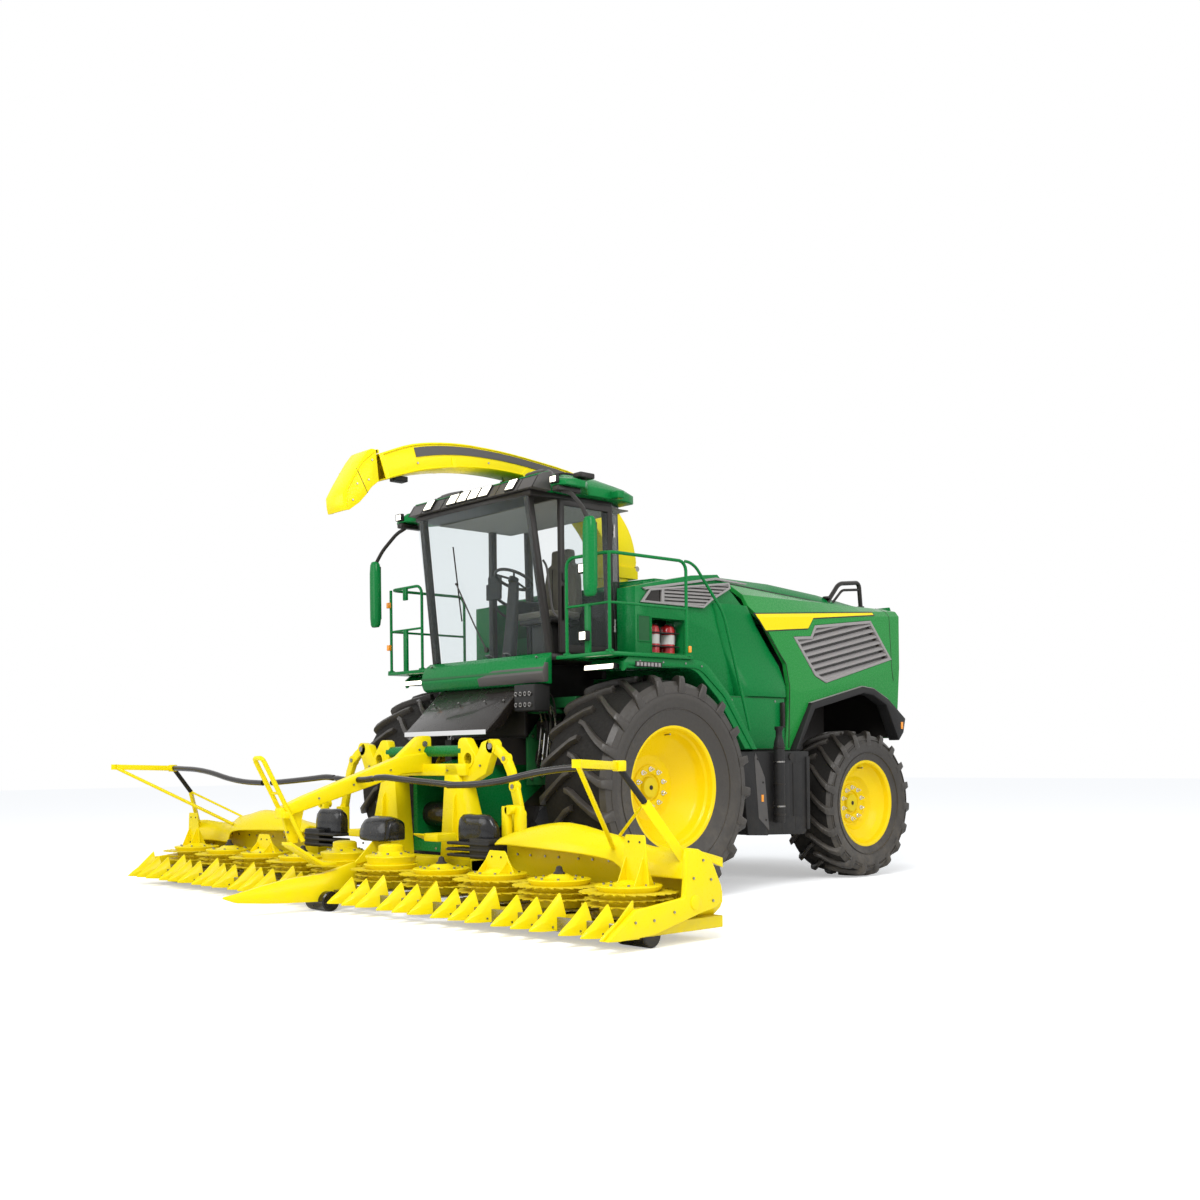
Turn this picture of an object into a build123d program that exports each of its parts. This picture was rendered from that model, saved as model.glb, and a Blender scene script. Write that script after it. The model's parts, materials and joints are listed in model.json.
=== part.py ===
from build123d import *
import math
import os

# Self-propelled forage harvester with a ten-row rotary header, in millimetres.
# X is across the machine (+X its left side), +Y points to its rear, +Z is up.
# All sizes are first written from the front axle (Y = 0, ground Z = 0); save() then
# moves every piece so that the origin lies on the ground under the middle of the whole.

# ---------------------------------------------------------------- driving sizes
FRONT_REACH = 3560          # tip of the centre divider, ahead of the front axle
REAR_REACH = 4860           # end of the towing jaw, behind the front axle
WHEELBASE = 3320
RUN = 0.3                   # running gap between pieces that seat on each other
CLEAR = 12                  # free air round a moving piece

FRONT_R, FRONT_WIDE, FRONT_MID, FRONT_RIM = 1030, 800, 1445, 545   # tyre and rim
REAR_R, REAR_WIDE, REAR_MID, REAR_RIM = 790, 600, 1250, 445
RIM_LIP = 22                # flange height over the bead seat
KINGPIN_X = 850             # steering axis of a rear wheel
KINGPIN_R = 45

BODY_HALF = 1300            # widest body side
ROOF_HALF = 950             # engine hood's top, half width
PANEL = 50                  # panel thickness
HOOD_TOP = 3170
COVER_FRONT, COVER_REAR = 1730, 4180
COVER_LOW = 1370
ARCH_TOP = 1980

CAB_HALF = 880
CAB_FRONT, CAB_REAR = -700, 420
CAB_FLOOR = 2270
CAB_EAVES = 3700
ROOF_TOP = 4010
POST = 70                   # cab post thickness
GLASS = 10

SPOUT_Y = 1000              # turning axis of the spout
SPOUT_BASE = 3020
SPOUT_HALF = 150
SPOUT_PIVOT_Z = 3330

LIFT_Y, LIFT_Z = -300, 1300  # header lifting axis
ROW_PITCH = 730
ROWS_A_SIDE = 5
CENTRE_ROWS = 2             # rows a side on the middle section
DRUM_Y = -2120
DRUM_R = 358                # out to the tine tips
DRUM_LOW, DRUM_TOP = 190, 440
TIP_Y, TIP_Z = -2740, 100
FOLD_X = ROW_PITCH * CENTRE_ROWS
FOLD_Z = 880
END_X = 3700                # outer face of the end cover
DECK_LOW, DECK_TOP = 85, 170
BEAM_FRONT, BEAM_REAR = -1720, -1540
FOLD_GAP = 8                # half of the slit between middle section and wing
SKID_R = 88

MID_Y = (REAR_REACH - FRONT_REACH) / 2


# ---------------------------------------------------------------- helpers
def block(x0, x1, y0, y1, z0, z1):
    return Pos((x0 + x1) / 2, (y0 + y1) / 2, (z0 + z1) / 2) * Box(x1 - x0, y1 - y0, z1 - z0)


def outline(points):
    """Face from (u, v) or (u, v, corner radius) points; round corners are true arcs."""
    count = len(points)
    corners = []
    for i, point in enumerate(points):
        here = Vector(point[0], point[1])
        radius = point[2] if len(point) > 2 else 0
        if not radius:
            corners.append((here, None, here))
            continue
        back = (Vector(*points[i - 1][:2]) - here).normalized()
        ahead = (Vector(*points[(i + 1) % count][:2]) - here).normalized()
        half = math.radians(back.get_angle(ahead)) / 2
        reach = radius / math.tan(half)
        middle = here + (back + ahead).normalized() * (radius / math.sin(half) - radius)
        corners.append((here + back * reach, middle, here + ahead * reach))
    edges = []
    for i, (start, middle, end) in enumerate(corners):
        if middle is not None:
            edges.append(ThreePointArc(start, middle, end))
        following = corners[(i + 1) % count][0]
        if (following - end).length > 1e-6:
            edges.append(Line(end, following))
    return make_face(edges)


def along_x(points, x0, x1):
    """Prism of a (y, z) outline between two x."""
    return extrude(Plane.YZ.offset(x0) * outline(points), amount=x1 - x0)


def along_y(points, y0, y1):
    """Prism of an (x, z) outline between two y."""
    return extrude(Plane.XZ.offset(-y1) * outline(points), amount=y1 - y0)


def along_z(points, z0, z1):
    """Prism of an (x, y) outline between two z."""
    return extrude(Plane.XY.offset(z0) * outline(points), amount=z1 - z0)


def rod(a, b, radius):
    axis = Vector(*b) - Vector(*a)
    return extrude(Plane(origin=a, z_dir=axis) * Circle(radius), amount=axis.length)


def beam(a, b, wide, deep, across=(1, 0, 0)):
    """Box bar from a to b; 'wide' lies along 'across', 'deep' square to both."""
    axis = Vector(*b) - Vector(*a)
    face = Plane(origin=a, x_dir=across, z_dir=axis) * Rectangle(wide, deep)
    return extrude(face, amount=axis.length)


PIPE_SIDES = 8


def pipe(points, radius, bend):
    """Eight-sided tube along straight runs, each corner taken in two mitred steps."""
    path = [Vector(*points[0])]
    for before, here, after in zip(points, points[1:], points[2:]):
        corner = Vector(*here)
        back, ahead = (Vector(*before) - corner).normalized(), (Vector(*after) - corner).normalized()
        half = math.radians(back.get_angle(ahead)) / 2
        reach = min(bend / math.tan(half), 0.45 * min((Vector(*before) - corner).length,
                                                      (Vector(*after) - corner).length))
        radius_here = reach * math.tan(half)
        path.append(corner + back * reach)
        path.append(corner + (back + ahead).normalized() * (radius_here / math.sin(half) - radius_here))
        path.append(corner + ahead * reach)
    path.append(Vector(*points[-1]))
    runs = [(b - a).normalized() for a, b in zip(path, path[1:])]
    start = Plane(origin=path[0], z_dir=runs[0])
    ring = [start.from_local_coords(Vector(u, v)) for u, v in round_points(PIPE_SIDES, radius)]
    loops = [ring]
    for k, run in enumerate(runs):
        square = run if k == len(runs) - 1 else (run + runs[k + 1]).normalized()
        ring = [q + run * ((path[k + 1] - q).dot(square) / run.dot(square)) for q in ring]
        loops.append(ring)
    return faceted(loops)


def ring_x(profile, x_mid):
    """Solid turned about the wheel axis from (x, radius) points, centred on x_mid."""
    face = Plane.XY * outline(profile)
    return Pos(x_mid, 0, 0) * revolve(face, Axis.X)


def flat_faces(a, b, c, d):
    """One face through four corners where they lie flat, otherwise two triangles."""
    corners = [p if isinstance(p, Vector) else Vector(*p) for p in (a, b, c, d)]
    kept = [v for i, v in enumerate(corners) if (v - corners[i - 1]).length > 1e-6]
    if len(kept) < 3:
        return []
    if len(kept) == 4:
        normal = (kept[1] - kept[0]).cross(kept[2] - kept[0])
        if abs(normal.normalized().dot(kept[3] - kept[0])) > 1e-4:
            return [Face(Wire.make_polygon(kept[:3])), Face(Wire.make_polygon([kept[0], kept[2], kept[3]]))]
    return [Face(Wire.make_polygon(kept))]


def faceted(loops, closed=False):
    """Flat-faced solid through loops of equally many points; closed joins the last to the first."""
    faces = [] if closed else [Face(Wire.make_polygon(loops[0])), Face(Wire.make_polygon(loops[-1]))]
    for near, far in zip(loops, loops[1:] + (loops[:1] if closed else [])):
        for i in range(len(near)):
            faces += flat_faces(near[i - 1], near[i], far[i], far[i - 1])
    solid = Solid(Shell(faces))
    return solid if solid.volume > 0 else Solid(solid.wrapped.Reversed())


def round_points(count, radius, start=0.0):
    """Corners (u, v) of a regular polygon that lies outside its circle."""
    far = radius / math.cos(math.pi / count)
    turns = [start + 2 * math.pi * k / count for k in range(count)]
    return [(far * math.cos(a), far * math.sin(a)) for a in turns]


def stack_z(x, y, steps, sides):
    """Upright flat-sided body through (height, radius) steps."""
    return faceted([[(x + u, y + v, z) for u, v in round_points(sides, r)] for z, r in steps])


def other_side(shape):
    return mirror(shape, about=Plane.YZ)


def both(shape):
    return [shape, other_side(shape)]


def save(name, *pieces):
    solids = []
    for piece in pieces:
        for item in (piece if isinstance(piece, list) else [piece]):
            solids += item.solids()
    moved = [Pos(0, -MID_Y, 0) * solid for solid in solids]
    export_step(moved[0] if len(moved) == 1 else Compound(children=moved), f"parts/{name}.step")


# ---------------------------------------------------------------- wheels
# radius, width, middle of the tread, bead seat radius, dish inset from the outer flange
WHEELS = {
    "front": (FRONT_R, FRONT_WIDE, FRONT_MID, FRONT_RIM, 0, 300),
    "rear": (REAR_R, REAR_WIDE, REAR_MID, REAR_RIM, WHEELBASE, 190),
}


TREAD = 0.955               # carcass radius under the lugs, as a share of the whole radius
LUG_SIDES = 30              # flat sides round a carcass, two to each pair of lugs


def tyre(radius, wide, bead):
    """Carcass ring with slanting chevron lugs; it rolls so that each lug's middle meets the ground first."""
    half = wide / 2
    seat = half * 0.79
    ground = radius * TREAD
    middle = (radius + bead) / 2
    section = [(-seat, bead / math.cos(math.pi / LUG_SIDES)), (-half * 0.99, middle - 20),
               (-half * 0.95, ground - 46), (-half * 0.6, ground)]
    section += [(-x, r) for x, r in reversed(section)]
    step = 2 * math.pi / LUG_SIDES
    loops = []
    for k in range(LUG_SIDES):
        loops.append([(x, -r * math.sin(k * step), r * math.cos(k * step)) for x, r in section])
    carcass = faceted(loops, closed=True)
    # station across the half width: share of half, turn behind the middle, thickness along the tread,
    # foot radius, crown radius
    stations = [(-0.06, 0.02, 36, ground - 16, radius), (0.995, 0.27, 58, ground - 110, radius - 46)]
    lugs = []
    for side in (1, -1):
        for k in range(LUG_SIDES // 2):
            apex = 2 * step * (k + (0 if side > 0 else 0.5))
            lug = []
            for share, behind, thick, foot, crown in stations:
                x, turn, spread = side * share * half, apex - behind * 1030 / radius, thick / 2 / radius
                lug.append([(x, -r * math.sin(turn + s * spread * w), r * math.cos(turn + s * spread * w))
                            for r, s, w in ((foot, -1, 1.3), (foot, 1, 1.3), (crown, 1, 0.8), (crown, -1, 0.8))])
            lugs.append(faceted(lug))
    return carcass.fuse(*lugs)


STUDS = 10


def rim(wide, bead, dish, hub_inner):
    """Rim with a deep bowl and a studded disc; hub_inner is the hub's inner face from the tread's middle."""
    seat = wide / 2 * 0.79
    face_x = seat - dish
    foot = bead * 0.54
    body = ring_x([(hub_inner, 0), (hub_inner, 190), (face_x - 40, 190), (face_x - 24, foot),
                   (face_x + dish * 0.3, bead - 76), (-seat + 30, bead - 46), (-seat - 14, bead - 10),
                   (-seat - 14, bead + RIM_LIP), (-seat, bead - RUN), (seat, bead - RUN),
                   (seat + 14, bead + RIM_LIP), (seat + 14, bead - 10), (seat - 40, bead - 34),
                   (seat - dish * 0.45, bead - 56), (face_x, foot + 14), (face_x, 212), (face_x + 14, 206),
                   (face_x + 14, 132), (face_x - 8, 124), (face_x - 8, 0)], 0)
    studs = []
    for k in range(STUDS):
        turn = 2 * math.pi * (k + 0.5) / STUDS
        place = Pos(face_x + 13, 170 * math.sin(turn), 170 * math.cos(turn)) * Rot(0, 90, 0)
        studs.append(place * extrude(RegularPolygon(17, 6), amount=34))
    return body + studs


HUB_FRONT, HUB_REAR = FRONT_MID - 330, REAR_MID - 230     # inner faces of the hubs
for end, (radius, wide, middle, bead, axle_y, dish) in WHEELS.items():
    hub_face = (HUB_FRONT if end == "front" else HUB_REAR) - middle
    place = Pos(middle, axle_y, radius)
    rubber = place * tyre(radius, wide, bead)
    steel = place * rim(wide, bead, dish, hub_face)
    for side, turn in (("left", lambda s: s), ("right", other_side)):
        save(f"{end}_tyre_{side}", turn(rubber))
        save(f"{end}_rim_{side}", turn(steel))

# ---------------------------------------------------------------- axles and frame
RAIL_OUT, RAIL_IN = 430, 330
rail = along_x([(-900, 1250), (-900, 1500), (2300, 1500), (2500, 1250), (4300, 1250), (4300, 1000),
                (2400, 1000), (2100, 1250)], RAIL_IN, RAIL_OUT)
cross = [block(-RAIL_IN, RAIL_IN, y, y + 140, 1260, 1400) for y in (-150, 1500)]
cross += [block(-RAIL_IN, RAIL_IN, y, y + 140, 1040, 1200) for y in (2900, 4100)]
frame_solid = rail + other_side(rail)
for piece in cross:
    frame_solid += piece
save("main_frame", frame_solid)

front_beam = block(-700, 700, -170, 170, FRONT_R - 190, FRONT_R + 190)
front_beam += Pos(0, 0, FRONT_R) * (Rot(0, 90, 0) * Cylinder(170, 2 * (HUB_FRONT - RUN)))
front_beam += block(-RAIL_OUT, RAIL_OUT, -150, 150, FRONT_R + 180, 1250 - RUN)
save("front_axle", front_beam)

YOKE_HALF = 130
rear_beam = block(-KINGPIN_X + 90, KINGPIN_X - 90, WHEELBASE - 110, WHEELBASE + 110, REAR_R - 90, REAR_R + 110)
rear_beam += block(-RAIL_OUT, RAIL_OUT, WHEELBASE - 90, WHEELBASE + 90, REAR_R + 100, 1000 - RUN)
for sign in (1, -1):
    for low, high in ((YOKE_HALF, YOKE_HALF + 40), (-YOKE_HALF - 40, -YOKE_HALF)):
        plate = block(min(sign * 700, sign * (KINGPIN_X + 80)), max(sign * 700, sign * (KINGPIN_X + 80)),
                      WHEELBASE - 80, WHEELBASE + 80, REAR_R + low, REAR_R + high)
        rear_beam += plate
    rear_beam += block(min(sign * 700, sign * 740), max(sign * 700, sign * 740),
                       WHEELBASE - 80, WHEELBASE + 80, REAR_R - YOKE_HALF - 40, REAR_R + YOKE_HALF + 40)
    rear_beam -= Pos(sign * KINGPIN_X, WHEELBASE, REAR_R) * Cylinder(KINGPIN_R + 0.05, 600)
save("rear_axle", rear_beam)

knuckle = Pos(KINGPIN_X, WHEELBASE, REAR_R) * Cylinder(75, 2 * YOKE_HALF - 2 * RUN)
knuckle += Pos(KINGPIN_X, WHEELBASE, REAR_R) * Cylinder(KINGPIN_R, 2 * YOKE_HALF + 80)
knuckle += rod((KINGPIN_X, WHEELBASE, REAR_R), (HUB_REAR - RUN, WHEELBASE, REAR_R), 100)
save("rear_knuckle_left", knuckle)
save("rear_knuckle_right", other_side(knuckle))

save("engine_block", block(-600, 600, 2520, 3800, 1250 + RUN, 2450))

# ---------------------------------------------------------------- engine hood and covers
# the hood's top edge from the side, measured down from HOOD_TOP: y, drop
HOOD_EDGE = [(1180, 60), (1400, 0), (2460, 10), (3300, 65), (4180, 160), (4330, 230)]
HINGE_FRONT, HINGE_REAR = (1760, HOOD_TOP - 85), (4150, HOOD_TOP - 222)     # y, z of the side covers' hinge line
HINGE_R = 12
SHOULDER = ROOF_HALF - 75


def along_line(a, b, y):
    return a[1] + (b[1] - a[1]) * (y - a[0]) / (b[0] - a[0])


def hood_loops(inset, low):
    loops = []
    for y, drop in HOOD_EDGE:
        top = HOOD_TOP - drop
        eaves = min(along_line(HINGE_FRONT, HINGE_REAR, y) + 14, top - 30)
        side, shoulder = ROOF_HALF - inset, SHOULDER - inset / 2
        loops.append([(-side, y, low), (-side, y, eaves - inset), (-shoulder, y, top - 12 - inset),
                      (0, y, top - inset), (shoulder, y, top - 12 - inset), (side, y, eaves - inset), (side, y, low)])
    return loops


HOOD_LOW = HOOD_TOP - 470
hood = faceted(hood_loops(0, HOOD_LOW)) - faceted(hood_loops(40, HOOD_LOW - 50))
REAR_WALL_HALF = BODY_HALF - 130
rear_wall = along_x([(4290, HOOD_TOP - 170), (4330, HOOD_TOP - 235), (4340, 1700), (4280, 1500), (4230, 1500),
                     (4280, 1700)], -REAR_WALL_HALF, REAR_WALL_HALF)
hood = hood + rear_wall
for k in range(9):
    z = 1950 + 90 * k
    hood += along_x([(4325, z), (4362, z - 20), (4362, z - 8), (4325, z + 30)], -760, 760)
hood += block(-RAIL_OUT, RAIL_OUT, 4230, 4300, 1250 + RUN, 1560)
hood += block(-ROOF_HALF, ROOF_HALF, 480, 1230, SPOUT_BASE - PANEL, SPOUT_BASE - RUN)
hood += along_y([(-ROOF_HALF, SPOUT_BASE - PANEL), (-ROOF_HALF, SPOUT_BASE + 40), (-300, SPOUT_BASE + 60),
                 (-300, SPOUT_BASE - PANEL)], 640, 1185)
hood += along_y([(ROOF_HALF, SPOUT_BASE - PANEL), (ROOF_HALF, SPOUT_BASE + 40), (300, SPOUT_BASE + 60),
                 (300, SPOUT_BASE - PANEL)], 640, 1185)
hinge_rods = []
for sign in (1, -1):
    ends = [(sign * ROOF_HALF, y, along_line(HINGE_FRONT, HINGE_REAR, y)) for y in (COVER_FRONT, COVER_REAR + 90)]
    groove = [(sign * ROOF_HALF, y, along_line(HINGE_FRONT, HINGE_REAR, y)) for y in (COVER_FRONT - 6, COVER_REAR + 100)]
    hinge_rods.append(rod(*ends, HINGE_R))
    hood -= rod(*groove, HINGE_R + 2)
save("hood_shell", hood)
guards = pipe([(900, 3450, 2990), (900, 3700, 3250), (900, 4080, 3290), (900, 4120, 2900)], 26, 60)
guards += pipe([(900, 3560, 2990), (900, 3760, 3180), (900, 4090, 3210)], 16, 40)
guards -= faceted(hood_loops(0, HOOD_LOW))
save("roof_guards", both(guards))

# side cover stations: y, shoulder z, crease z
COVER_STATIONS = [(COVER_FRONT, 2762, 2110), (2460, 2810, 1975), (3300, 2865, 2095), (COVER_REAR + 90, 2925, 2300)]
cover_loops = []
for y, shoulder, crease in COVER_STATIONS:
    top = along_line(HINGE_FRONT, HINGE_REAR, y)
    outer = [(ROOF_HALF + RUN, top + 4), (BODY_HALF - 160, (top + shoulder) / 2 + 34), (BODY_HALF - 45, shoulder + 10),
             (BODY_HALF, shoulder - 50), (BODY_HALF, crease), (BODY_HALF - 55, COVER_LOW - 60)]
    inner = [(BODY_HALF - 55 - PANEL, COVER_LOW - 60), (BODY_HALF - PANEL, crease), (BODY_HALF - PANEL, shoulder - 80),
             (BODY_HALF - 85, shoulder - 36), (BODY_HALF - 180, (top + shoulder) / 2 - 12), (ROOF_HALF + RUN, top - 50)]
    cover_loops.append([(x, y, z) for x, z in outer + inner])
# wheel arch: inner edge of the flare, y, z
ARCH = [(2340, COVER_LOW), (2390, COVER_LOW), (2660, 1800), (3540, 1990), (3720, 1970), (3960, 1870), (4200, 1470),
        (4290, 1560), (4330, 1720), (4010, 1930), (3740, 2040), (3530, 2060), (2615, 1860)]
COVER_OUTLINE = [(COVER_FRONT, 2830), (2220, 2260), (2275, 2030), (2250, COVER_LOW), (2340 - RUN, COVER_LOW),
                 (2615 - RUN, 1860 + RUN), (3530, 2060 + RUN), (3740, 2040 + RUN), (4010 + RUN, 1930 + RUN), (4270, 1760), (4270, 3300), (COVER_FRONT, 3300)]
GRILLE_OUTLINE = [(2350, 2550), (2650, 2570), (2720, 2690), (3720, 2800), (4120, 2380), (2900, 2080), (2710, 2150)]


def grown(points, by):
    """The outline's bounding middle pushed outwards, for a frame round it."""
    mid_u = sum(p[0] for p in points) / len(points)
    mid_v = sum(p[1] for p in points) / len(points)
    out = []
    for u, v in points:
        long = math.hypot(u - mid_u, v - mid_v)
        out.append((u + (u - mid_u) / long * by, v + (v - mid_v) / long * by))
    return out


cover = faceted(cover_loops) & along_x(COVER_OUTLINE, 600, 1500)
cover -= along_x(GRILLE_OUTLINE, 1100, 1500)
cover += hinge_rods[0]
save("side_cover_left", cover)
save("side_cover_right", other_side(cover))

slats = along_x(grown(GRILLE_OUTLINE, -RUN * 2), BODY_HALF - PANEL + 5, BODY_HALF - 3)
slats -= along_x(grown(GRILLE_OUTLINE, -42), BODY_HALF - 100, BODY_HALF + 100)
slats += along_x(grown(GRILLE_OUTLINE, -20), BODY_HALF - PANEL + 2, BODY_HALF - PANEL + 12)
SLAT_RISE = 0.21            # the slats climb towards the rear
for k in range(8):
    z = 1985 + 84 * k
    bar = along_x([(2340, z), (4140, z + 1800 * SLAT_RISE), (4140, z + 1800 * SLAT_RISE + 30), (2340, z + 30)],
                  BODY_HALF - PANEL + 8, BODY_HALF - 8)
    slats += bar & along_x(grown(GRILLE_OUTLINE, -20), 600, 1500)
flare = along_x(ARCH, BODY_HALF - 100, BODY_HALF + 36)
save("cover_trim_left", slats, flare)
save("cover_trim_right", other_side(slats), other_side(flare))

# ---------------------------------------------------------------- front side bodies with the front fenders
FENDER_OUT = 1640
INNER_X = BODY_HALF - 110   # inner face of the fender and of the column
DOOR_Y0, DOOR_Y1, DOOR_Z0, DOOR_Z1 = 1330, 2235, 1375, 1915
side_body = along_x([(120, CAB_FLOOR), (120, 2920), (900, 3080), (1290, 3120), (1700, 2800), (2200, 2250), (2250, 2030),
                     (2240, DOOR_Z1), (1330, DOOR_Z1), (1180, 1400), (1000, 1400), (620, 2180), (500, CAB_FLOOR)],
                    560, INNER_X)
side_body -= block(500, 950, 0, 482, 2000, 3300)                    # room for the cab
side_body -= block(500, ROOF_HALF + RUN, 470, 2300, 2600, 3300)     # room for the hood
side_body += block(RAIL_OUT + RUN, 560, 900, 1180, 1400, 1500)      # bracket on the frame
# hollow-cheeked column before the side cover: z, front y, rear y, how far it stands out
COLUMN = [(2830, 1200, 1670, 60), (2640, 1260, 1835, 40), (2400, 1350, 2060, 30), (2240, 1420, 2188, 52),
          (2030, 1500, 2240, 100), (DOOR_Z1, 1530, 2238, 110)]
column_loops = [[(INNER_X - 5, y0, z), (INNER_X + out * 0.55, y0 + 20, z), (INNER_X + out, y0 + 150, z),
                 (INNER_X + out, y1 - 40, z), (INNER_X + out * 0.9, y1, z), (INNER_X - 5, y1, z)]
                for z, y0, y1, out in COLUMN]
side_body += faceted(column_loops)
fender_line = [(-480, 2100), (-490, 2150, 20), (-430, 2196, 30), (560, 2196, 300), (900, 1900, 300), (1300, 1380),
               (1150, 1380), (770, 1850, 300), (430, 2130, 300)]
fender = along_x(fender_line, INNER_X, FENDER_OUT)
lip = along_x([(-490, 2075), (-500, 2160, 20), (-440, 2206, 30), (566, 2206, 300), (912, 1902, 300), (1315, 1375),
               (1240, 1375), (838, 1880, 300), (500, 2130, 300), (-440, 2130)], FENDER_OUT - 40, FENDER_OUT + 12)
side_body += fender + lip
NICHE_DEEP = 290            # left side only, for the extinguishers
niche = block(INNER_X - NICHE_DEEP, BODY_HALF + 100, 340, 800, 2300, 2640)
side_body += block(INNER_X + 10, BODY_HALF - 20, DOOR_Y0 + CLEAR, DOOR_Y1 - CLEAR, DOOR_Z0, DOOR_Z1)
side_body += block(BODY_HALF - 20, BODY_HALF + 25, 2140, 2170, 1560, 1880)
side_body -= block(BODY_HALF - 40, BODY_HALF, 1430, 1436, DOOR_Z0 - 5, DOOR_Z1 - 20)
save("front_bodies", side_body - niche, other_side(side_body))

tank = along_x([(1240, 540), (1150, 1355), (2250, 1355), (2200, 510)], 1000, 1560)
tank += along_x([(1380, 1340), (1330, 1355), (1150, 1355), (1240, 540), (1550, 525), (1500, 700)], 1555, 1590)
tank += block(RAIL_OUT + RUN, 1000, 1600, 1900, 1200, 1340)
tank += stack_z(1620, 1690, [(650, 50), (1430, 52), (1500, 30), (1560, 30), (1570, 40), (1600, 40)], 12)
tank += block(1540, 1620, 1660, 1720, 800, 860)
tank += block(1550, 1575, 2190, 2240, 560, 1300)
save("lower_boxes", tank, other_side(tank))

INTAKE = [(180, 2770), (300, 2905), (1440, 3050), (1460, 2990), (1180, 2850), (1060, 2770)]
intake = along_x(INTAKE, INNER_X + RUN, INNER_X + 8)
for k in range(6):
    low = 2785 + 44 * k
    bar = along_x([(150, low), (1480, low + 40), (1480, low + 62), (150, low + 22)], INNER_X + 6, INNER_X + 25)
    intake += bar & along_x(INTAKE, INNER_X, INNER_X + 60)
intake += along_x([(200, 2910), (1250, 3086), (COVER_FRONT - 8, 3061), (1690, 3046), (1250, 3062), (240, 2890)], INNER_X + RUN, INNER_X + 25)
save("intake_grilles", intake, other_side(intake))

# ---------------------------------------------------------------- cab
A_LOW, A_TOP = (CAB_HALF - 20, CAB_FRONT + 40), (800, -860)      # front post, foot and head (x, y)
C_LOW, C_TOP = (CAB_HALF, 100), (CAB_HALF - 30, 80)              # post behind the door
R_LOW, R_TOP = (640, CAB_REAR), (640, CAB_REAR - 30)             # rear post
SILL = CAB_FLOOR - 60
cab = along_z([(-CAB_HALF - 40, CAB_FRONT), (CAB_HALF + 40, CAB_FRONT), (CAB_HALF + 40, 120), (700, CAB_REAR + 30),
               (-700, CAB_REAR + 30), (-CAB_HALF - 40, 120)], SILL, CAB_FLOOR)
head = along_z([(-CAB_HALF, -900), (CAB_HALF, -900), (CAB_HALF + 10, 120), (700, CAB_REAR), (-700, CAB_REAR),
                (-CAB_HALF - 10, 120)], CAB_EAVES, CAB_EAVES + 50)
cab += head
for low, top in ((A_LOW, A_TOP), (C_LOW, C_TOP), (R_LOW, R_TOP)):
    for sign in (1, -1):
        cab += beam((sign * low[0], low[1], CAB_FLOOR - 20), (sign * top[0], top[1], CAB_EAVES + 20), POST, POST)
cab += block(-640, 640, CAB_REAR - 20, CAB_REAR + 20, CAB_FLOOR - 10, CAB_FLOOR + 600)
cab += block(-RAIL_OUT, RAIL_OUT, -600, 300, 1500 + RUN, SILL + 20)
for sign in (1, -1):
    for y in (-560, 230):
        cab += block(min(sign * 300, sign * 620), max(sign * 300, sign * 620), y, y + 60, 2080, SILL + 20)
DOOR_AXIS_X, DOOR_AXIS_Y = 955, 82
DOOR_HINGES = (CAB_FLOOR + 230, CAB_EAVES - 300)
for z in DOOR_HINGES:
    cab += rod((DOOR_AXIS_X, DOOR_AXIS_Y, z), (DOOR_AXIS_X, DOOR_AXIS_Y, z + 60), 15)
    cab += block(CAB_HALF + 10, DOOR_AXIS_X, DOOR_AXIS_Y - 10, DOOR_AXIS_Y + 12, z, z + 60)
save("cab_frame", cab)

panel = along_x([(CAB_FRONT - RUN, CAB_FLOOR + 10), (CAB_FRONT - 70, CAB_FLOOR - 40), (CAB_FRONT - 120, 2080),
                 (CAB_FRONT - 60, 1990), (CAB_FRONT, 1990), (CAB_FRONT - RUN, 2200)], -930, 930)
save("cab_front_panel", panel)

# the dark sloping sheet under the cab, above the feeder
under = along_x([(CAB_FRONT - 40, 1990 - RUN), (CAB_FRONT + 30, 1990 - RUN), (-980, 1600), (-1180, 1540), (-1190, 1570), (-1000, 1740)],
                -700, 560)
under += block(-RAIL_IN, RAIL_IN, CAB_FRONT - 10, CAB_FRONT + 30, 1520, 1988)
under += block(620, 900, -900, -700, 1740, 1985) + block(560, 640, -760, -680, 1900, 1985)
save("cab_hood", under)

PANE_LOW, PANE_TOP = CAB_FLOOR + 12, CAB_EAVES - RUN
front_glass = along_x([(CAB_FRONT - 2, PANE_LOW), (-898, PANE_TOP), (-898 - GLASS, PANE_TOP),
                       (CAB_FRONT - 2 - GLASS, PANE_LOW)], -CAB_HALF + 40, CAB_HALF - 40)
right_glass = along_x([(-600, PANE_LOW), (48, PANE_LOW), (30, PANE_TOP), (-760, PANE_TOP)],
                      -CAB_HALF + 30, -CAB_HALF + 30 + GLASS)
rear_glass = block(-600, 600, CAB_REAR - 30, CAB_REAR - 30 + GLASS, CAB_FLOOR + 600 + RUN, PANE_TOP)
quarter = along_z([(CAB_HALF - 30, 140), (CAB_HALF - 22, 145), (698, CAB_REAR - 30), (690, CAB_REAR - 36)],
                  CAB_FLOOR + RUN, PANE_TOP)
save("cab_glass", front_glass, right_glass, rear_glass, both(quarter))

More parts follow.
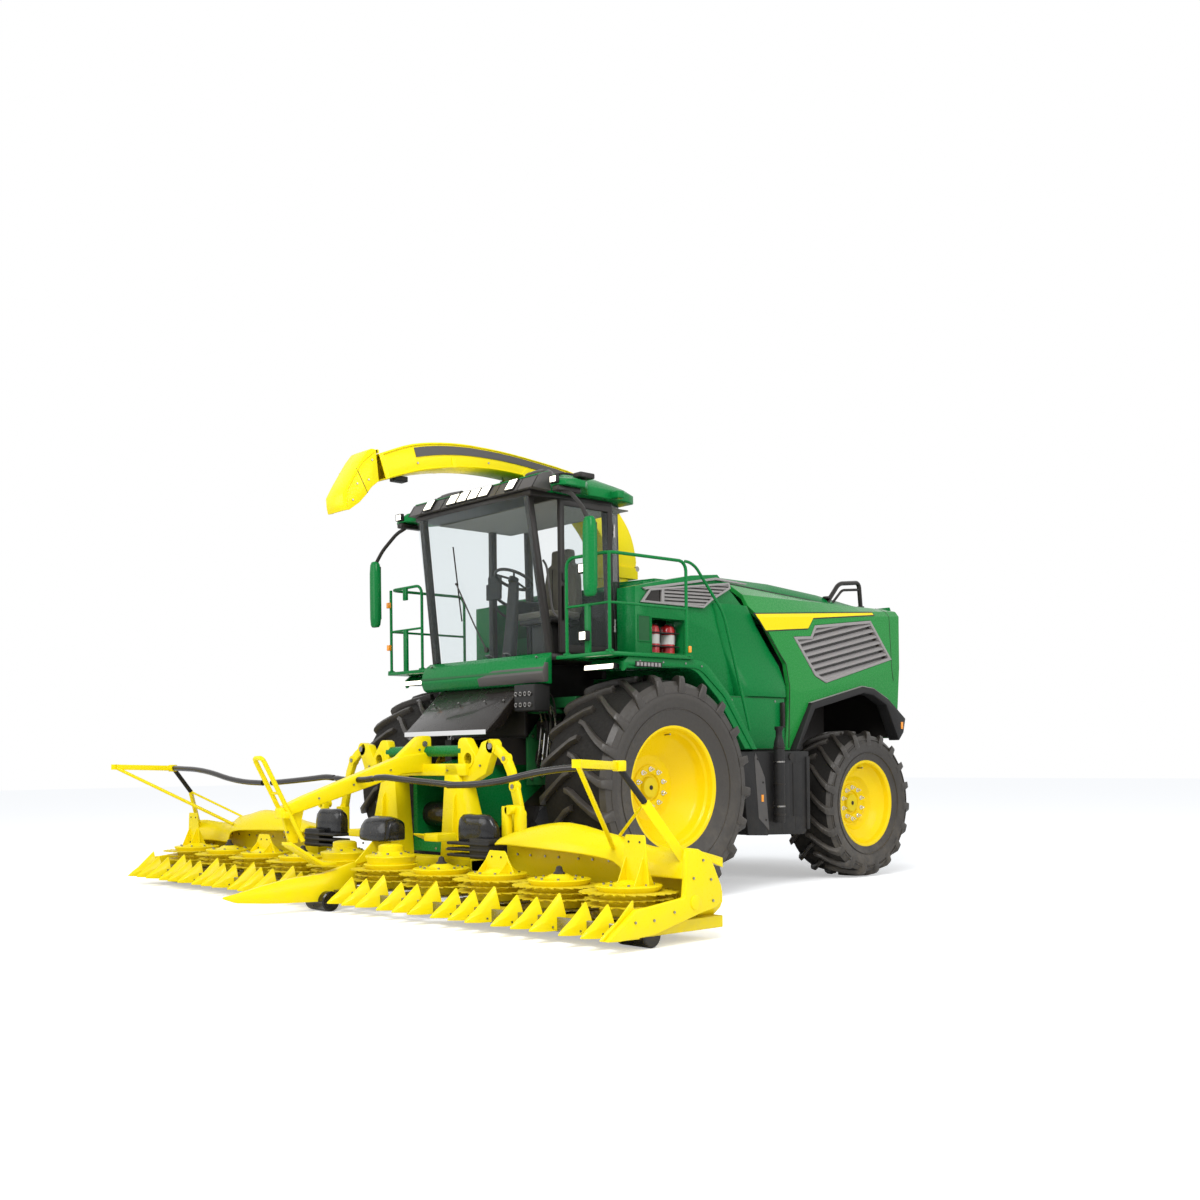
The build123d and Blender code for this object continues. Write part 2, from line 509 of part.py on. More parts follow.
ROOF_LOW = CAB_EAVES + 50 + RUN
ROOF = [(-560, ROOF_TOP - 60, 1000), (-420, ROOF_TOP - 12, 1000), (-250, ROOF_TOP, 1000), (100, ROOF_TOP - 40, 1000),
        (380, ROOF_TOP - 150, 930)]         # y, top, half width
roof_loops = []
for y, top, half in ROOF:
    roof_loops.append([(-half, y, ROOF_LOW), (half, y, ROOF_LOW), (half, y, ROOF_LOW + 80), (half * 0.84, y, top - 45),
                       (half * 0.6, y, top), (-half * 0.6, y, top), (-half * 0.84, y, top - 45),
                       (-half, y, ROOF_LOW + 80)])
roof = faceted(roof_loops)
WING_ROOF = [(960, -720, -250, ROOF_LOW, 140), (1120, -860, -420, CAB_EAVES + 45, 115),
             (1290, -840, -600, CAB_EAVES + 36, 66)]    # x, front y, rear y, underside, thickness
wing_roof = faceted([[(x, y0, z), (x, y1, z), (x, y1, z + thick * 0.8), (x, (y0 + y1) / 2, z + thick),
                      (x, y0 + 30, z + thick * 0.75), (x, y0, z + thick * 0.45)] for x, y0, y1, z, thick in WING_ROOF])
roof += wing_roof + other_side(wing_roof) + block(-1000, 1000, -700, -550, ROOF_LOW, ROOF_LOW + 150)
roof += block(980, 1100, 0, 90, ROOF_LOW, ROOF_LOW + 70) + block(-1100, -980, 0, 90, ROOF_LOW, ROOF_LOW + 70)
save("cab_roof", roof)

visor = along_x([(-700 - RUN, ROOF_LOW), (-700 - RUN, ROOF_LOW + 180), (-860, ROOF_LOW + 130), (-940, ROOF_LOW + 10)],
                -950, 950)
mirror_arm = beam((1200, -800, CAB_EAVES - 5), (1600, -880, 3390), 40, 40)
mirror_arm += block(1150, 1230, -880, -600, CAB_EAVES - 10, CAB_EAVES + 39 - RUN)
mirror_arm += faceted([[(1560, -930, z), (1700, -930, z), (1690, -850, z), (1570, -850, z)] if 2760 < z < 3390 else
                       [(1580, -920, z), (1680, -920, z), (1680, -860, z), (1580, -860, z)] for z in (2700, 2780, 3340, 3400)])
save("roof_trim", visor, both(mirror_arm))

cushion_low = CAB_FLOOR + 380
seat = block(-260, 260, -120, 330, cushion_low, cushion_low + 120)
seat += block(-230, 230, 240, 360, cushion_low + 100, CAB_FLOOR + 1150)
seat += block(-150, 150, 0, 250, CAB_FLOOR + RUN, cushion_low + 20)
seat += block(-360, -270, -150, 250, cushion_low + 120, cushion_low + 260) + block(-300, -240, 100, 200, cushion_low, cushion_low + 200)
monitor = block(-470, -250, -330, -300, cushion_low + 260, cushion_low + 420)
monitor += rod((-360, -315, cushion_low + 300), (-340, -100, cushion_low + 200), 16)
wheel_plane = Plane(origin=(0, -360, CAB_FLOOR + 800), x_dir=(1, 0, 0), z_dir=(0, 0.5, 1))
console = along_x([(-480, CAB_FLOOR + RUN), (-380, CAB_FLOOR + RUN), (-330, CAB_FLOOR + 780), (-380, CAB_FLOOR + 800)],
                  -70, 70)
console += extrude(wheel_plane * (Circle(205) - Circle(175)), amount=26, both=True)
console += extrude(wheel_plane * Rectangle(370, 44), amount=14, both=True)
save("cab_interior", seat + monitor, console)

DOOR_OUT = CAB_HALF + 85
door_frame = block(CAB_HALF + 45, DOOR_OUT, -620, 60, CAB_FLOOR + 5, CAB_EAVES - 10)
door_frame -= block(CAB_HALF, CAB_HALF + 200, -560, 0, CAB_FLOOR + 80, CAB_EAVES - 70)
for z in DOOR_HINGES:
    door_frame += rod((DOOR_AXIS_X, DOOR_AXIS_Y, z + 60 + RUN), (DOOR_AXIS_X, DOOR_AXIS_Y, z + 120), 15)
    door_frame += block(CAB_HALF + 60, DOOR_OUT, 50, DOOR_AXIS_Y, z + 60 + RUN, z + 120)
door_frame += block(DOOR_OUT - 5, DOOR_OUT + 30, -600, -580, CAB_FLOOR + 300, CAB_FLOOR + 620)
save("cab_door_frame", door_frame)
save("cab_door_glass", block(CAB_HALF + 60, CAB_HALF + 60 + GLASS, -560 + RUN, -RUN, CAB_FLOOR + 80 + RUN,
                             CAB_EAVES - 70 - RUN))

# ---------------------------------------------------------------- platforms, lamps, small fittings
RAIL_X = 1650
DECK_Z = 2206 + RUN         # platform plates lie on the fender's lip
HAND_Z = (3110, 2670)       # hand rail and knee rail
deck = block(CAB_HALF + 100, RAIL_X + 30, -700, 330, DECK_Z, DECK_Z + 34)
rails = pipe([(1100, -670, DECK_Z + 20), (1100, -670, HAND_Z[0]), (RAIL_X, -670, HAND_Z[0]), (RAIL_X, 320, HAND_Z[0]),
              (RAIL_X, 320, DECK_Z + 20)], 20, 90)
rails += rod((1100, -670, HAND_Z[1]), (RAIL_X, -670, HAND_Z[1]), 16)
rails += rod((RAIL_X, -670, HAND_Z[1]), (RAIL_X, 320, HAND_Z[1]), 16)
rails += rod((RAIL_X, -670, DECK_Z + 10), (RAIL_X, -670, HAND_Z[0]), 20)
rails += block(1350, 1410, -690, -660, HAND_Z[0] - 130, HAND_Z[0]) + block(1350, 1410, -690, -660, DECK_Z, HAND_Z[1])
slope = pipe([(RAIL_X, 310, HAND_Z[0]), (RAIL_X, 420, HAND_Z[0]), (RAIL_X, 840, HAND_Z[1]), (RAIL_X, 1210, 1560)], 18, 90)
steps = block(RAIL_X - 60, RAIL_X + 30, 330, 380, DECK_Z, DECK_Z + 34)
save("platforms", deck + rails + slope + steps, other_side(deck + rails))

lamp_bar = along_x([(-940 - RUN, ROOF_LOW + 10), (-860 - RUN, ROOF_LOW + 130), (-885, ROOF_LOW + 135),
                    (-965, ROOF_LOW + 15)], -320, 320)
side_lamp = along_x([(-940 - RUN, ROOF_LOW + 10), (-860 - RUN, ROOF_LOW + 130), (-895, ROOF_LOW + 138),
                     (-975, ROOF_LOW + 18)], 560, 700)
wing_lamp = block(1130, 1230, -900, -859, CAB_EAVES + 58, CAB_EAVES + 130)
LAMP_COLUMN = (2990, 2390)      # heights of the work lamps on the platform's front post
post_lamps = [block(1330, 1430, -750, -690 - RUN, z - 45, z + 45) for z in LAMP_COLUMN]
head_lamp = along_x([(-480 - RUN, 2100), (-488 - RUN, 2140), (-560, 2150), (-570, 2090)], INNER_X + 10, FENDER_OUT - 60)
save("lamps", lamp_bar, both(side_lamp), both(wing_lamp), both(head_lamp), post_lamps)
save("extinguishers", Pos(1060, 480, 2300 + RUN + 150) * Cylinder(75, 300), Pos(1060, 690, 2300 + RUN + 150) * Cylinder(75, 300))

weight = along_x([(4300 + RUN, 600), (4300 + RUN, 1240), (4560, 1240), (4760, 1000), (4760, 700), (4600, 600)], -900, 900)
weight += block(-150, 150, 4700, REAR_REACH, 640, 860)
weight -= Pos(0, REAR_REACH - 70, 750) * Cylinder(20, 400)
save("rear_weight", weight)

# ---------------------------------------------------------------- spout
LIFT_PIN_Y, LIFT_PIN_Z = 1190, 3285
turret = Pos(0, SPOUT_Y, (SPOUT_BASE + 3180) / 2) * Cylinder(170, 3180 - SPOUT_BASE)
turret += block(-190, 190, SPOUT_Y - 190, SPOUT_Y + 190, 3175, 3290 - RUN)
turret += stack_z(0, SPOUT_Y, [(SPOUT_BASE + 4, 176), (SPOUT_BASE + 40, 176), (SPOUT_BASE + 46, 165)], 24)
turret -= rod((-250, LIFT_PIN_Y, LIFT_PIN_Z), (250, LIFT_PIN_Y, LIFT_PIN_Z), 32)
save("spout_foot", turret)

# chute stations from foot to end: y and z of the underside, y and z of the back
CHUTE = [(830, 3290, 1190, 3290), (800, 3420, 1205, 3400), (660, 3640, 1100, 3690), (390, 3870, 800, 3985),
         (20, 4010, 380, 4170), (-360, 4065, -200, 4240), (-800, 4070, -760, 4272), (-1200, 4030, -1240, 4258),
         (-1600, 3945, -1680, 4185), (-1960, 3830, -2034, 4050)]
DUCT = 14                   # duct wall


def chute_loops(side, shrink, stations):
    loops = []
    for y0, z0, y1, z1 in stations:
        long = math.hypot(y1 - y0, z1 - z0)
        u, v = (y1 - y0) / long * shrink, (z1 - z0) / long * shrink
        loops.append([(-side, y0 + u, z0 + v), (side, y0 + u, z0 + v), (side, y1 - u, z1 - v), (-side, y1 - u, z1 - v)])
    return loops


chute = faceted(chute_loops(SPOUT_HALF, 0, CHUTE))
tail = [(-2060, 3798, -2140, 4023)]
chute -= faceted(chute_loops(SPOUT_HALF - DUCT, DUCT, CHUTE[1:] + tail))
chute += rod((-185, LIFT_PIN_Y, LIFT_PIN_Z), (185, LIFT_PIN_Y, LIFT_PIN_Z), 28)
chute += block(-SPOUT_HALF - 12, SPOUT_HALF + 12, 820, 1200, 3290, 3312)
# ribs: chute station, share of its height at the rib's foot and at its top
RIBS = [(3, 0.14, 0.42), (5, 0, 0.42), (7, 0, 0.42), (9, 0, 1)]
for k, foot, top in RIBS:
    y0, z0, y1, z1 = CHUTE[k]
    ends = [(y0 + (y1 - y0) * share, z0 + (z1 - z0) * share) for share in (foot, top)]
    for sign in (1, -1):
        chute += beam(*[(sign * (SPOUT_HALF + 3), y, z) for y, z in ends], 20, 46)
FLAP_Y, FLAP_Z = -2052, 4068
chute += rod((-60, FLAP_Y, FLAP_Z), (60, FLAP_Y, FLAP_Z), 18)
chute += block(-60, 60, FLAP_Y, FLAP_Y + 25, FLAP_Z - 20, FLAP_Z + 8)
save("spout_chute", chute)

strip = []
for sign in (1, -1):
    loops = []
    for y0, z0, y1, z1 in CHUTE[3:9]:
        def at(share):
            return y0 + (y1 - y0) * share, z0 + (z1 - z0) * share
        (low_y, low_z), (high_y, high_z) = at(0.52), at(0.86)
        inner, outer = sign * (SPOUT_HALF + RUN), sign * (SPOUT_HALF + 9)
        loops.append([(inner, low_y, low_z), (outer, low_y, low_z), (outer, high_y, high_z), (inner, high_y, high_z)])
    strip.append(faceted(loops))
save("spout_strip", strip)
FLAP = [(-2078, 4066), (-2090, 4082), (-2160, 4060), (-2300, 3860), (-2430, 3640), (-2410, 3500), (-2360, 3510),
        (-2250, 3590), (-2120, 3740), (-2045, 3800), (-2070, 4035)]
flap = along_x(FLAP, -SPOUT_HALF + 10, SPOUT_HALF - 10)
flap -= along_x([(y, z) for y, z in ((-2060, 3700), (-2062, 4010), (-2150, 4020), (-2400, 3640), (-2380, 3450))],
                -SPOUT_HALF + 24, SPOUT_HALF - 24)
for sign in (1, -1):
    ear = rod((60 + RUN, FLAP_Y, FLAP_Z), (130, FLAP_Y, FLAP_Z), 18)
    ear += block(60 + RUN, 130, FLAP_Y - 50, FLAP_Y, FLAP_Z - 14, FLAP_Z + 12)
    flap += ear if sign > 0 else other_side(ear)
save("spout_flap", flap)

# ---------------------------------------------------------------- header: feeder and middle frame
frame_y0, frame_y1 = BEAM_REAR + RUN, -1370
mouth = 260
feeder = along_x([(-250, 1450), (-250, 1080), (-1150, 450), (frame_y1 + RUN, 450), (frame_y1 + RUN, 1180),
                  (-1150, 1250)], -320, 320)
feeder -= along_x([(-1600, 520), (-1600, 1100), (-1020, 1130), (-1020, 600)], -mouth, mouth)
feeder += rod((-RAIL_IN + RUN, LIFT_Y, LIFT_Z), (RAIL_IN - RUN, LIFT_Y, LIFT_Z), 45)
save("feeder_house", feeder)
save("feed_roll", rod((-mouth + RUN, -1190, 790), (mouth - RUN, -1190, 790), 120))

HORN_Y0, HORN_Y1 = -1500, -1420
CROSS_LOW, CROSS_TOP = 1160, 1270       # upper beam of the header frame

head_frame = block(-760, 760, frame_y0, frame_y1, 300, 420)
head_frame += block(-700, 700, frame_y0, frame_y1, CROSS_LOW, CROSS_TOP)
post = along_y([(300, 300), (760, 300), (760, 690), (620, 1100), (560, CROSS_TOP), (400, CROSS_TOP)],
               frame_y0, frame_y1)
horn = along_y([(540, 1090), (540, 1500, 60), (690, 1500, 60), (800, 1330), (870, 1450, 30), (990, 1480, 40),
                (1040, 1390, 40), (930, 1180), (700, 1090)], HORN_Y0, HORN_Y1)
horn -= Pos(690, HORN_Y0, 1310) * Rot(90, 0, 0) * Cylinder(55, 400)
arm_path = [(1010, 1400), (1180, 1310), (1290, 1070), (1360, 830)]      # side arm down to the wing hinge
arm = rod((1000, HORN_Y0, 1420), (1000, HORN_Y1, 1420), 62)
for (x0, z0), (x1, z1) in zip(arm_path, arm_path[1:]):
    arm += beam((x0, -1470, z0), (x1, -1470, z1), 50, 84, (0, 1, 0)) + rod((x1, -1500, z1), (x1, -1440, z1), 46)
arm += block(1310, 1410, -1540 + RUN, -1440, 560, 850)
for piece in (post, horn, arm):
    head_frame += piece + other_side(piece)

BOOM_HALF = 62
BOOM = [(-1430, 1290, 95), (-1760, 1260, 85), (-2780, 945, 60), (-3030, 860, 45)]    # y, z, half depth
boom_loops = []
for y, z, deep in BOOM:
    boom_loops.append([(-BOOM_HALF, y, z - deep), (BOOM_HALF, y, z - deep), (BOOM_HALF, y, z + deep),
                       (-BOOM_HALF, y, z + deep)])
head_frame += faceted(boom_loops)
head_frame += along_x([(-1420, 1250), (-1420, 1530, 30), (-1560, 1530, 60), (-1800, 1330), (-1740, 1200)], -40, 40)
hoop = pipe([(-70, -2830, 620), (-70, -3190, 1290), (-70, -3215, 1335), (70, -3215, 1335), (70, -3190, 1290),
             (70, -2830, 620)], 21, 45)
brace = along_x([(-2780, 900), (-3000, 850), (-2930, 600), (-2850, 600)], -18, 18)
brace += along_x([(-2950, 615), (-2950, 585), (-2640, 395), (-2500, 395), (-2500, 420), (-2640, 430)], -85, 85)
head_frame += hoop + brace + block(-85, 85, -3020, -2960, 820, 880)
save("header_frame", head_frame)


def drum_x(row):
    return ROW_PITCH * (row + 0.5)


# ---------------------------------------------------------------- rotors
STAR_TEETH = 18
BODY_SIDES = 14
PLATE_TOP = 404
# the rotor's body of one piece: height, radius
ROTOR_STACK = [(DRUM_LOW, 332), (DRUM_LOW + 8, 332), (DRUM_LOW + 12, 205), (378, 212), (390, 240),
               (PLATE_TOP, 240), (PLATE_TOP + 8, 110), (DRUM_TOP - 16, 62)]
HUB_R = 54                  # round hub in the middle of every rotor
# toothed rings round it: underside, thickness, tooth tip, tooth root, how far a tip leans ahead (share of a step)
RINGS = [(262, 10, 340, 268, 0.55), (352, 10, DRUM_R, 262, 0.75)]
DISH = [(PLATE_TOP - 2, 212), (470, 226), (478, 190), (500, 120), (560, 112), (575, 60)]
CONE = [(DRUM_TOP - 4, 46), (DRUM_TOP + 12, 44), (DRUM_TOP + 60, 14)]
PADDLE = {2: (0, 215, 95, 580), 4: (65, 137, 90, 760)}      # row: middle, half foot, half top, top height


def ring_of_teeth(x, low, thick, tip, root, lean):
    step = 2 * math.pi / STAR_TEETH
    points = []
    for k in range(STAR_TEETH):
        for radius, turn in ((root, k * step), (tip, (k + lean) * step)):
            points.append((x + radius * math.cos(turn), DRUM_Y + radius * math.sin(turn)))
    return along_z(points, low, low + thick)


def rotor(row):
    x = drum_x(row)
    body = stack_z(x, DRUM_Y, ROTOR_STACK, BODY_SIDES)
    for ring in RINGS:
        body += ring_of_teeth(x, *ring)
    hub_top = DISH[-1][0] + 12 if row == 0 else DRUM_TOP
    body += Pos(x, DRUM_Y, (DRUM_LOW + 20 + hub_top) / 2) * Cylinder(HUB_R, hub_top - DRUM_LOW - 20)
    if row == 0:
        body += stack_z(x, DRUM_Y, DISH, BODY_SIDES)
    elif row in PADDLE:
        middle, foot, top, high = PADDLE[row]
        body += along_y([(x + middle - foot, PLATE_TOP - 6), (x + middle + foot, PLATE_TOP - 6),
                         (x + middle + top + 10, high), (x + middle - top, high)], DRUM_Y - 8, DRUM_Y + 8)
    else:
        body += stack_z(x, DRUM_Y, CONE, 8)
    return body


# ---------------------------------------------------------------- header: decks
FINGER_BACK = -2490
# offset from the drum, height of the ridge's rear end, half width, rear end
FINGERS = [(-60, 305, 62, FINGER_BACK), (160, 305, 62, FINGER_BACK), (ROW_PITCH / 2, 345, 70, -2450)]


def finger(x, ridge, half, back, x_low, x_high):
    """Pointed crop divider from its tip to its back, cut off beyond x_low and x_high."""
    def ring(y, share, low, shoulder, top):
        across = [(-1, low), (1, low), (1, shoulder), (0.16, top), (-0.16, top), (-1, shoulder)]
        return [(x + half * share * u, y, z) for u, z in across]
    whole = faceted([ring(TIP_Y, 0.13, TIP_Z - 8, TIP_Z, TIP_Z + 6), ring(TIP_Y + 110, 0.62, DECK_LOW, 150, 185),
                     ring(back, 1, DECK_LOW, 190, ridge)])
    if x - half >= x_low and x + half <= x_high:
        return whole
    return whole & block(x_low, x_high, TIP_Y - 100, back + 100, 0, 600)


def section(rows, x0, x1):
    solid = block(x0, x1, -2520, BEAM_REAR, DECK_LOW, DECK_TOP)
    solid += block(x0, x1, BEAM_FRONT, BEAM_REAR, DECK_TOP - 5, 600)
    solid += block(x0, x1, -2530, -2500, DECK_LOW - 5, DECK_TOP + 12)
    for row in rows:
        for offset, ridge, half, back in FINGERS:
            solid += finger(drum_x(row) + offset, ridge, half, back, x0, x1)
        if x0 > 0 and row == rows[0]:
            solid += finger(x0 - FOLD_GAP, *FINGERS[2][1:], x0, x1)
        solid += stack_z(drum_x(row), DRUM_Y, [(DECK_TOP - 4, 110), (DRUM_LOW - RUN, 110)], BODY_SIDES)
    return solid


def skid(x0, x1, y):
    return rod((x0, y, SKID_R), (x1, y, SKID_R), SKID_R) + block(x0 + 20, x1 - 20, y - 30, y + 30, SKID_R, DECK_LOW + 40)


middle_rows = range(CENTRE_ROWS)
wing_rows = range(CENTRE_ROWS, ROWS_A_SIDE)
half_centre = section(middle_rows, 0, FOLD_X - FOLD_GAP)
half_centre += block(500, 700, -1860, -1640, 590, 660) + Pos(670, -1760, 765) * Cylinder(105, 250)
half_centre += along_x([(-1700, 585), (-1725, 585), (-1860, 640), (-1860, 655), (-1700, 640)], 340, 520)
centre = half_centre + other_side(half_centre)
NOSE = [(-FRONT_REACH, 8, 170, 186), (-3440, 34, 128, 205), (-2960, 62, 95, 296), (-2600, 78, DECK_LOW, 322),
        (-2480, 78, DECK_LOW, 350), (-2300, 34, DECK_LOW, 398), (-2240, 12, DECK_LOW, 405)]   # y, half, low, top
nose_loops = []
for y, half, low, top in NOSE:
    ridge = half * 0.5
    nose_loops.append([(-half, y, low), (half, y, low), (half, y, low + (top - low) * 0.62), (ridge, y, top),
                       (-ridge, y, top), (-half, y, low + (top - low) * 0.62)])
centre += faceted(nose_loops)
centre -= block(-330, 330, BEAM_FRONT - 5, BEAM_REAR + 5, 300, 700)
centre += along_x([(-2270, 385), (-1870, 440), (-1870, 580 - RUN), (-2060, 580 - RUN)], -9, 9)       # carries the dome
centre += skid(-150, 150, -2600)
for sign in (1, -1):
    lug = block(FOLD_X - 80, FOLD_X - FOLD_GAP, -1700, -1640, 590, FOLD_Z + 30)
    lug += rod((FOLD_X, -1700, FOLD_Z), (FOLD_X, -1640, FOLD_Z), 40)
    centre += lug if sign > 0 else other_side(lug)
save("centre_deck", centre)

centre_pipe = pipe([(BOOM_HALF + RUN, -2250, 1135), (220, -2250, 1135), (400, -2250, 1165), (900, -2250, 1130), (1440, -2250, 1100)],
                   28, 300)
save("header_trim", both(centre_pipe))

# rubber flaps and crop bags: x, y, z loops
BAG = [(920, 0.75), (980, 1), (1300, 1), (1390, 0.6)]
bag = faceted([[(x, -1750 + v * share, 740 + w * share) for v, w in
                ((-70, -140 + RUN), (40, -140 + RUN), (40, 60), (-10, 105), (-60, 70))] for x, share in BAG])
dome = faceted([[(x, -1990 + v * share, 640 + w * share) for v, w in
                 ((-90, -60), (170, -60), (170, 120), (40, 165), (-60, 90))]
                for x, share in ((-230, 0.7), (-120, 1), (120, 1), (230, 0.7))])
prongs = [block(880, 1440, -1900, BEAM_FRONT - RUN, z, z + 26) for z in (480, 530, 580)]
prongs.append(block(1180, 1440, -1890, BEAM_FRONT - RUN, 470, 640))
flap_solid = prongs[0]
for prong in prongs[1:]:
    flap_solid += prong
save("header_flaps", both(flap_solid), both(bag), dome)

# cover over the tines of a wing: x, lip y, lip z, ridge y, ridge z, rear z
COVER = [(1500, -1880, 605, -1790, 660, 640), (1650, -1900, 615, -1790, 705, 650),
         (2000, -1960, 612, -1810, 775, 660), (2340, -1990, 605, -1810, 805, 660),
         (2680, -1980, 588, -1810, 752, 650), (2920, -1920, 545, -1810, 715, 640),
         (3040, -1890, 452, -1800, 668, 630), (3300, -1885, 455, -1780, 640, 625),
         (3550, -1960, 462, -1850, 668, 600), (3660, -1970, 462, -1900, 664, 580)]
SHEET = 22
cover_loops = []
for x, lip_y, lip_z, ridge_y, ridge_z, rear_z in COVER:
    cover_loops.append([(x, lip_y, lip_z), (x, ridge_y, ridge_z), (x, BEAM_REAR, rear_z),
                        (x, BEAM_REAR, rear_z - 70), (x, ridge_y, ridge_z - SHEET), (x, lip_y, lip_z - SHEET / 2)])
END_IN = END_X - 45
wing = section(wing_rows, FOLD_X + FOLD_GAP, END_IN)
wing += faceted(cover_loops)
wing += along_x([(TIP_Y, TIP_Z - 8), (-2460, 285), (-2360, 290), (-1990, 330), (-1972, 460), (-1960, 680, 40),
                 (-1810, 655, 40), (-1690, 560, 60), (-1600, 340, 60), (-1640, 240, 30), (-1840, 205),
                 (-2290, 100), (-2640, DECK_LOW)], END_IN, END_X)
wing += finger(3630, 285, 60, -2430, 3560, END_X)
wing += rod((END_X - 10, -1880, 290), (END_X + 10, -1880, 290), 52)
wing += skid(3350, 3640, -2250)
wing += block(FOLD_X + FOLD_GAP, FOLD_X + 80, -1640 + RUN, -1580, 590, FOLD_Z + 30)
wing += rod((FOLD_X, -1640 + RUN, FOLD_Z), (FOLD_X, -1580, FOLD_Z), 40)
GUARD_END, GUARD_TIP = (3400, -2330, 1248), (3604, -2908, 1268)
wing += beam((3379, -2330, 1248), (3450, -2330, 1248), 74, 74, (0, 1, 0)) + beam(GUARD_END, GUARD_TIP, 44, 56)
wing += rod((3604, -2908, 1240), (3604, -2908, 1296), 34)
wing += rod(GUARD_TIP, (2900, -1890, 640), 18)
strut = (3440, -2110, 990)
wing += rod(GUARD_END, strut, 24) + beam(strut, (3640, -1900, 560), 70, 26) + rod(strut, (2830, -1770, 700), 12)
save("wing_deck_left", wing)
save("wing_deck_right", other_side(wing))
guard = pipe([(FOLD_X + 15, -2330, 1100), (2000, -2330, 1110), (2700, -2330, 1230), (3376, -2330, 1248)], 28, 300)
save("wing_guard_left", guard)
save("wing_guard_right", other_side(guard))

for row in range(ROWS_A_SIDE):
    drum = rotor(row)
    save(f"rotor_left_{row + 1}", drum)
    save(f"rotor_right_{row + 1}", other_side(drum))
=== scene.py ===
import json
import math

import bpy
from mathutils import Matrix, Vector

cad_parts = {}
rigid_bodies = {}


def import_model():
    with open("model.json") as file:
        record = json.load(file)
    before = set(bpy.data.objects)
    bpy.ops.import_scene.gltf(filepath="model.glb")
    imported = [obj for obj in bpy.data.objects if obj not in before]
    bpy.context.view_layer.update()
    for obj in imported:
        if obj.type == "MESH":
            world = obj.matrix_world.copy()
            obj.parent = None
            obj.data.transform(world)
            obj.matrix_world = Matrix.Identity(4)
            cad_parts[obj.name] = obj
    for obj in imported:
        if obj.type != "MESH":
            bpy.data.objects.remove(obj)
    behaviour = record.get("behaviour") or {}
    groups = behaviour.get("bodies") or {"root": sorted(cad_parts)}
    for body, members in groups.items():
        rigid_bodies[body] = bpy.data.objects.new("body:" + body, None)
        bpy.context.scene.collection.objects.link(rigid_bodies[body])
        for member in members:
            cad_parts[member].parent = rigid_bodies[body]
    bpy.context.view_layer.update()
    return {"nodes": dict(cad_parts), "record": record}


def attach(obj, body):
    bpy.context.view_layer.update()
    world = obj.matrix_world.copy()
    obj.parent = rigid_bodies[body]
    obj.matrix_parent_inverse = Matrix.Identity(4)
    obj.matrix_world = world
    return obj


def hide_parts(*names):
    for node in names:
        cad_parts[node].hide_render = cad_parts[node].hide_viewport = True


# Forage harvester, dressed over its CAD bodies. Metres; +X is the machine's left, +Y its rear, +Z up.

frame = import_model()
MID_Y = 0.65                # the frame's middle lies this far behind the front axle
PI = math.pi


# ---------------------------------------------------------------- modelling helpers
def clear_selection():
    if bpy.context.object and bpy.context.object.mode != "OBJECT":
        bpy.ops.object.mode_set(mode="OBJECT")
    bpy.ops.object.select_all(action="DESELECT")


def choose(obj):
    clear_selection()
    obj.select_set(True)
    bpy.context.view_layer.objects.active = obj
    return obj


def settle(obj, name=None):
    """Leaves edit mode and puts the piece's origin on the world's."""
    choose(obj)
    bpy.ops.object.transform_apply(location=True, rotation=True, scale=True)
    if name:
        obj.name = name
        obj.data.name = name
    return obj


def at(point):
    """A place measured from the front axle, moved into the frame."""
    return (point[0], point[1] - MID_Y, point[2])


def line(points):
    """A chain of vertices, extruded one by one; stays in edit mode with all selected."""
    clear_selection()
    bpy.ops.mesh.primitive_plane_add(size=0.01, location=points[0])
    obj = bpy.context.object
    bpy.ops.object.mode_set(mode="EDIT")
    bpy.ops.mesh.select_all(action="SELECT")
    bpy.ops.mesh.merge(type="CENTER")
    bpy.ops.object.mode_set(mode="OBJECT")      # so that the vertices stay in the order of the points
    bpy.ops.object.mode_set(mode="EDIT")
    bpy.ops.mesh.select_all(action="SELECT")
    for a, b in zip(points, points[1:]):
        step = tuple(q - p for p, q in zip(a, b))
        bpy.ops.mesh.extrude_region_move(TRANSFORM_OT_translate={"value": step})
    bpy.ops.mesh.select_all(action="SELECT")
    return obj


def select_verts(obj, indices):
    bpy.ops.object.mode_set(mode="OBJECT")
    for part in (obj.data.vertices, obj.data.edges, obj.data.polygons):
        part.foreach_set("select", [False] * len(part))
    for k in indices:
        obj.data.vertices[k].select = True
    bpy.ops.object.mode_set(mode="EDIT")


def loft(loops, capped=True):
    """Skin bridged between loops of equally many points, measured from the front axle."""
    loops = [[at(p) for p in loop] for loop in loops]
    count = len(loops[0])
    obj = line(loops[0])
    for k in range(1, len(loops)):
        select_verts(obj, [k * count - 1])
        step = Vector(loops[k][0]) - Vector(loops[k - 1][-1])
        bpy.ops.mesh.duplicate_move(TRANSFORM_OT_translate={"value": step})
        for a, b in zip(loops[k], loops[k][1:]):
            bpy.ops.mesh.extrude_region_move(TRANSFORM_OT_translate={"value": Vector(b) - Vector(a)})
    for k in range(len(loops)):
        select_verts(obj, (k * count, (k + 1) * count - 1))
        bpy.ops.mesh.edge_face_add()
    for k in range(len(loops) - 1):
        select_verts(obj, range(k * count, (k + 2) * count))
        bpy.ops.mesh.bridge_edge_loops()
    for k in (0, len(loops) - 1) if capped else ():
        select_verts(obj, range(k * count, (k + 1) * count))
        bpy.ops.mesh.edge_face_add()
    return clean(obj)


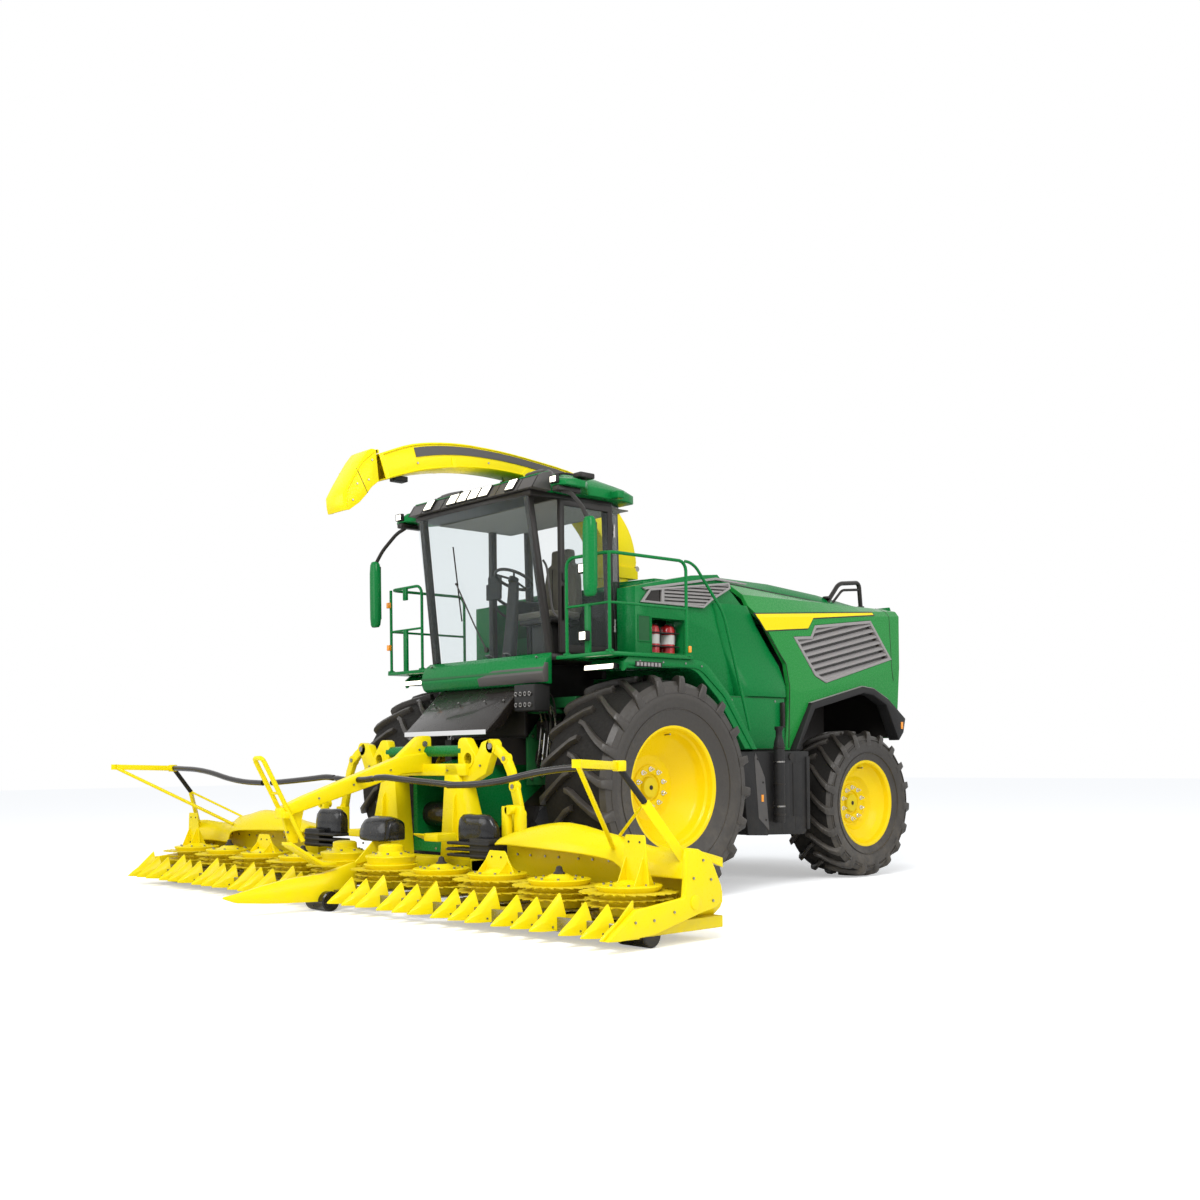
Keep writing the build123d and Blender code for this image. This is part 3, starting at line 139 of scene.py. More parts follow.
def clean(obj, recalc=True):
    bpy.ops.object.mode_set(mode="EDIT")
    bpy.ops.mesh.select_all(action="SELECT")
    bpy.ops.mesh.remove_doubles(threshold=0.0002)
    if recalc:
        bpy.ops.mesh.normals_make_consistent(inside=False)
    bpy.ops.object.mode_set(mode="OBJECT")
    return settle(obj)


def slab(points, thick):
    """Flat outline of 3-D points pushed along the vector thick."""
    obj = line(points)
    bpy.ops.mesh.edge_face_add()
    bpy.ops.mesh.extrude_region_move(TRANSFORM_OT_translate={"value": thick})
    return clean(obj)


def slab_x(outline, x0, x1):
    return slab([at((x0, y, z)) for y, z in outline], (x1 - x0, 0, 0))


def slab_y(outline, y0, y1):
    return slab([at((x, y0, z)) for x, z in outline], (0, y1 - y0, 0))


def slab_z(outline, z0, z1):
    return slab([at((x, y, z0)) for x, y in outline], (0, 0, z1 - z0))


def box(x0, x1, y0, y1, z0, z1):
    clear_selection()
    bpy.ops.mesh.primitive_cube_add(size=1, location=at(((x0 + x1) / 2, (y0 + y1) / 2, (z0 + z1) / 2)),
                                    scale=(x1 - x0, y1 - y0, z1 - z0))
    return settle(bpy.context.object)


def drum(a, b, radius, sides=24, tip=None):
    """Cylinder, or cone where tip is given, from a to b."""
    start, end = Vector(at(a)), Vector(at(b))
    axis = end - start
    turn = axis.to_track_quat("Z", "Y").to_euler()
    clear_selection()
    bpy.ops.mesh.primitive_cone_add(vertices=sides, radius1=radius, radius2=radius if tip is None else tip,
                                    depth=axis.length, location=(start + end) / 2, rotation=turn)
    return settle(bpy.context.object)


def turned(profile, centre, steps, axis="X"):
    """Solid of revolution from (along, radius) points about an axis through centre."""
    c = Vector(at(centre))
    if axis == "X":
        points = [(c.x + u, c.y, c.z + r) for u, r in profile]
        direction = (1, 0, 0)
    else:
        points = [(c.x + r, c.y, c.z + u) for u, r in profile]
        direction = (0, 0, 1)
    obj = line(points)
    bpy.ops.mesh.spin(steps=steps, angle=2 * PI, center=c, axis=direction, use_auto_merge=True)
    return clean(obj)


def tube(points, radius, bend=0.0, sides=3, caps=True):
    """Round bar along a chain; sides is the bevel resolution."""
    obj = line([at(p) for p in points])
    if bend and len(points) > 2:
        bpy.ops.mesh.select_all(action="DESELECT")
        bpy.ops.object.mode_set(mode="OBJECT")
        for vert in obj.data.vertices[1:-1]:
            vert.select = True
        bpy.ops.object.mode_set(mode="EDIT")
        bpy.ops.mesh.bevel(offset=bend, segments=4, affect="VERTICES")
    choose(obj)
    bpy.ops.object.convert(target="CURVE")
    obj = bpy.context.object
    obj.data.bevel_depth = radius
    obj.data.bevel_resolution = sides
    obj.data.use_fill_caps = caps
    bpy.ops.object.convert(target="MESH")
    return clean(bpy.context.object)


def joined(pieces, name):
    clear_selection()
    for piece in pieces:
        piece.select_set(True)
    bpy.context.view_layer.objects.active = pieces[0]
    if len(pieces) > 1:
        bpy.ops.object.join()
    return settle(bpy.context.object, name)


def copied(obj, name=None):
    choose(obj)
    bpy.ops.object.duplicate(linked=False)
    twin = bpy.context.object
    if name:
        twin.name = name
        twin.data.name = name
    return twin


def moved(obj, by):
    choose(obj)
    bpy.ops.transform.translate(value=by)
    return settle(obj)


def mirrored(obj, name=None):
    """The piece's twin on the machine's other side."""
    twin = copied(obj, name)
    choose(twin)
    bpy.ops.object.mode_set(mode="EDIT")
    bpy.ops.mesh.select_all(action="SELECT")
    bpy.ops.transform.mirror(constraint_axis=(True, False, False), center_override=(0, 0, 0))
    bpy.ops.mesh.normals_make_consistent(inside=False)
    bpy.ops.object.mode_set(mode="OBJECT")
    return settle(twin)


def spun_copies(obj, count, centre, axis):
    """The piece and its copies set evenly round an axis, as one mesh."""
    pieces = [obj]
    for k in range(1, count):
        twin = copied(obj)
        choose(twin)
        bpy.ops.object.mode_set(mode="EDIT")
        bpy.ops.mesh.select_all(action="SELECT")
        bpy.ops.transform.rotate(value=2 * PI * k / count, orient_axis=axis, center_override=at(centre))
        bpy.ops.object.mode_set(mode="OBJECT")
        pieces.append(twin)
    return pieces


def rounded(obj, width, segments=2, angle=35):
    choose(obj)
    mod = obj.modifiers.new("edge", "BEVEL")
    mod.width = width
    mod.segments = segments
    mod.limit_method = "ANGLE"
    mod.angle_limit = math.radians(angle)
    bpy.ops.object.modifier_apply(modifier=mod.name)
    return obj


def smooth(obj, angle=35):
    choose(obj)
    bpy.ops.object.shade_smooth_by_angle(angle=math.radians(angle))
    return obj


def dress(obj, name, material, body, nodes=(), angle=35):
    """Names, colours and hangs a finished piece on its body."""
    settle(obj, name)
    smooth(obj, angle)
    if material is not None:
        obj.data.materials.clear()
        obj.data.materials.append(material)
    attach(obj, body)
    if nodes:
        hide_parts(*nodes)
    return obj


def give(obj, material):
    obj.data.materials.clear()
    obj.data.materials.append(material)
    return obj


# ---------------------------------------------------------------- shader groups
def group(name, inputs, outputs):
    tree = bpy.data.node_groups.new(name, "ShaderNodeTree")
    for label, kind, value in inputs:
        socket = tree.interface.new_socket(name=label, in_out="INPUT", socket_type=kind)
        if value is not None:
            socket.default_value = value
    for label, kind in outputs:
        tree.interface.new_socket(name=label, in_out="OUTPUT", socket_type=kind)
    return tree, tree.nodes.new("NodeGroupInput"), tree.nodes.new("NodeGroupOutput")


def node(tree, kind, **settings):
    made = tree.nodes.new(kind)
    for key, value in settings.items():
        setattr(made, key, value)
    return made


def dust_group():
    """Mask of field dust: thickest low down, broken up by noise."""
    tree, start, end = group("settled_dust", [("Place", "NodeSocketVector", None), ("Top", "NodeSocketFloat", 1.2),
                                              ("Amount", "NodeSocketFloat", 0.5)], [("Mask", "NodeSocketFloat")])
    split = node(tree, "ShaderNodeSeparateXYZ")
    low = node(tree, "ShaderNodeMapRange")
    low.inputs["To Min"].default_value = 1.0
    low.inputs["To Max"].default_value = 0.0
    noise = node(tree, "ShaderNodeTexNoise")
    noise.inputs["Scale"].default_value = 7.0
    noise.inputs["Detail"].default_value = 8.0
    noise.inputs["Roughness"].default_value = 0.65
    ramp = node(tree, "ShaderNodeMapRange")
    ramp.inputs["From Min"].default_value = 0.42
    ramp.inputs["From Max"].default_value = 0.72
    mix = node(tree, "ShaderNodeMath", operation="MULTIPLY")
    scaled = node(tree, "ShaderNodeMath", operation="MULTIPLY", use_clamp=True)
    link = tree.links.new
    link(start.outputs["Place"], split.inputs[0])
    link(start.outputs["Place"], noise.inputs["Vector"])
    link(split.outputs["Z"], low.inputs["Value"])
    link(start.outputs["Top"], low.inputs["From Max"])
    link(noise.outputs["Fac"], ramp.inputs["Value"])
    link(low.outputs[0], mix.inputs[0])
    link(ramp.outputs[0], mix.inputs[1])
    link(mix.outputs[0], scaled.inputs[0])
    link(start.outputs["Amount"], scaled.inputs[1])
    link(scaled.outputs[0], end.inputs["Mask"])
    return tree


def grain_group():
    """Fine unevenness: a normal, and a value to vary the roughness with."""
    tree, start, end = group("fine_grain", [("Place", "NodeSocketVector", None), ("Scale", "NodeSocketFloat", 60.0),
                                            ("Depth", "NodeSocketFloat", 0.1)],
                             [("Value", "NodeSocketFloat"), ("Normal", "NodeSocketVector")])
    noise = node(tree, "ShaderNodeTexNoise")
    noise.inputs["Detail"].default_value = 5.0
    bump = node(tree, "ShaderNodeBump")
    bump.inputs["Distance"].default_value = 0.004
    link = tree.links.new
    link(start.outputs["Place"], noise.inputs["Vector"])
    link(start.outputs["Scale"], noise.inputs["Scale"])
    link(noise.outputs["Fac"], bump.inputs["Height"])
    link(start.outputs["Depth"], bump.inputs["Strength"])
    link(noise.outputs["Fac"], end.inputs["Value"])
    link(bump.outputs[0], end.inputs["Normal"])
    return tree


DUST = dust_group()
GRAIN = grain_group()
DUST_COLOUR = (0.30, 0.25, 0.18, 1)


def finish(name, colour, rough=0.4, metal=0.0, coat=0.0, dust=0.0, top=1.2, grain=60.0, depth=0.08, vary=0.12,
           glow=0.0, sheen=0.0, shine=0.22):
    """One procedural material: base colour under dust, grain in the roughness and the normal."""
    mat = bpy.data.materials.new(name)
    mat.use_nodes = True
    tree = mat.node_tree
    tree.nodes.clear()
    out = node(tree, "ShaderNodeOutputMaterial")
    shader = node(tree, "ShaderNodeBsdfPrincipled")
    place = node(tree, "ShaderNodeTexCoord")
    grains = node(tree, "ShaderNodeGroup", node_tree=GRAIN)
    grains.inputs["Scale"].default_value = grain
    grains.inputs["Depth"].default_value = depth
    rough_range = node(tree, "ShaderNodeMapRange")
    rough_range.inputs["From Min"].default_value = 0.3
    rough_range.inputs["From Max"].default_value = 0.7
    rough_range.inputs["To Min"].default_value = max(rough - vary, 0.02)
    rough_range.inputs["To Max"].default_value = rough + vary
    link = tree.links.new
    link(place.outputs["Object"], grains.inputs["Place"])
    link(grains.outputs["Value"], rough_range.inputs["Value"])
    link(grains.outputs["Normal"], shader.inputs["Normal"])
    if dust:
        dusty = node(tree, "ShaderNodeGroup", node_tree=DUST)
        dusty.inputs["Amount"].default_value = dust
        dusty.inputs["Top"].default_value = top
        mix = node(tree, "ShaderNodeMix", data_type="RGBA")
        mix.inputs[6].default_value = (*colour, 1)
        mix.inputs[7].default_value = DUST_COLOUR
        dull = node(tree, "ShaderNodeMix", data_type="FLOAT")
        dull.inputs[3].default_value = 0.85
        link(place.outputs["Object"], dusty.inputs["Place"])
        link(dusty.outputs["Mask"], mix.inputs[0])
        link(dusty.outputs["Mask"], dull.inputs[0])
        link(rough_range.outputs[0], dull.inputs[2])
        link(mix.outputs[2], shader.inputs["Base Color"])
        link(dull.outputs[0], shader.inputs["Roughness"])
    else:
        shader.inputs["Base Color"].default_value = (*colour, 1)
        link(rough_range.outputs[0], shader.inputs["Roughness"])
    shader.inputs["Metallic"].default_value = metal
    shader.inputs["Coat Weight"].default_value = coat
    shader.inputs["Coat Roughness"].default_value = 0.06
    shader.inputs["Specular IOR Level"].default_value = shine
    shader.inputs["Sheen Weight"].default_value = sheen
    if glow:
        shader.inputs["Emission Color"].default_value = (1.0, 0.93, 0.75, 1)
        shader.inputs["Emission Strength"].default_value = glow
    link(shader.outputs[0], out.inputs["Surface"])
    return mat


def glass(name, tint, clear=0.86):
    """Thin pane: tinted, mirror-like at a slant, mostly see-through."""
    mat = bpy.data.materials.new(name)
    mat.use_nodes = True
    tree = mat.node_tree
    tree.nodes.clear()
    out = node(tree, "ShaderNodeOutputMaterial")
    through = node(tree, "ShaderNodeBsdfTransparent")
    through.inputs["Color"].default_value = (*tint, 1)
    mirror = node(tree, "ShaderNodeBsdfPrincipled")
    mirror.inputs["Base Color"].default_value = (tint[0] * 0.25, tint[1] * 0.28, tint[2] * 0.27, 1)
    mirror.inputs["Coat Weight"].default_value = 1.0
    slant = node(tree, "ShaderNodeLayerWeight")
    slant.inputs["Blend"].default_value = 0.12
    place = node(tree, "ShaderNodeTexCoord")
    grains = node(tree, "ShaderNodeGroup", node_tree=GRAIN)
    grains.inputs["Scale"].default_value = 3.0
    reach = node(tree, "ShaderNodeMapRange")
    reach.inputs["To Min"].default_value = 1 - clear
    reach.inputs["To Max"].default_value = 0.35
    rough = node(tree, "ShaderNodeMapRange")
    rough.inputs["To Min"].default_value = 0.02
    rough.inputs["To Max"].default_value = 0.10
    mix = node(tree, "ShaderNodeMixShader")
    link = tree.links.new
    link(place.outputs["Object"], grains.inputs["Place"])
    link(grains.outputs["Value"], rough.inputs["Value"])
    link(rough.outputs[0], mirror.inputs["Roughness"])
    link(slant.outputs["Facing"], reach.inputs["Value"])
    link(reach.outputs[0], mix.inputs["Fac"])
    link(through.outputs[0], mix.inputs[1])
    link(mirror.outputs[0], mix.inputs[2])
    link(mix.outputs[0], out.inputs["Surface"])
    return mat


GREEN = finish("green_paint", (0.004, 0.170, 0.038), 0.28, coat=0.06, dust=0.05, top=1.7, depth=0.03, shine=0.11)
# Darker copy of the green paint for green parts in shade: painted shade under the cab, behind the front wheels, in the
# recess on the side body and along a strip on the nose.
GREEN_PAINTED_SHADE = finish("green_painted_shade", (0.010, 0.095, 0.026), 0.42, coat=0.1, dust=0.2, top=1.6, depth=0.06)
YELLOW = finish("yellow_paint", (0.86, 0.69, 0.003), 0.34, coat=0.08, dust=0.08, top=0.9, depth=0.05, shine=0.13)
YELLOW_RIM = finish("yellow_rim", (0.87, 0.625, 0.003), 0.34, coat=0.10, dust=0.08, top=0.9, depth=0.05, shine=0.15)
YELLOW_WORN = finish("yellow_worn", (0.74, 0.58, 0.006), 0.45, coat=0.1, dust=0.35, top=0.7, depth=0.1)
RUBBER = finish("tyre_rubber", (0.036, 0.031, 0.026), 0.46, coat=0.10, dust=0.22, top=1.3, grain=34.0, depth=0.30, shine=0.42)
# Darker copy of the tyre rubber for the tread floor between the lugs: painted shade.
RUBBER_PAINTED_SHADE = finish("tyre_rubber_painted_shade", (0.010, 0.0088, 0.0076), 0.7, dust=0.12, top=1.0, grain=34.0, depth=0.35)
DARK = finish("dark_frame", (0.020, 0.0175, 0.016), 0.42, coat=0.06, dust=0.15, depth=0.12)
PLASTIC = finish("dark_plastic", (0.016, 0.0155, 0.0155), 0.50, dust=0.10, grain=240.0, depth=0.2)
GREY = finish("grey_louvre", (0.085, 0.080, 0.077), 0.42, dust=0.1, top=2.4, grain=120.0)
RED = finish("red_paint", (0.45, 0.012, 0.016), 0.25, coat=0.4)
STEEL = finish("worn_steel", (0.30, 0.29, 0.28), 0.33, metal=1.0, grain=90.0, depth=0.15, vary=0.16)
BLACK_STEEL = finish("black_steel", (0.016, 0.013, 0.011), 0.20, metal=0.2, coat=0.35, grain=12.0, depth=0.03)
CHROME = finish("bright_chrome", (0.80, 0.80, 0.80), 0.08, metal=1.0, vary=0.03)
VINYL = finish("bag_vinyl", (0.010, 0.010, 0.011), 0.24, coat=0.3, grain=16.0, depth=0.7)
CLOTH = finish("seat_cloth", (0.12, 0.108, 0.078), 0.85, grain=400.0, depth=0.4, sheen=0.4)
LAMP = finish("lamp_lens", (0.96, 0.95, 0.90), 0.10, coat=1.0, glow=2.5)
AMBER = finish("amber_lens", (0.95, 0.33, 0.02), 0.15, coat=0.6)
GLASS = glass("tinted_glass", (0.968, 0.985, 0.990), 0.98)
LOUVRE = finish("pale_louvre", (0.30, 0.283, 0.275), 0.42, dust=0.05, top=2.4, grain=120.0)
# Lighter, yellower copy of the green paint for the side covers: painted light for the brighter look the covers have
# where light falls on them.
GREEN_COVER_PAINTED_LIGHT = finish("green_cover_painted_light", (0.016, 0.235, 0.042), 0.26, coat=0.12, dust=0.04, top=1.7, depth=0.03, shine=0.16)
PALE = finish("pale_plastic", (0.55, 0.53, 0.50), 0.45)
MIRROR = finish("mirror_face", (0.75, 0.78, 0.78), 0.04, metal=1.0, vary=0.02)

SLOTS = {"green_paint": GREEN, "yellow_paint": YELLOW, "tyre_rubber": RUBBER, "dark_frame": DARK,
         "dark_plastic": PLASTIC, "grey_louvre": GREY, "tinted_glass": GLASS, "lamp_lens": LAMP, "red_paint": RED,
         "bare_steel": BLACK_STEEL}
SLOT_OF = {part["node"]: part["material_slot"] for part in frame["record"]["subparts"]}
for name, obj in frame["nodes"].items():
    give(obj, SLOTS[SLOT_OF[name]])

SIDES = (("left", 1), ("right", -1))


# ---------------------------------------------------------------- tyres and rims
# end: axle y, outer radius, width, middle x, bead radius, dish depth, lugs a side
WHEELS = {"front": (0.0, 1.03, 0.80, 1.445, 0.545, 0.300, 20), "rear": (3.32, 0.79, 0.60, 1.25, 0.445, 0.190, 19)}


def tyre(end):
    axle_y, radius, wide, middle, bead, dish, lugs = WHEELS[end]
    half, centre = wide / 2, (middle, axle_y, radius)
    tread = radius * 0.945
    wall = (radius + bead) / 2
    profile = [(0.79, bead), (0.83, bead + 0.012), (0.85, bead + 0.05), (0.94, wall - 0.06), (0.985, wall),
               (0.99, wall + 0.04), (0.965, tread - 0.09), (0.955, tread - 0.055), (0.86, tread - 0.016),
               (0.6, tread), (0.0, tread + 0.004)]
    profile = [(u * half, r) for u, r in profile]
    profile += [(-u, r) for u, r in reversed(profile[:-1])]
    ring = give(turned(profile, centre, 96), RUBBER)
    ring.data.materials.append(RUBBER_PAINTED_SHADE)
    # Faces of the tread floor between the lugs take the darker rubber: painted shade.
    for face in ring.data.polygons:
        if math.hypot(face.center.y - at(centre)[1], face.center.z - radius) > tread - 0.012:
            face.material_index = 1
    pieces = [ring]
    for u, r in ((0.93, wall - 0.075), (0.97, wall + 0.065)):
        for sign in (1, -1):
            x = sign * u * half
            rib = [(x - 0.006, r - 0.006), (x - 0.006, r + 0.006), (x + 0.007 * sign, r + 0.002),
                    (x + 0.007 * sign, r - 0.002)]
            pieces.append(give(turned(rib + rib[:1], centre, 96), RUBBER))
    # share of the half width, turn behind the middle (m along the tread), thickness, crown radius
    stations = [(-0.07, 0.00, 0.052, radius), (0.12, 0.030, 0.054, radius), (0.40, 0.118, 0.058, radius - 0.001),
                (0.70, 0.205, 0.066, radius - 0.005), (0.92, 0.258, 0.078, radius - 0.020),
                (0.985, 0.270, 0.088, radius - 0.046), (1.0, 0.274, 0.080, radius - 0.115)]
    foot = tread - 0.02
    lug_steps = []
    for share, behind, thick, crown in stations:
        angle, spread = behind / radius, thick / 2 / radius
        low = foot if share < 0.9 else foot - (share - 0.86) * 0.75
        lug_steps.append([(middle + share * half * 0.995, axle_y - r * math.sin(angle + s * w * spread),
                           radius + r * math.cos(angle + s * w * spread))
                          for r, s, w in ((low, -1, 1.35), (low, 1, 1.35), (crown, 1, 0.8), (crown, -1, 0.8))])
    lug = give(rounded(loft(lug_steps), 0.006, 2, 30), RUBBER)
    centred = moved(copied(lug), (-middle, 0, 0))
    other = moved(mirrored(centred), (middle, 0, 0))
    bpy.data.objects.remove(centred)
    choose(other)
    bpy.ops.object.mode_set(mode="EDIT")
    bpy.ops.mesh.select_all(action="SELECT")
    bpy.ops.transform.rotate(value=PI / lugs, orient_axis="X", center_override=at(centre))
    bpy.ops.object.mode_set(mode="OBJECT")
    pieces += spun_copies(joined([lug, settle(other)], "lug_pair"), lugs, centre, "X")
    return joined(pieces, f"{end}_tyre_shape")


def rim(end):
    axle_y, radius, wide, middle, bead, dish, lugs = WHEELS[end]
    seat, centre = wide / 2 * 0.79, (middle, axle_y, radius)
    face, foot = seat - dish, bead * 0.54
    inner = -0.33 if end == "front" else -0.23
    profile = [(inner, 0.0), (inner, 0.19), (face - 0.04, 0.19), (face - 0.024, foot), (face + dish * 0.3, bead - 0.076),
               (-seat + 0.03, bead - 0.046), (-seat - 0.01, bead - 0.012), (-seat - 0.018, bead + 0.018),
               (-seat - 0.010, bead + 0.022), (-seat, bead), (seat, bead), (seat + 0.004, bead + 0.018),
               (seat + 0.010, bead + 0.022), (seat + 0.017, bead + 0.016), (seat + 0.014, bead - 0.004),
               (seat, bead - 0.016), (seat - 0.05, bead - 0.024), (seat - 0.07, bead - 0.040),
               (seat - dish * 0.45, bead - 0.052), (seat - dish * 0.55, bead - 0.070), (face + 0.05, foot + 0.05),
               (face + 0.012, foot + 0.02), (face, foot), (face, 0.216), (face + 0.006, 0.210), (face + 0.014, 0.206),
               (face + 0.014, 0.134), (face + 0.008, 0.128), (face - 0.004, 0.124), (face - 0.006, 0.0)]
    shell = give(smooth(turned(profile, centre, 96), 28), YELLOW_RIM)
    parts = [shell]
    x = middle + face + 0.013
    stud = drum((x, axle_y, radius + 0.17), (x + 0.012, axle_y, radius + 0.17), 0.024, 20)
    nut = drum((x + 0.010, axle_y, radius + 0.17), (x + 0.034, axle_y, radius + 0.17), 0.017, 6)
    end_cap = drum((x + 0.034, axle_y, radius + 0.17), (x + 0.052, axle_y, radius + 0.17), 0.010, 12, 0.007)
    bolt = give(rounded(joined([stud, nut, end_cap], "wheel_stud"), 0.0015, 1), CHROME)
    parts += spun_copies(bolt, 10, centre, "X")
    cap = drum((middle + face - 0.006, axle_y, radius), (middle + face + 0.026, axle_y, radius), 0.105, 32, 0.092)
    parts.append(give(rounded(cap, 0.006), YELLOW_WORN))
    hole = drum((middle + face + 0.024, axle_y, radius), (middle + face + 0.029, axle_y, radius), 0.022, 16)
    parts.append(give(hole, DARK))
    valve = drum((middle + seat - 0.10, axle_y, radius + bead - 0.066), (middle + seat - 0.03, axle_y, radius + bead - 0.062),
                 0.008, 8)
    parts.append(give(valve, STEEL))
    return joined(parts, f"{end}_rim_shape")


for end in WHEELS:
    rubber = rim_shape = None
    for side, sign in SIDES:
        body = f"{end}_wheel_{side}"
        if sign > 0:
            rubber, rim_shape = tyre(end), rim(end)
            twins = mirrored(rubber), mirrored(rim_shape)
            mine = rubber, rim_shape
        else:
            mine = twins
        dress(mine[0], f"{end}_tyre_{side}_lugs", None, body, [f"{end}_tyre_{side}"])
        dress(mine[1], f"{end}_rim_{side}_dish", None, body, [f"{end}_rim_{side}"], 28)


# ---------------------------------------------------------------- rotors
PITCH, ROTOR_Y = 0.73, -2.12


def toothed(x, low, thick, tip, root, count, lean, blunt):
    """Flat toothed ring; blunt is the width of a tooth's tip as a share of one step."""
    step = 2 * PI / count
    points = []
    for k in range(count):
        for radius, share in ((root, 0.0), (tip, lean - blunt / 2), (tip, lean + blunt / 2), (root, 0.82)):
            turn = (k + share) * step
            points.append((x + radius * math.cos(turn), ROTOR_Y + radius * math.sin(turn)))
    return slab_z(points, low, low + thick)


def rotor_base():
    """The pieces that all rotors share, made round the first rotor on the left."""
    x = PITCH / 2
    centre = (x, ROTOR_Y, 0)
    body = turned([(0.198, 0.0), (0.198, 0.205), (0.25, 0.212), (0.33, 0.206), (0.37, 0.222), (0.388, 0.238),
                   (0.398, 0.241), (0.404, 0.236), (0.405, 0.20), (0.408, 0.13), (0.413, 0.11), (0.430, 0.08),
                   (0.438, 0.06), (0.440, 0.0)], centre, 64, "Z")
    parts = [give(smooth(body, 30), YELLOW)]
    knife = toothed(x, 0.190, 0.006, 0.333, 0.312, 30, 0.45, 0.06)
    parts.append(give(knife, STEEL))
    low_ring = rounded(toothed(x, 0.262, 0.009, 0.340, 0.272, 24, 0.62, 0.05), 0.0015, 1)
    parts.append(give(low_ring, YELLOW_WORN))
    mid_ring = toothed(x, 0.308, 0.006, 0.318, 0.262, 24, 0.3, 0.04)
    parts.append(give(mid_ring, YELLOW_WORN))
    high_ring = rounded(toothed(x, 0.352, 0.009, 0.357, 0.262, 30, 0.85, 0.05), 0.0015, 1)
    parts.append(give(high_ring, YELLOW_WORN))
    for radius, count, size in ((0.175, 8, 0.011), (0.09, 6, 0.009)):
        head = drum((x + radius, ROTOR_Y, 0.404), (x + radius, ROTOR_Y, 0.418), size, 6)
        parts += spun_copies(give(head, STEEL if size > 0.01 else YELLOW_WORN), count, centre, "Z")
    return joined(parts, "rotor_base")


def rotor_top(row):
    """What stands on each rotor's plate: dish, cone or paddle."""
    x = PITCH * (row + 0.5)
    centre = (x, ROTOR_Y, 0)
    if row == 0:
        dish = turned([(0.402, 0.0), (0.402, 0.205), (0.43, 0.214), (0.465, 0.226), (0.476, 0.222), (0.482, 0.19),
                       (0.498, 0.125), (0.51, 0.112), (0.555, 0.110), (0.568, 0.095), (0.575, 0.06), (0.575, 0.0)],
                      centre, 64, "Z")
        parts = [give(smooth(dish, 30), YELLOW)]
        bolt = drum((x + 0.155, ROTOR_Y, 0.484), (x + 0.155, ROTOR_Y, 0.503), 0.012, 6)
        parts += spun_copies(give(bolt, STEEL), 8, centre, "Z")
        return parts
    if row in (2, 4):
        shift, foot, top, high = {2: (0.0, 0.215, 0.095, 0.58), 4: (0.065, 0.137, 0.09, 0.76)}[row]
        outline = [(x + shift - foot, 0.398), (x + shift + foot, 0.398), (x + shift + top + 0.012, high - 0.012),
                   (x + shift + top, high), (x + shift - top + 0.01, high), (x + shift - top, high - 0.01)]
        plate = rounded(slab_y(outline, ROTOR_Y - 0.006, ROTOR_Y + 0.006), 0.002, 1)
        parts = [give(plate, YELLOW)]
        for bend in (-0.62, 0.62):
            brace = slab_x([(ROTOR_Y - 0.10, 0.402), (ROTOR_Y + 0.10, 0.402), (ROTOR_Y, 0.402 + (high - 0.4) * 0.6)],
                           x + shift + bend * foot - 0.004, x + shift + bend * foot + 0.004)
            parts.append(give(brace, YELLOW))
        for u, z in ((-top * 0.6, high - 0.05), (top * 0.6, high - 0.05), (foot * 0.55, 0.44)):
            for face in (-0.010, 0.006):
                rivet = drum((x + shift + u, ROTOR_Y + face, z), (x + shift + u, ROTOR_Y + face + 0.004, z), 0.008, 12)
                parts.append(give(rivet, DARK))
        return parts
    cone = turned([(0.43, 0.0), (0.43, 0.047), (0.446, 0.046), (0.452, 0.040), (0.458, 0.030), (0.49, 0.022),
                   (0.498, 0.012), (0.5, 0.0)], centre, 32, "Z")
    return [give(smooth(cone, 30), DARK)]


base = rotor_base()
for row in range(5):
    for side, sign in SIDES:
        piece = moved(copied(base), (PITCH * row, 0, 0))
        piece = joined([piece] + rotor_top(row), "rotor")
        if sign < 0:
            whole = piece
            piece = mirrored(whole)
            bpy.data.objects.remove(whole)
        name = f"rotor_{side}_{row + 1}"
        dress(piece, f"{name}_tines", None, name, [name], 30)
bpy.data.objects.remove(base)


# ---------------------------------------------------------------- more helpers
def cut(obj, tool, operation="DIFFERENCE"):
    """Takes the tool away from the piece, or keeps what both share; the tool is used up."""
    choose(obj)
    mod = obj.modifiers.new("cut", "BOOLEAN")
    mod.operation = operation
    mod.object = tool
    mod.solver = "EXACT"
    bpy.ops.object.modifier_apply(modifier=mod.name)
    bpy.data.objects.remove(tool)
    return obj


def bezel(points, wide, thick):
    """Flat frame just inside an outline of 3-D points, pushed along the vector thick."""
    obj = line([at(p) for p in points])
    bpy.ops.mesh.edge_face_add()
    bpy.ops.mesh.inset(thickness=wide, depth=0)
    bpy.ops.mesh.delete(type="FACE")
    bpy.ops.mesh.select_all(action="SELECT")
    bpy.ops.mesh.extrude_region_move(TRANSFORM_OT_translate={"value": thick})
    return clean(obj)


def bezel_x(outline, wide, x0, x1):
    return bezel([(x0, y, z) for y, z in outline], wide, (x1 - x0, 0, 0))


def pair(pieces, name, bodies, nodes=(), angle=35):
    """Hangs left-hand pieces as one, and their mirrored twin on the right."""
    whole = joined(pieces, name)
    twin = mirrored(whole)
    for piece, k in ((whole, 0), (twin, 1)):
        side = SIDES[k][0]
        dress(piece, f"{name}_{side}", None, bodies[k], [f"{node_name}_{side}" for node_name in nodes], angle)
    return whole, twin


def single(pieces, name, body, nodes=(), angle=35):
    return dress(joined(pieces, name), name, None, body, nodes, angle)


def between(table, y, column):
    """Reads a table of stations (first column y) between its rows."""
    for a, b in zip(table, table[1:]):
        if y <= b[0] or b is table[-1]:
            return a[column] + (b[column] - a[column]) * (y - a[0]) / (b[0] - a[0])


CHASSIS = ("chassis", "chassis")
COVERS = ("cover_left", "cover_right")
HALF = 1.30                 # widest body side
ROOF_LOW = 3.7503           # underside of the cab roof

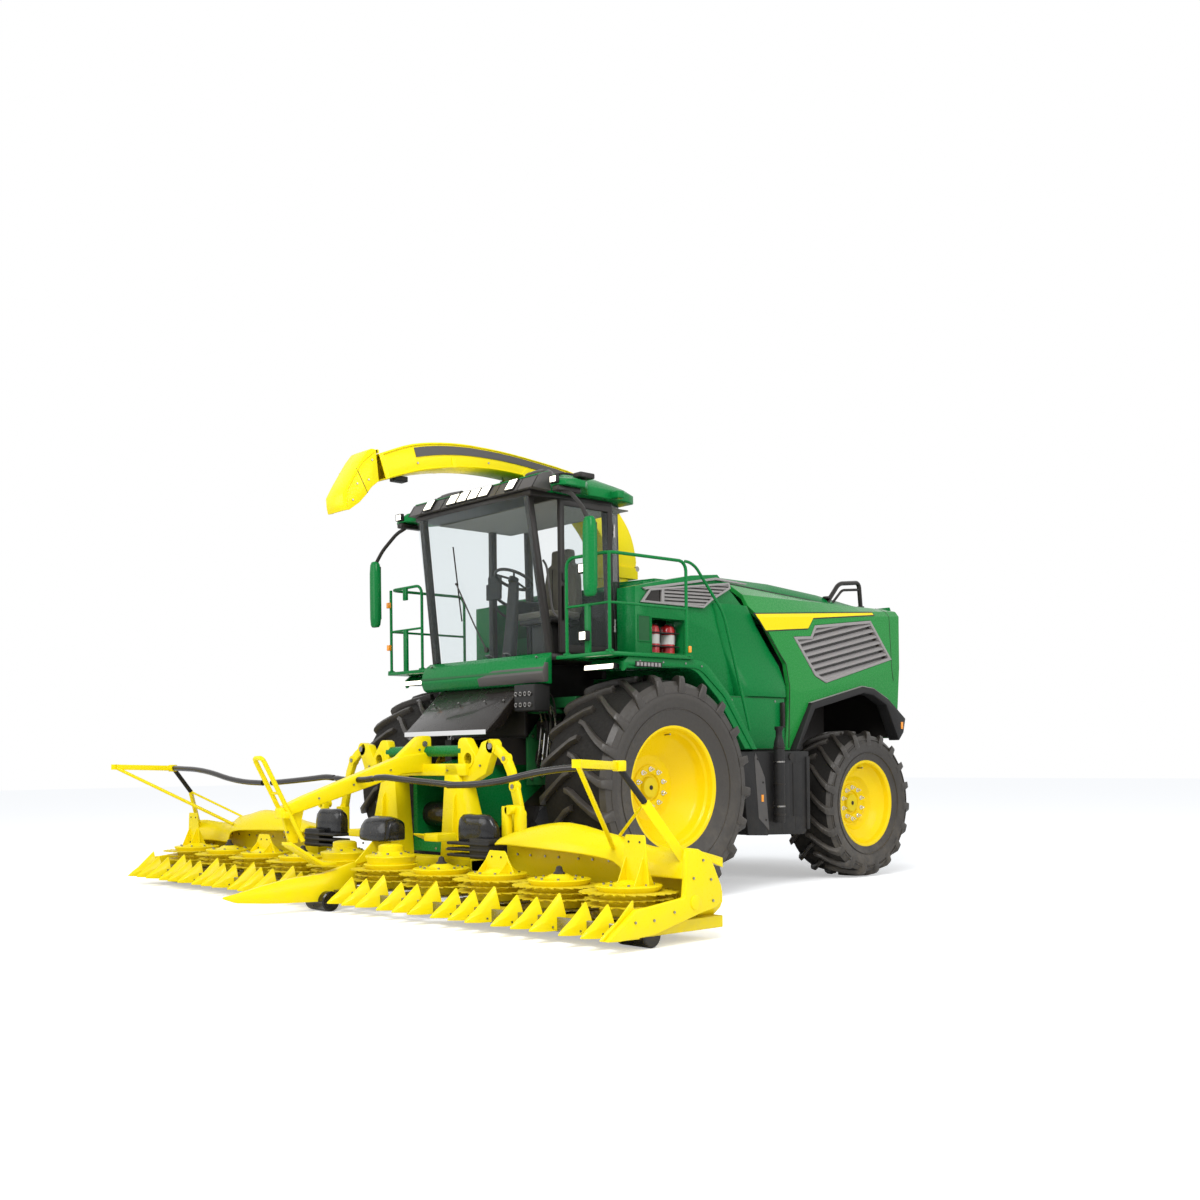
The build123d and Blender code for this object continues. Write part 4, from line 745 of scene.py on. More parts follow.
# ---------------------------------------------------------------- side covers: stripe, grille, arch flare
SHOULDERS = [(1.73, 2.762), (2.46, 2.810), (3.30, 2.865), (4.27, 2.925)]     # y, height of the cover's shoulder
STRIPE_TOP = [(1.75, 2.75), (3.80, 2.893)]
STRIPE_LOW = [(1.75, 2.745), (1.90, 2.59), (2.60, 2.65), (2.69, 2.765), (3.80, 2.868)]


def stripe(grow, out):
    """Band on the cover's flank and on the bevel over it."""
    loops = []
    ends = (STRIPE_TOP[0][0] + 0.012 - grow, STRIPE_TOP[1][0] + grow)
    for y in (ends[0], 1.80, 1.85, 1.90, 2.20, 2.46, 2.60, 2.69, 3.0, 3.30, 3.55, ends[1]):
        fold = between(SHOULDERS, y, 1) - 0.05
        top = between(STRIPE_TOP, y, 1) + grow
        low = between(STRIPE_LOW, y, 1) - grow
        middle = fold if low + 0.002 < fold < top - 0.002 else (low + top) / 2
        loop = []
        for lift, heights in ((out, (low, middle, top)), (-0.004, (top, middle, low))):
            for z in heights:
                loop.append((HALF + lift - max(0.0, z - fold) * 0.75, y, z))
        loops.append(loop)
    return loft(loops)


pair([give(stripe(0.0, 0.0030), YELLOW)], "cover_stripe", COVERS)
pair([give(stripe(0.013, 0.0016), DARK)], "cover_stripe_edge", COVERS)

GRILLE = [(2.352, 2.549), (2.648, 2.569), (2.719, 2.688), (3.718, 2.798), (4.116, 2.381), (2.902, 2.084), (2.713, 2.152)]
ARCH = [(2.34, 1.37), (2.39, 1.37), (2.66, 1.80), (3.54, 1.99), (3.72, 1.97), (3.96, 1.87), (4.20, 1.47), (4.29, 1.56),
        (4.33, 1.72), (4.01, 1.93), (3.74, 2.04), (3.53, 2.06), (2.615, 1.86)]
frame_ring = give(rounded(bezel_x(GRILLE, 0.032, 1.256, 1.306), 0.004, 2), LOUVRE)
backing = give(slab_x(GRILLE, 1.2525, 1.262), BLACK_STEEL)
slats = []
for k in range(10):
    low = 1.925 + 0.075 * k
    section = ((1.262, 0.016), (1.296, -0.010), (1.301, -0.004), (1.301, 0.006), (1.268, 0.034), (1.262, 0.034))
    slats.append(loft([[(x, y, low + z + (y - 2.3) * 0.21) for x, z in section] for y in (2.30, 4.20)]))
slats = cut(joined(slats, "slats"), slab_x(GRILLE, 1.20, 1.40), "INTERSECT")
flare = give(rounded(slab_x(ARCH, 1.20, 1.336), 0.009, 3, 20), PLASTIC)
flare_lip = give(rounded(slab_x([(2.60, 1.868), (3.53, 2.069), (3.74, 2.050), (4.015, 1.940), (4.007, 1.931),
                                 (3.738, 2.041), (3.53, 2.060), (2.612, 1.862)], 1.20, 1.322), 0.003, 1), LOUVRE)
pair([frame_ring, backing, give(slats, LOUVRE), flare, flare_lip], "cover_grille", COVERS, ["cover_trim"])

# seams and fasteners of the cover
CREASE = [(2.28, 2.03), (2.61, 1.93), (4.13, 2.29)]
pieces = []
for points in ([(1.735, 2.745), (2.225, 2.262), (2.282, 2.03), (2.258, 1.39)],):
    pieces.append(give(tube([(HALF - 0.001, y, z) for y, z in points], 0.005, 0, 1), DARK))
for y, z in ((2.36, 1.44), (2.36, 1.58), (2.40, 1.72)):
    pieces.append(give(drum((HALF - 0.06, y - 0.05, z), (HALF - 0.048, y - 0.05, z), 0.011, 12), STEEL))
pair(pieces, "cover_seams", COVERS)
reflector = give(rounded(box(HALF + 0.034, HALF + 0.040, 4.235, 4.275, 1.60, 1.68), 0.002, 2), AMBER)
pair([reflector], "rear_reflector", COVERS)

# ---------------------------------------------------------------- intake grilles beside the cab
INTAKE = [(0.18, 2.77), (0.30, 2.905), (1.44, 3.05), (1.46, 2.99), (1.18, 2.85), (1.06, 2.77)]
inner = HALF - 0.11
parts = [give(slab_x(INTAKE, inner + 0.0003, inner + 0.008), BLACK_STEEL),
         give(rounded(bezel_x(INTAKE, 0.020, inner + 0.0003, inner + 0.030), 0.003, 2), LOUVRE)]
bars = []
for k in range(9):
    low = 2.775 + 0.034 * k
    bars.append(loft([[(inner + x, y, low + z + (y - 0.15) * 0.03) for x, z in
                       ((0.006, 0.004), (0.024, -0.008), (0.027, -0.002), (0.010, 0.016))] for y in (0.15, 1.48)]))
bars = cut(cut(joined(bars, "bars"), slab_x(INTAKE, 1.1, 1.4), "INTERSECT"), box(1.1, 1.4, 0.1, 0.49, 2.6, 3.2))
parts.append(give(bars, LOUVRE))
divider = slab_x([(0.46, 2.775), (0.46, 2.925), (0.495, 2.93), (0.495, 2.775)], inner + 0.0003, inner + 0.029)
parts.append(give(rounded(divider, 0.003, 1), LOUVRE))
strip_outline = [(0.20, 2.91), (1.25, 3.086), (1.722, 3.061), (1.69, 3.046), (1.25, 3.062), (0.24, 2.89)]
parts.append(give(rounded(slab_x(strip_outline, inner + 0.0003, inner + 0.025), 0.003, 2), LOUVRE))
whole = joined(parts, "intake")
twin = mirrored(whole)
single([whole, twin], "intake_louvres", "chassis", ["intake_grilles"])

# ---------------------------------------------------------------- cab roof, visor and mirrors
ROOF = [(-0.56, 3.95, 1.0), (-0.49, 3.982, 1.0), (-0.42, 3.998, 1.0), (-0.25, 4.01, 1.0), (-0.08, 3.998, 1.0),
        (0.10, 3.97, 1.0), (0.25, 3.92, 0.985), (0.38, 3.86, 0.93)]       # y, top, half width
loops = []
for y, top, half in ROOF:
    right_half = [(half, ROOF_LOW), (half, ROOF_LOW + 0.08), (half * 0.94, ROOF_LOW + 0.135 + (top - 3.96) * 0.3),
                  (half * 0.84, top - 0.045), (half * 0.72, top - 0.014), (half * 0.6, top), (half * 0.3, top + 0.0)]
    loops.append([(x, y, z) for x, z in right_half] + [(-x, y, z) for x, z in reversed(right_half)])
shell = rounded(loft(loops), 0.010, 3, 32)
parts = [give(shell, GREEN)]
WING_ROOF = [(0.96, -0.72, -0.25, ROOF_LOW, 0.14), (1.04, -0.80, -0.33, 3.7476, 0.131), (1.12, -0.86, -0.42, 3.745, 0.115),
             (1.21, -0.862, -0.50, 3.741, 0.092), (1.29, -0.84, -0.60, 3.736, 0.066)]
wing = loft([[(x, y0, z), (x, y1, z), (x, y1, z + t * 0.8), (x, (y0 + y1) / 2, z + t), (x, y0 + 0.03, z + t * 0.75),
              (x, y0, z + t * 0.45)] for x, y0, y1, z, t in WING_ROOF])
wing = give(rounded(wing, 0.008, 3, 30), GREEN)
rear_wing = give(rounded(box(0.98, 1.10, 0.0, 0.09, ROOF_LOW, ROOF_LOW + 0.07), 0.012, 3), GREEN)
dark_edge = give(rounded(box(-0.985, 0.985, -0.70, -0.55, ROOF_LOW, ROOF_LOW + 0.15), 0.02, 3), GREEN)
parts += [wing, mirrored(wing), rear_wing, mirrored(rear_wing), dark_edge]
for x in (-0.55, 0.55):
    parts.append(give(tube([(x, -0.40, 4.0), (x, 0.05, 3.985), (x, 0.33, 3.885)], 0.010, 0.05, 2), GREEN))
single(parts, "roof_shell", "chassis", ["cab_roof"])

VISOR_LOW, VISOR_TOP = (-0.94, ROOF_LOW + 0.01), (-0.86, ROOF_LOW + 0.13)     # the visor's sloping face: y, z


def on_visor(share, out):
    """Place on the visor's face: share of its height, distance before it."""
    y = VISOR_LOW[0] + (VISOR_TOP[0] - VISOR_LOW[0]) * share
    z = VISOR_LOW[1] + (VISOR_TOP[1] - VISOR_LOW[1]) * share
    return y - out * 0.83, z + out * 0.55


def visor_plate(x0, x1, low, high, back, front):
    corners = [on_visor(low, back), on_visor(high, back), on_visor(high, front), on_visor(low, front)]
    return slab_x(corners, x0, x1)


visor = slab_x([(-0.7003, ROOF_LOW), (-0.7003, ROOF_LOW + 0.18), (-0.80, ROOF_LOW + 0.157), (-0.86, ROOF_LOW + 0.13),
                (-0.94, ROOF_LOW + 0.01)], -0.95, 0.95)
parts = [give(rounded(visor, 0.008, 3, 20), GREY)]
parts.append(give(rounded(slab_x([(-0.72, ROOF_LOW + 0.172), (-0.72, ROOF_LOW + 0.184), (-0.86, ROOF_LOW + 0.140),
                                  (-0.868, ROOF_LOW + 0.128)], -0.93, 0.93), 0.003, 2), GREEN))
for x in (-0.945, -0.74, -0.42, 0.42, 0.74, 0.945):
    parts.append(give(visor_plate(x - 0.004, x + 0.004, 0.02, 0.96, -0.01, 0.003), DARK))
ARM = [(1.20, -0.80, 3.695), (1.33, -0.815, 3.655), (1.52, -0.86, 3.50), (1.615, -0.885, 3.37)]
parts_mirror = [give(tube(ARM, 0.019, 0.05, 3), DARK),
                give(rounded(box(1.15, 1.23, -0.88, -0.60, 3.69, 3.7386), 0.010, 3), DARK)]
SHELL = [(2.705, 0.62), (2.73, 0.86), (2.80, 0.98), (3.05, 1.0), (3.28, 0.98), (3.36, 0.86), (3.395, 0.6)]   # z, share
loops = []
for z, share in SHELL:
    half_wide, half_deep = 0.070 * share, 0.040 * share
    loops.append([(1.63 + half_wide * u, -0.89 + half_deep * v, z) for u, v in
                  ((-1, 0.9), (-1, -0.2), (-0.7, -0.8), (0, -1), (0.7, -0.8), (1, -0.2), (1, 0.9))])
housing = rounded(loft(loops), 0.008, 2, 30)
parts_mirror.append(give(housing, GREEN))
parts_mirror.append(give(rounded(box(1.575, 1.685, -0.856, -0.8525, 2.80, 3.06), 0.002, 2), MIRROR))
parts_mirror.append(give(rounded(box(1.575, 1.685, -0.856, -0.8525, 3.08, 3.33), 0.002, 2), MIRROR))
parts_mirror.append(give(rounded(bezel([(1.566, -0.858, 2.79), (1.694, -0.858, 2.79), (1.694, -0.858, 3.34),
                                        (1.566, -0.858, 3.34)], 0.010, (0, 0.008, 0)), 0.002, 1), DARK))
mirror = joined(parts_mirror, "mirror")
single(parts + [mirror, mirrored(mirror)], "visor_and_mirrors", "chassis", ["roof_trim"])


# ---------------------------------------------------------------- lamps
def lamp_front(x, y, z, wide, high, deep):
    """Work lamp that shines forwards: housing, ring and lens."""
    housing = rounded(box(x - wide / 2, x + wide / 2, y + 0.008, y + deep, z - high / 2, z + high / 2), 0.008, 2)
    ring = rounded(bezel([(x - wide / 2 + 0.003, y, z - high / 2 + 0.003), (x + wide / 2 - 0.003, y, z - high / 2 + 0.003),
                          (x + wide / 2 - 0.003, y, z + high / 2 - 0.003), (x - wide / 2 + 0.003, y, z + high / 2 - 0.003)],
                         0.008, (0, 0.014, 0)), 0.002, 1)
    lens_plate = rounded(box(x - wide / 2 + 0.010, x + wide / 2 - 0.010, y + 0.003, y + 0.012, z - high / 2 + 0.010,
                             z + high / 2 - 0.010), 0.003, 2)
    return [give(housing, PLASTIC), give(ring, DARK), give(lens_plate, LAMP)]


def lamp_visor(x0, x1):
    housing = rounded(visor_plate(x0, x1, 0.04, 0.98, 0.0005, 0.020), 0.006, 2)
    lens_plate = rounded(visor_plate(x0 + 0.010, x1 - 0.010, 0.12, 0.90, 0.018, 0.0235), 0.002, 2)
    return [give(housing, PLASTIC), give(lens_plate, LAMP)]


parts = []
for x in (-0.245, -0.082, 0.082, 0.245):
    parts += lamp_visor(x - 0.074, x + 0.074)
for x in (-0.63, 0.63):
    parts += lamp_visor(x - 0.065, x + 0.065)
for x in (-1.18, 1.18):
    parts += lamp_front(x, -0.90, 3.794, 0.10, 0.072, 0.042)
for z in (2.99, 2.39):
    parts += lamp_front(1.38, -0.75, z, 0.10, 0.09, 0.058)
    parts.append(give(box(1.355, 1.405, -0.694, -0.6905, z - 0.03, z + 0.03), DARK))
head = slab_x([(-0.4803, 2.10), (-0.4883, 2.14), (-0.545, 2.149), (-0.556, 2.092)], 1.20, 1.58)
head_parts = [give(rounded(head, 0.006, 2), PLASTIC)]
for x0, x1 in ((1.21, 1.385), (1.395, 1.57)):
    lens_plate = slab_x([(-0.548, 2.143), (-0.562, 2.140), (-0.568, 2.101), (-0.556, 2.098)], x0, x1)
    head_parts.append(give(rounded(lens_plate, 0.003, 2), LAMP))
head = joined(head_parts, "head")
single(parts + [head, mirrored(head)], "work_lamps", "chassis", ["lamps"])

# ---------------------------------------------------------------- side bodies: extinguishers, handles, black pipe
FENDER_OUT, RAIL_X, DECK_Z, HAND_Z, KNEE_Z = 1.64, 1.65, 2.2063, 3.11, 2.67
parts = []
for y in (0.48, 0.69):
    low = 2.3003
    body_shape = turned([(low, 0.0), (low, 0.066), (low + 0.008, 0.0735), (low + 0.235, 0.074), (low + 0.270, 0.062),
                         (low + 0.286, 0.034), (low + 0.30, 0.0)], (1.06, y, 0), 40, "Z")
    parts.append(give(smooth(body_shape, 40), RED))
    band = turned([(low + 0.10, 0.0742), (low + 0.10, 0.0748), (low + 0.19, 0.0748), (low + 0.19, 0.0742),
                   (low + 0.10, 0.0742)], (1.06, y, 0), 40, "Z")
    parts.append(give(band, PALE))
    parts.append(give(drum((1.06, y, low + 0.27), (1.06, y, low + 0.299), 0.020, 16), DARK))
    parts.append(give(rounded(box(1.075, 1.12, y - 0.012, y + 0.012, low + 0.283, low + 0.297), 0.003, 1), DARK))
    parts.append(give(tube([(1.075, y + 0.02, low + 0.285), (1.115, y + 0.05, low + 0.27), (1.128, y + 0.052, low + 0.2),
                            (1.122, y + 0.045, low + 0.11)], 0.007, 0.03, 2), DARK))
single(parts, "extinguisher_bottles", "chassis", ["extinguishers"])

parts = []
for z in (2.37, 2.50):
    parts.append(give(rounded(box(0.985, 1.145, 0.36, 0.78, z, z + 0.012), 0.003, 1), DARK))
single(parts, "extinguisher_straps", "chassis")

# black pipe with clamp rings, its box's grey plate and reflector
parts = [give(turned([(0.65, 0.0), (0.65, 0.050), (0.66, 0.053), (1.10, 0.053), (1.42, 0.053), (1.46, 0.046), (1.50, 0.033),
                      (1.555, 0.032), (1.57, 0.042), (1.60, 0.043), (1.60, 0.030), (1.58, 0.026), (1.50, 0.026),
                      (1.50, 0.0)], (1.62, 1.69, 0), 28, "Z"), PLASTIC)]
for z in (0.72, 0.80, 1.02, 1.24, 1.38):
    parts.append(give(turned([(z, 0.050), (z + 0.003, 0.058), (z + 0.017, 0.058), (z + 0.020, 0.050), (z, 0.050)],
                             (1.62, 1.69, 0), 28, "Z"), STEEL if z in (0.80, 1.24) else DARK))
plate = slab_x([(1.36, 1.345), (1.345, 1.30), (1.40, 0.70), (1.56, 0.575), (1.545, 0.70), (1.50, 1.10)], 1.588, 1.594)
parts.append(give(rounded(plate, 0.002, 1), GREY))
parts.append(give(rounded(box(1.594, 1.599, 1.44, 1.475, 0.86, 0.93), 0.002, 2), AMBER))
for y, z in ((1.39, 1.28), (1.51, 0.68), (1.47, 1.05)):
    parts.append(give(drum((1.592, y, z), (1.600, y, z), 0.010, 12), DARK))
for y in (1.80, 2.02):
    parts.append(give(box(1.5595, 1.5615, y, y + 0.006, 0.56, 1.33), DARK))
pair(parts, "side_pipe", CHASSIS)

# lower door of the side body: handle, lock, seams
inner = HALF - 0.02
parts = [give(rounded(box(inner, inner + 0.043, 2.138, 2.172, 1.60, 1.86), 0.008, 3), DARK)]
parts.append(give(tube([(inner + 0.026, 2.155, 1.615), (inner + 0.040, 2.155, 1.63), (inner + 0.040, 2.155, 1.845),
                        (inner + 0.026, 2.155, 1.86)], 0.008, 0.01, 2), DARK))
DOOR = [(1.345, 1.385), (2.222, 1.385), (2.222, 1.903), (1.345, 1.903)]
for a, b in zip(DOOR, DOOR[1:] + DOOR[:1]):
    parts.append(give(tube([(inner - 0.001, *a), (inner - 0.001, *b)], 0.003, 0, 1), DARK))
for y, z in ((1.38, 1.42), (2.19, 1.42), (1.38, 1.87), (2.06, 1.87)):
    parts.append(give(drum((inner - 0.002, y, z), (inner + 0.005, y, z), 0.012, 6), STEEL))
pair(parts, "side_door", CHASSIS)

# bolts along the fender's lip and the black lamp grille at its front
parts = []
for y, z in ((-0.30, 2.168), (0.0, 2.168), (0.30, 2.168), (0.52, 2.150)):
    parts.append(give(drum((1.651, y, z), (1.658, y, z), 0.010, 6), STEEL))
grille = rounded(slab_x([(-0.36, 2.115), (-0.36, 2.165), (-0.02, 2.165), (-0.02, 2.115)], 1.648, 1.660), 0.004, 2)
parts.append(give(grille, PLASTIC))
for k in range(7):
    parts.append(give(rounded(box(1.658, 1.663, -0.345 + 0.046 * k, -0.315 + 0.046 * k, 2.123, 2.157), 0.002, 1), LOUVRE))
pair(parts, "fender_grille", CHASSIS)

# ---------------------------------------------------------------- platforms: plates, rails, steps
def railing():
    top = tube([(1.10, -0.67, DECK_Z + 0.02), (1.10, -0.67, HAND_Z), (RAIL_X, -0.67, HAND_Z), (RAIL_X, 0.32, HAND_Z),
                (RAIL_X, 0.32, DECK_Z + 0.02)], 0.0155, 0.09, 4)
    bars = [top, tube([(1.10, -0.67, KNEE_Z), (RAIL_X, -0.67, KNEE_Z)], 0.0120, 0, 4),
            tube([(RAIL_X, -0.67, KNEE_Z), (RAIL_X, 0.32, KNEE_Z)], 0.0120, 0, 4),
            tube([(RAIL_X, -0.67, DECK_Z + 0.01), (RAIL_X, -0.67, HAND_Z)], 0.0155, 0, 4)]
    for x, y in ((1.10, -0.67), (RAIL_X, -0.67), (RAIL_X, 0.32)):
        bars.append(drum((x, y, DECK_Z + 0.028), (x, y, DECK_Z + 0.046), 0.038, 20))
        for u, v in ((0.026, 0), (-0.026, 0)):
            bars.append(drum((x + u, y + v, DECK_Z + 0.046), (x + u, y + v, DECK_Z + 0.054), 0.006, 6))
    plate = rounded(box(0.98, RAIL_X + 0.03, -0.70, 0.33, DECK_Z, DECK_Z + 0.034), 0.006, 2)
    return [give(smooth(bar, 40), GREEN) for bar in bars] + [give(plate, GREEN)]


near = railing()
near.append(give(rounded(box(1.35, 1.41, -0.69, -0.66, 2.98, HAND_Z), 0.005, 2), GREEN))
near.append(give(rounded(box(1.35, 1.41, -0.69, -0.66, DECK_Z + 0.02, KNEE_Z), 0.005, 2), GREEN))
whole = joined(near, "platform_left")
twin = mirrored(whole)
slope = tube([(RAIL_X, 0.31, HAND_Z), (RAIL_X, 0.42, HAND_Z), (RAIL_X, 0.84, KNEE_Z), (RAIL_X, 1.21, 1.56)], 0.0140, 0.09, 4)
edge = rounded(box(RAIL_X - 0.06, RAIL_X + 0.03, 0.33, 0.38, DECK_Z, DECK_Z + 0.034), 0.004, 1)
treads = []
for k in range(9):
    for row in range(4):
        tread_bar = box(1.03 + 0.15 * row, 1.13 + 0.15 * row, -0.62 + 0.105 * k, -0.607 + 0.105 * k, DECK_Z + 0.033,
                        DECK_Z + 0.039)
        treads.append(tread_bar)
treads = give(joined(treads, "treads"), DARK)
single([whole, twin, give(smooth(slope, 40), GREEN), give(edge, GREEN), treads, mirrored(treads)], "platform_rails",
       "chassis", ["platforms"])
parts = []
for x, y, z in ((-RAIL_X, -0.70, 2.95), (-RAIL_X, -0.70, 2.50), (RAIL_X, 0.352, 2.30)):
    parts.append(give(rounded(box(x - 0.022, x + 0.022, y - 0.018, y + 0.016, z - 0.03, z + 0.03), 0.006, 3), AMBER))
single(parts, "rail_markers", "chassis")

# ---------------------------------------------------------------- cab: front panel, sheet under it, posts, door
panel = slab_x([(-0.7003, 2.28), (-0.77, 2.23), (-0.80, 2.17), (-0.82, 2.08), (-0.79, 2.01), (-0.76, 1.99), (-0.70, 1.99),
                (-0.7003, 2.20)], -0.93, 0.93)
parts = [give(rounded(panel, 0.012, 3, 24), GREEN)]
# Strip across the nose in the darker green: painted shade.
painted_shade_strip = slab_x([(-0.8135, 2.125), (-0.8160, 2.105), (-0.8195, 2.105), (-0.8170, 2.125)], -0.93, 0.93)
parts.append(give(painted_shade_strip, GREEN_PAINTED_SHADE))
trim = cut(slab_x([(-0.790, 2.19), (-0.826, 2.085), (-0.795, 2.004), (-0.75, 2.01), (-0.75, 2.19)], -0.02, 0.934),
           slab_y([(-0.10, 2.06), (0.10, 2.105), (0.22, 2.16), (0.95, 2.185), (0.95, 2.5), (-0.10, 2.5)], -1.0, -0.6))
parts.append(give(rounded(trim, 0.006, 2, 30), GREY))
for x in (-0.80, 0.80):
    parts.append(give(drum((x, -0.765, 2.232), (x, -0.784, 2.244), 0.011, 6), STEEL))
single(parts, "nose_panel", "chassis", ["cab_front_panel"])

sheet_shape = slab_x([(-0.74, 1.9897), (-0.67, 1.9897), (-0.98, 1.60), (-1.18, 1.54), (-1.19, 1.57), (-1.0, 1.74)], -0.70, 0.56)
parts = [give(rounded(sheet_shape, 0.010, 3, 15), BLACK_STEEL)]
parts.append(give(rounded(box(-0.55, 0.55, -0.71, -0.67, 1.52, 1.988), 0.004, 1), DARK))
parts.append(give(rounded(box(0.62, 0.90, -0.90, -0.70, 1.74, 1.985), 0.012, 3), PLASTIC))
parts.append(give(rounded(box(0.56, 0.64, -0.76, -0.68, 1.90, 1.985), 0.006, 2), PLASTIC))
parts.append(give(rounded(box(-0.70, 0.56, -1.196, -1.188, 1.532, 1.578), 0.003, 1), CHROME))
for row in range(2):
    for k in range(4):
        x, z = 0.665 + 0.063 * k, 1.80 + 0.10 * row
        parts.append(give(drum((x, -0.895, z), (x, -0.918, z), 0.020, 18), STEEL))
        parts.append(give(drum((x, -0.914, z), (x, -0.922, z), 0.012, 12), DARK))
for x in (-0.60, -0.20, 0.20, 0.48):
    parts.append(give(drum((x, -0.90, 1.848), (x, -0.912, 1.855), 0.010, 6), STEEL))
single(parts, "under_cab_sheet", "chassis", ["cab_hood"])

# ---------------------------------------------------------------- spout
SPOUT_HALF, DUCT = 0.150, 0.014
CHUTE = [(0.83, 3.29, 1.19, 3.29), (0.80, 3.42, 1.205, 3.40), (0.66, 3.64, 1.10, 3.69), (0.39, 3.87, 0.80, 3.985),
         (0.02, 4.01, 0.38, 4.17), (-0.36, 4.065, -0.20, 4.24), (-0.80, 4.07, -0.76, 4.272),
         (-1.20, 4.03, -1.24, 4.258), (-1.60, 3.945, -1.68, 4.185), (-1.96, 3.83, -2.034, 4.05)]


def eased(table, steps):
    """Rows of a table filled in along a smooth curve through them."""
    rows = []
    for k in range(len(table) - 1):
        before, a, b = table[max(k - 1, 0)], table[k], table[k + 1]
        after = table[min(k + 2, len(table) - 1)]
        for step in range(steps):
            t = step / steps
            rows.append(tuple(0.5 * (2 * q + (r - p) * t + (2 * p - 5 * q + 4 * r - s) * t * t
                                     + (3 * q - p - 3 * r + s) * t ** 3)
                              for p, q, r, s in zip(before, a, b, after)))
    return rows + [table[-1]]


def chute_loops(half, shrink, rows):
    loops = []
    for y0, z0, y1, z1 in rows:
        long = math.hypot(y1 - y0, z1 - z0)
        u, v = (y1 - y0) / long * shrink, (z1 - z0) / long * shrink
        loops.append([(-half, y0 + u, z0 + v), (half, y0 + u, z0 + v), (half, y1 - u, z1 - v), (-half, y1 - u, z1 - v)])
    return loops


CROWN = 4.2715                          # no row may bulge above the machine's highest point
ROWS = [(y0, z0, y1, min(z1, CROWN)) for y0, z0, y1, z1 in eased(CHUTE, 4)]
outer = loft(chute_loops(SPOUT_HALF, 0, ROWS))
outer = cut(outer, loft(chute_loops(SPOUT_HALF - DUCT, DUCT, ROWS[4:] + [(-2.06, 3.798, -2.14, 4.023)])))
parts = [give(rounded(outer, 0.004, 2, 50), YELLOW)]
for sign in (1, -1):                    # folded edges along the back and the underside
    x = sign * (SPOUT_HALF + 0.004)
    for share in (0.05, 0.95):
        points = [(x, y0 + (y1 - y0) * share, z0 + (z1 - z0) * share) for y0, z0, y1, z1 in ROWS[10:]]
        parts.append(give(smooth(tube(points, 0.007, 0, 2), 50), YELLOW))
RIBS = [(3, 0.14, 0.42), (5, 0.0, 0.42), (7, 0.0, 0.42), (9, 0.0, 0.98)]
for k, foot, top in RIBS:
    y0, z0, y1, z1 = CHUTE[k]
    for sign in (1, -1):
        a, b = [(sign * (SPOUT_HALF + 0.002), y0 + (y1 - y0) * s, z0 + (z1 - z0) * s) for s in (foot, top)]
        length = math.hypot(b[1] - a[1], b[2] - a[2])
        u, v = (b[2] - a[2]) / length * 0.023, -(b[1] - a[1]) / length * 0.023
        rib = slab_x([(a[1] + u, a[2] + v), (b[1] + u, b[2] + v), (b[1] - u, b[2] - v), (a[1] - u, a[2] - v)],
                     sign * SPOUT_HALF, sign * (SPOUT_HALF + 0.012))
        parts.append(give(rounded(rib, 0.003, 1), YELLOW))
parts.append(give(smooth(drum((-0.185, 1.19, 3.285), (0.185, 1.19, 3.285), 0.028, 28), 30), STEEL))
parts.append(give(rounded(box(-0.162, 0.162, 0.82, 1.20, 3.2903, 3.312), 0.003, 1), YELLOW))
FLAP_Y, FLAP_Z = -2.052, 4.068
parts.append(give(smooth(drum((-0.06, FLAP_Y, FLAP_Z), (0.06, FLAP_Y, FLAP_Z), 0.018, 24), 30), STEEL))
parts.append(give(rounded(box(-0.06, 0.06, FLAP_Y, FLAP_Y + 0.025, FLAP_Z - 0.02, FLAP_Z + 0.008), 0.002, 1), YELLOW))
for k in range(6):                      # bolts of the wear strip and of the ribs
    y0, z0, y1, z1 = CHUTE[3 + k]
    for sign in (1, -1):
        y, z = y0 + (y1 - y0) * 0.30, z0 + (z1 - z0) * 0.30
        parts.append(give(drum((sign * 0.149, y, z), (sign * 0.158, y, z), 0.010, 6), STEEL))
parts.append(give(rounded(box(-0.05, 0.05, -1.80, -1.66, 3.855, 3.905), 0.008, 3), PLASTIC))     # camera under the end
parts.append(give(drum((0.0, -1.79, 3.875), (0.0, -1.812, 3.868), 0.018, 20), DARK))
single(parts, "chute", "spout", ["spout_chute"], 40)

parts = []
for sign in (1, -1):
    loops = []
    for y0, z0, y1, z1 in ROWS[12:33]:
        low, high = [(y0 + (y1 - y0) * s, z0 + (z1 - z0) * s) for s in (0.52, 0.86)]
        inside, outside = sign * (SPOUT_HALF + 0.0003), sign * (SPOUT_HALF + 0.009)
        loops.append([(inside, *low), (outside, *low), (outside, *high), (inside, *high)])
    parts.append(give(rounded(loft(loops), 0.002, 1, 50), GREY))
single(parts, "chute_wear_strip", "spout", ["spout_strip"], 40)

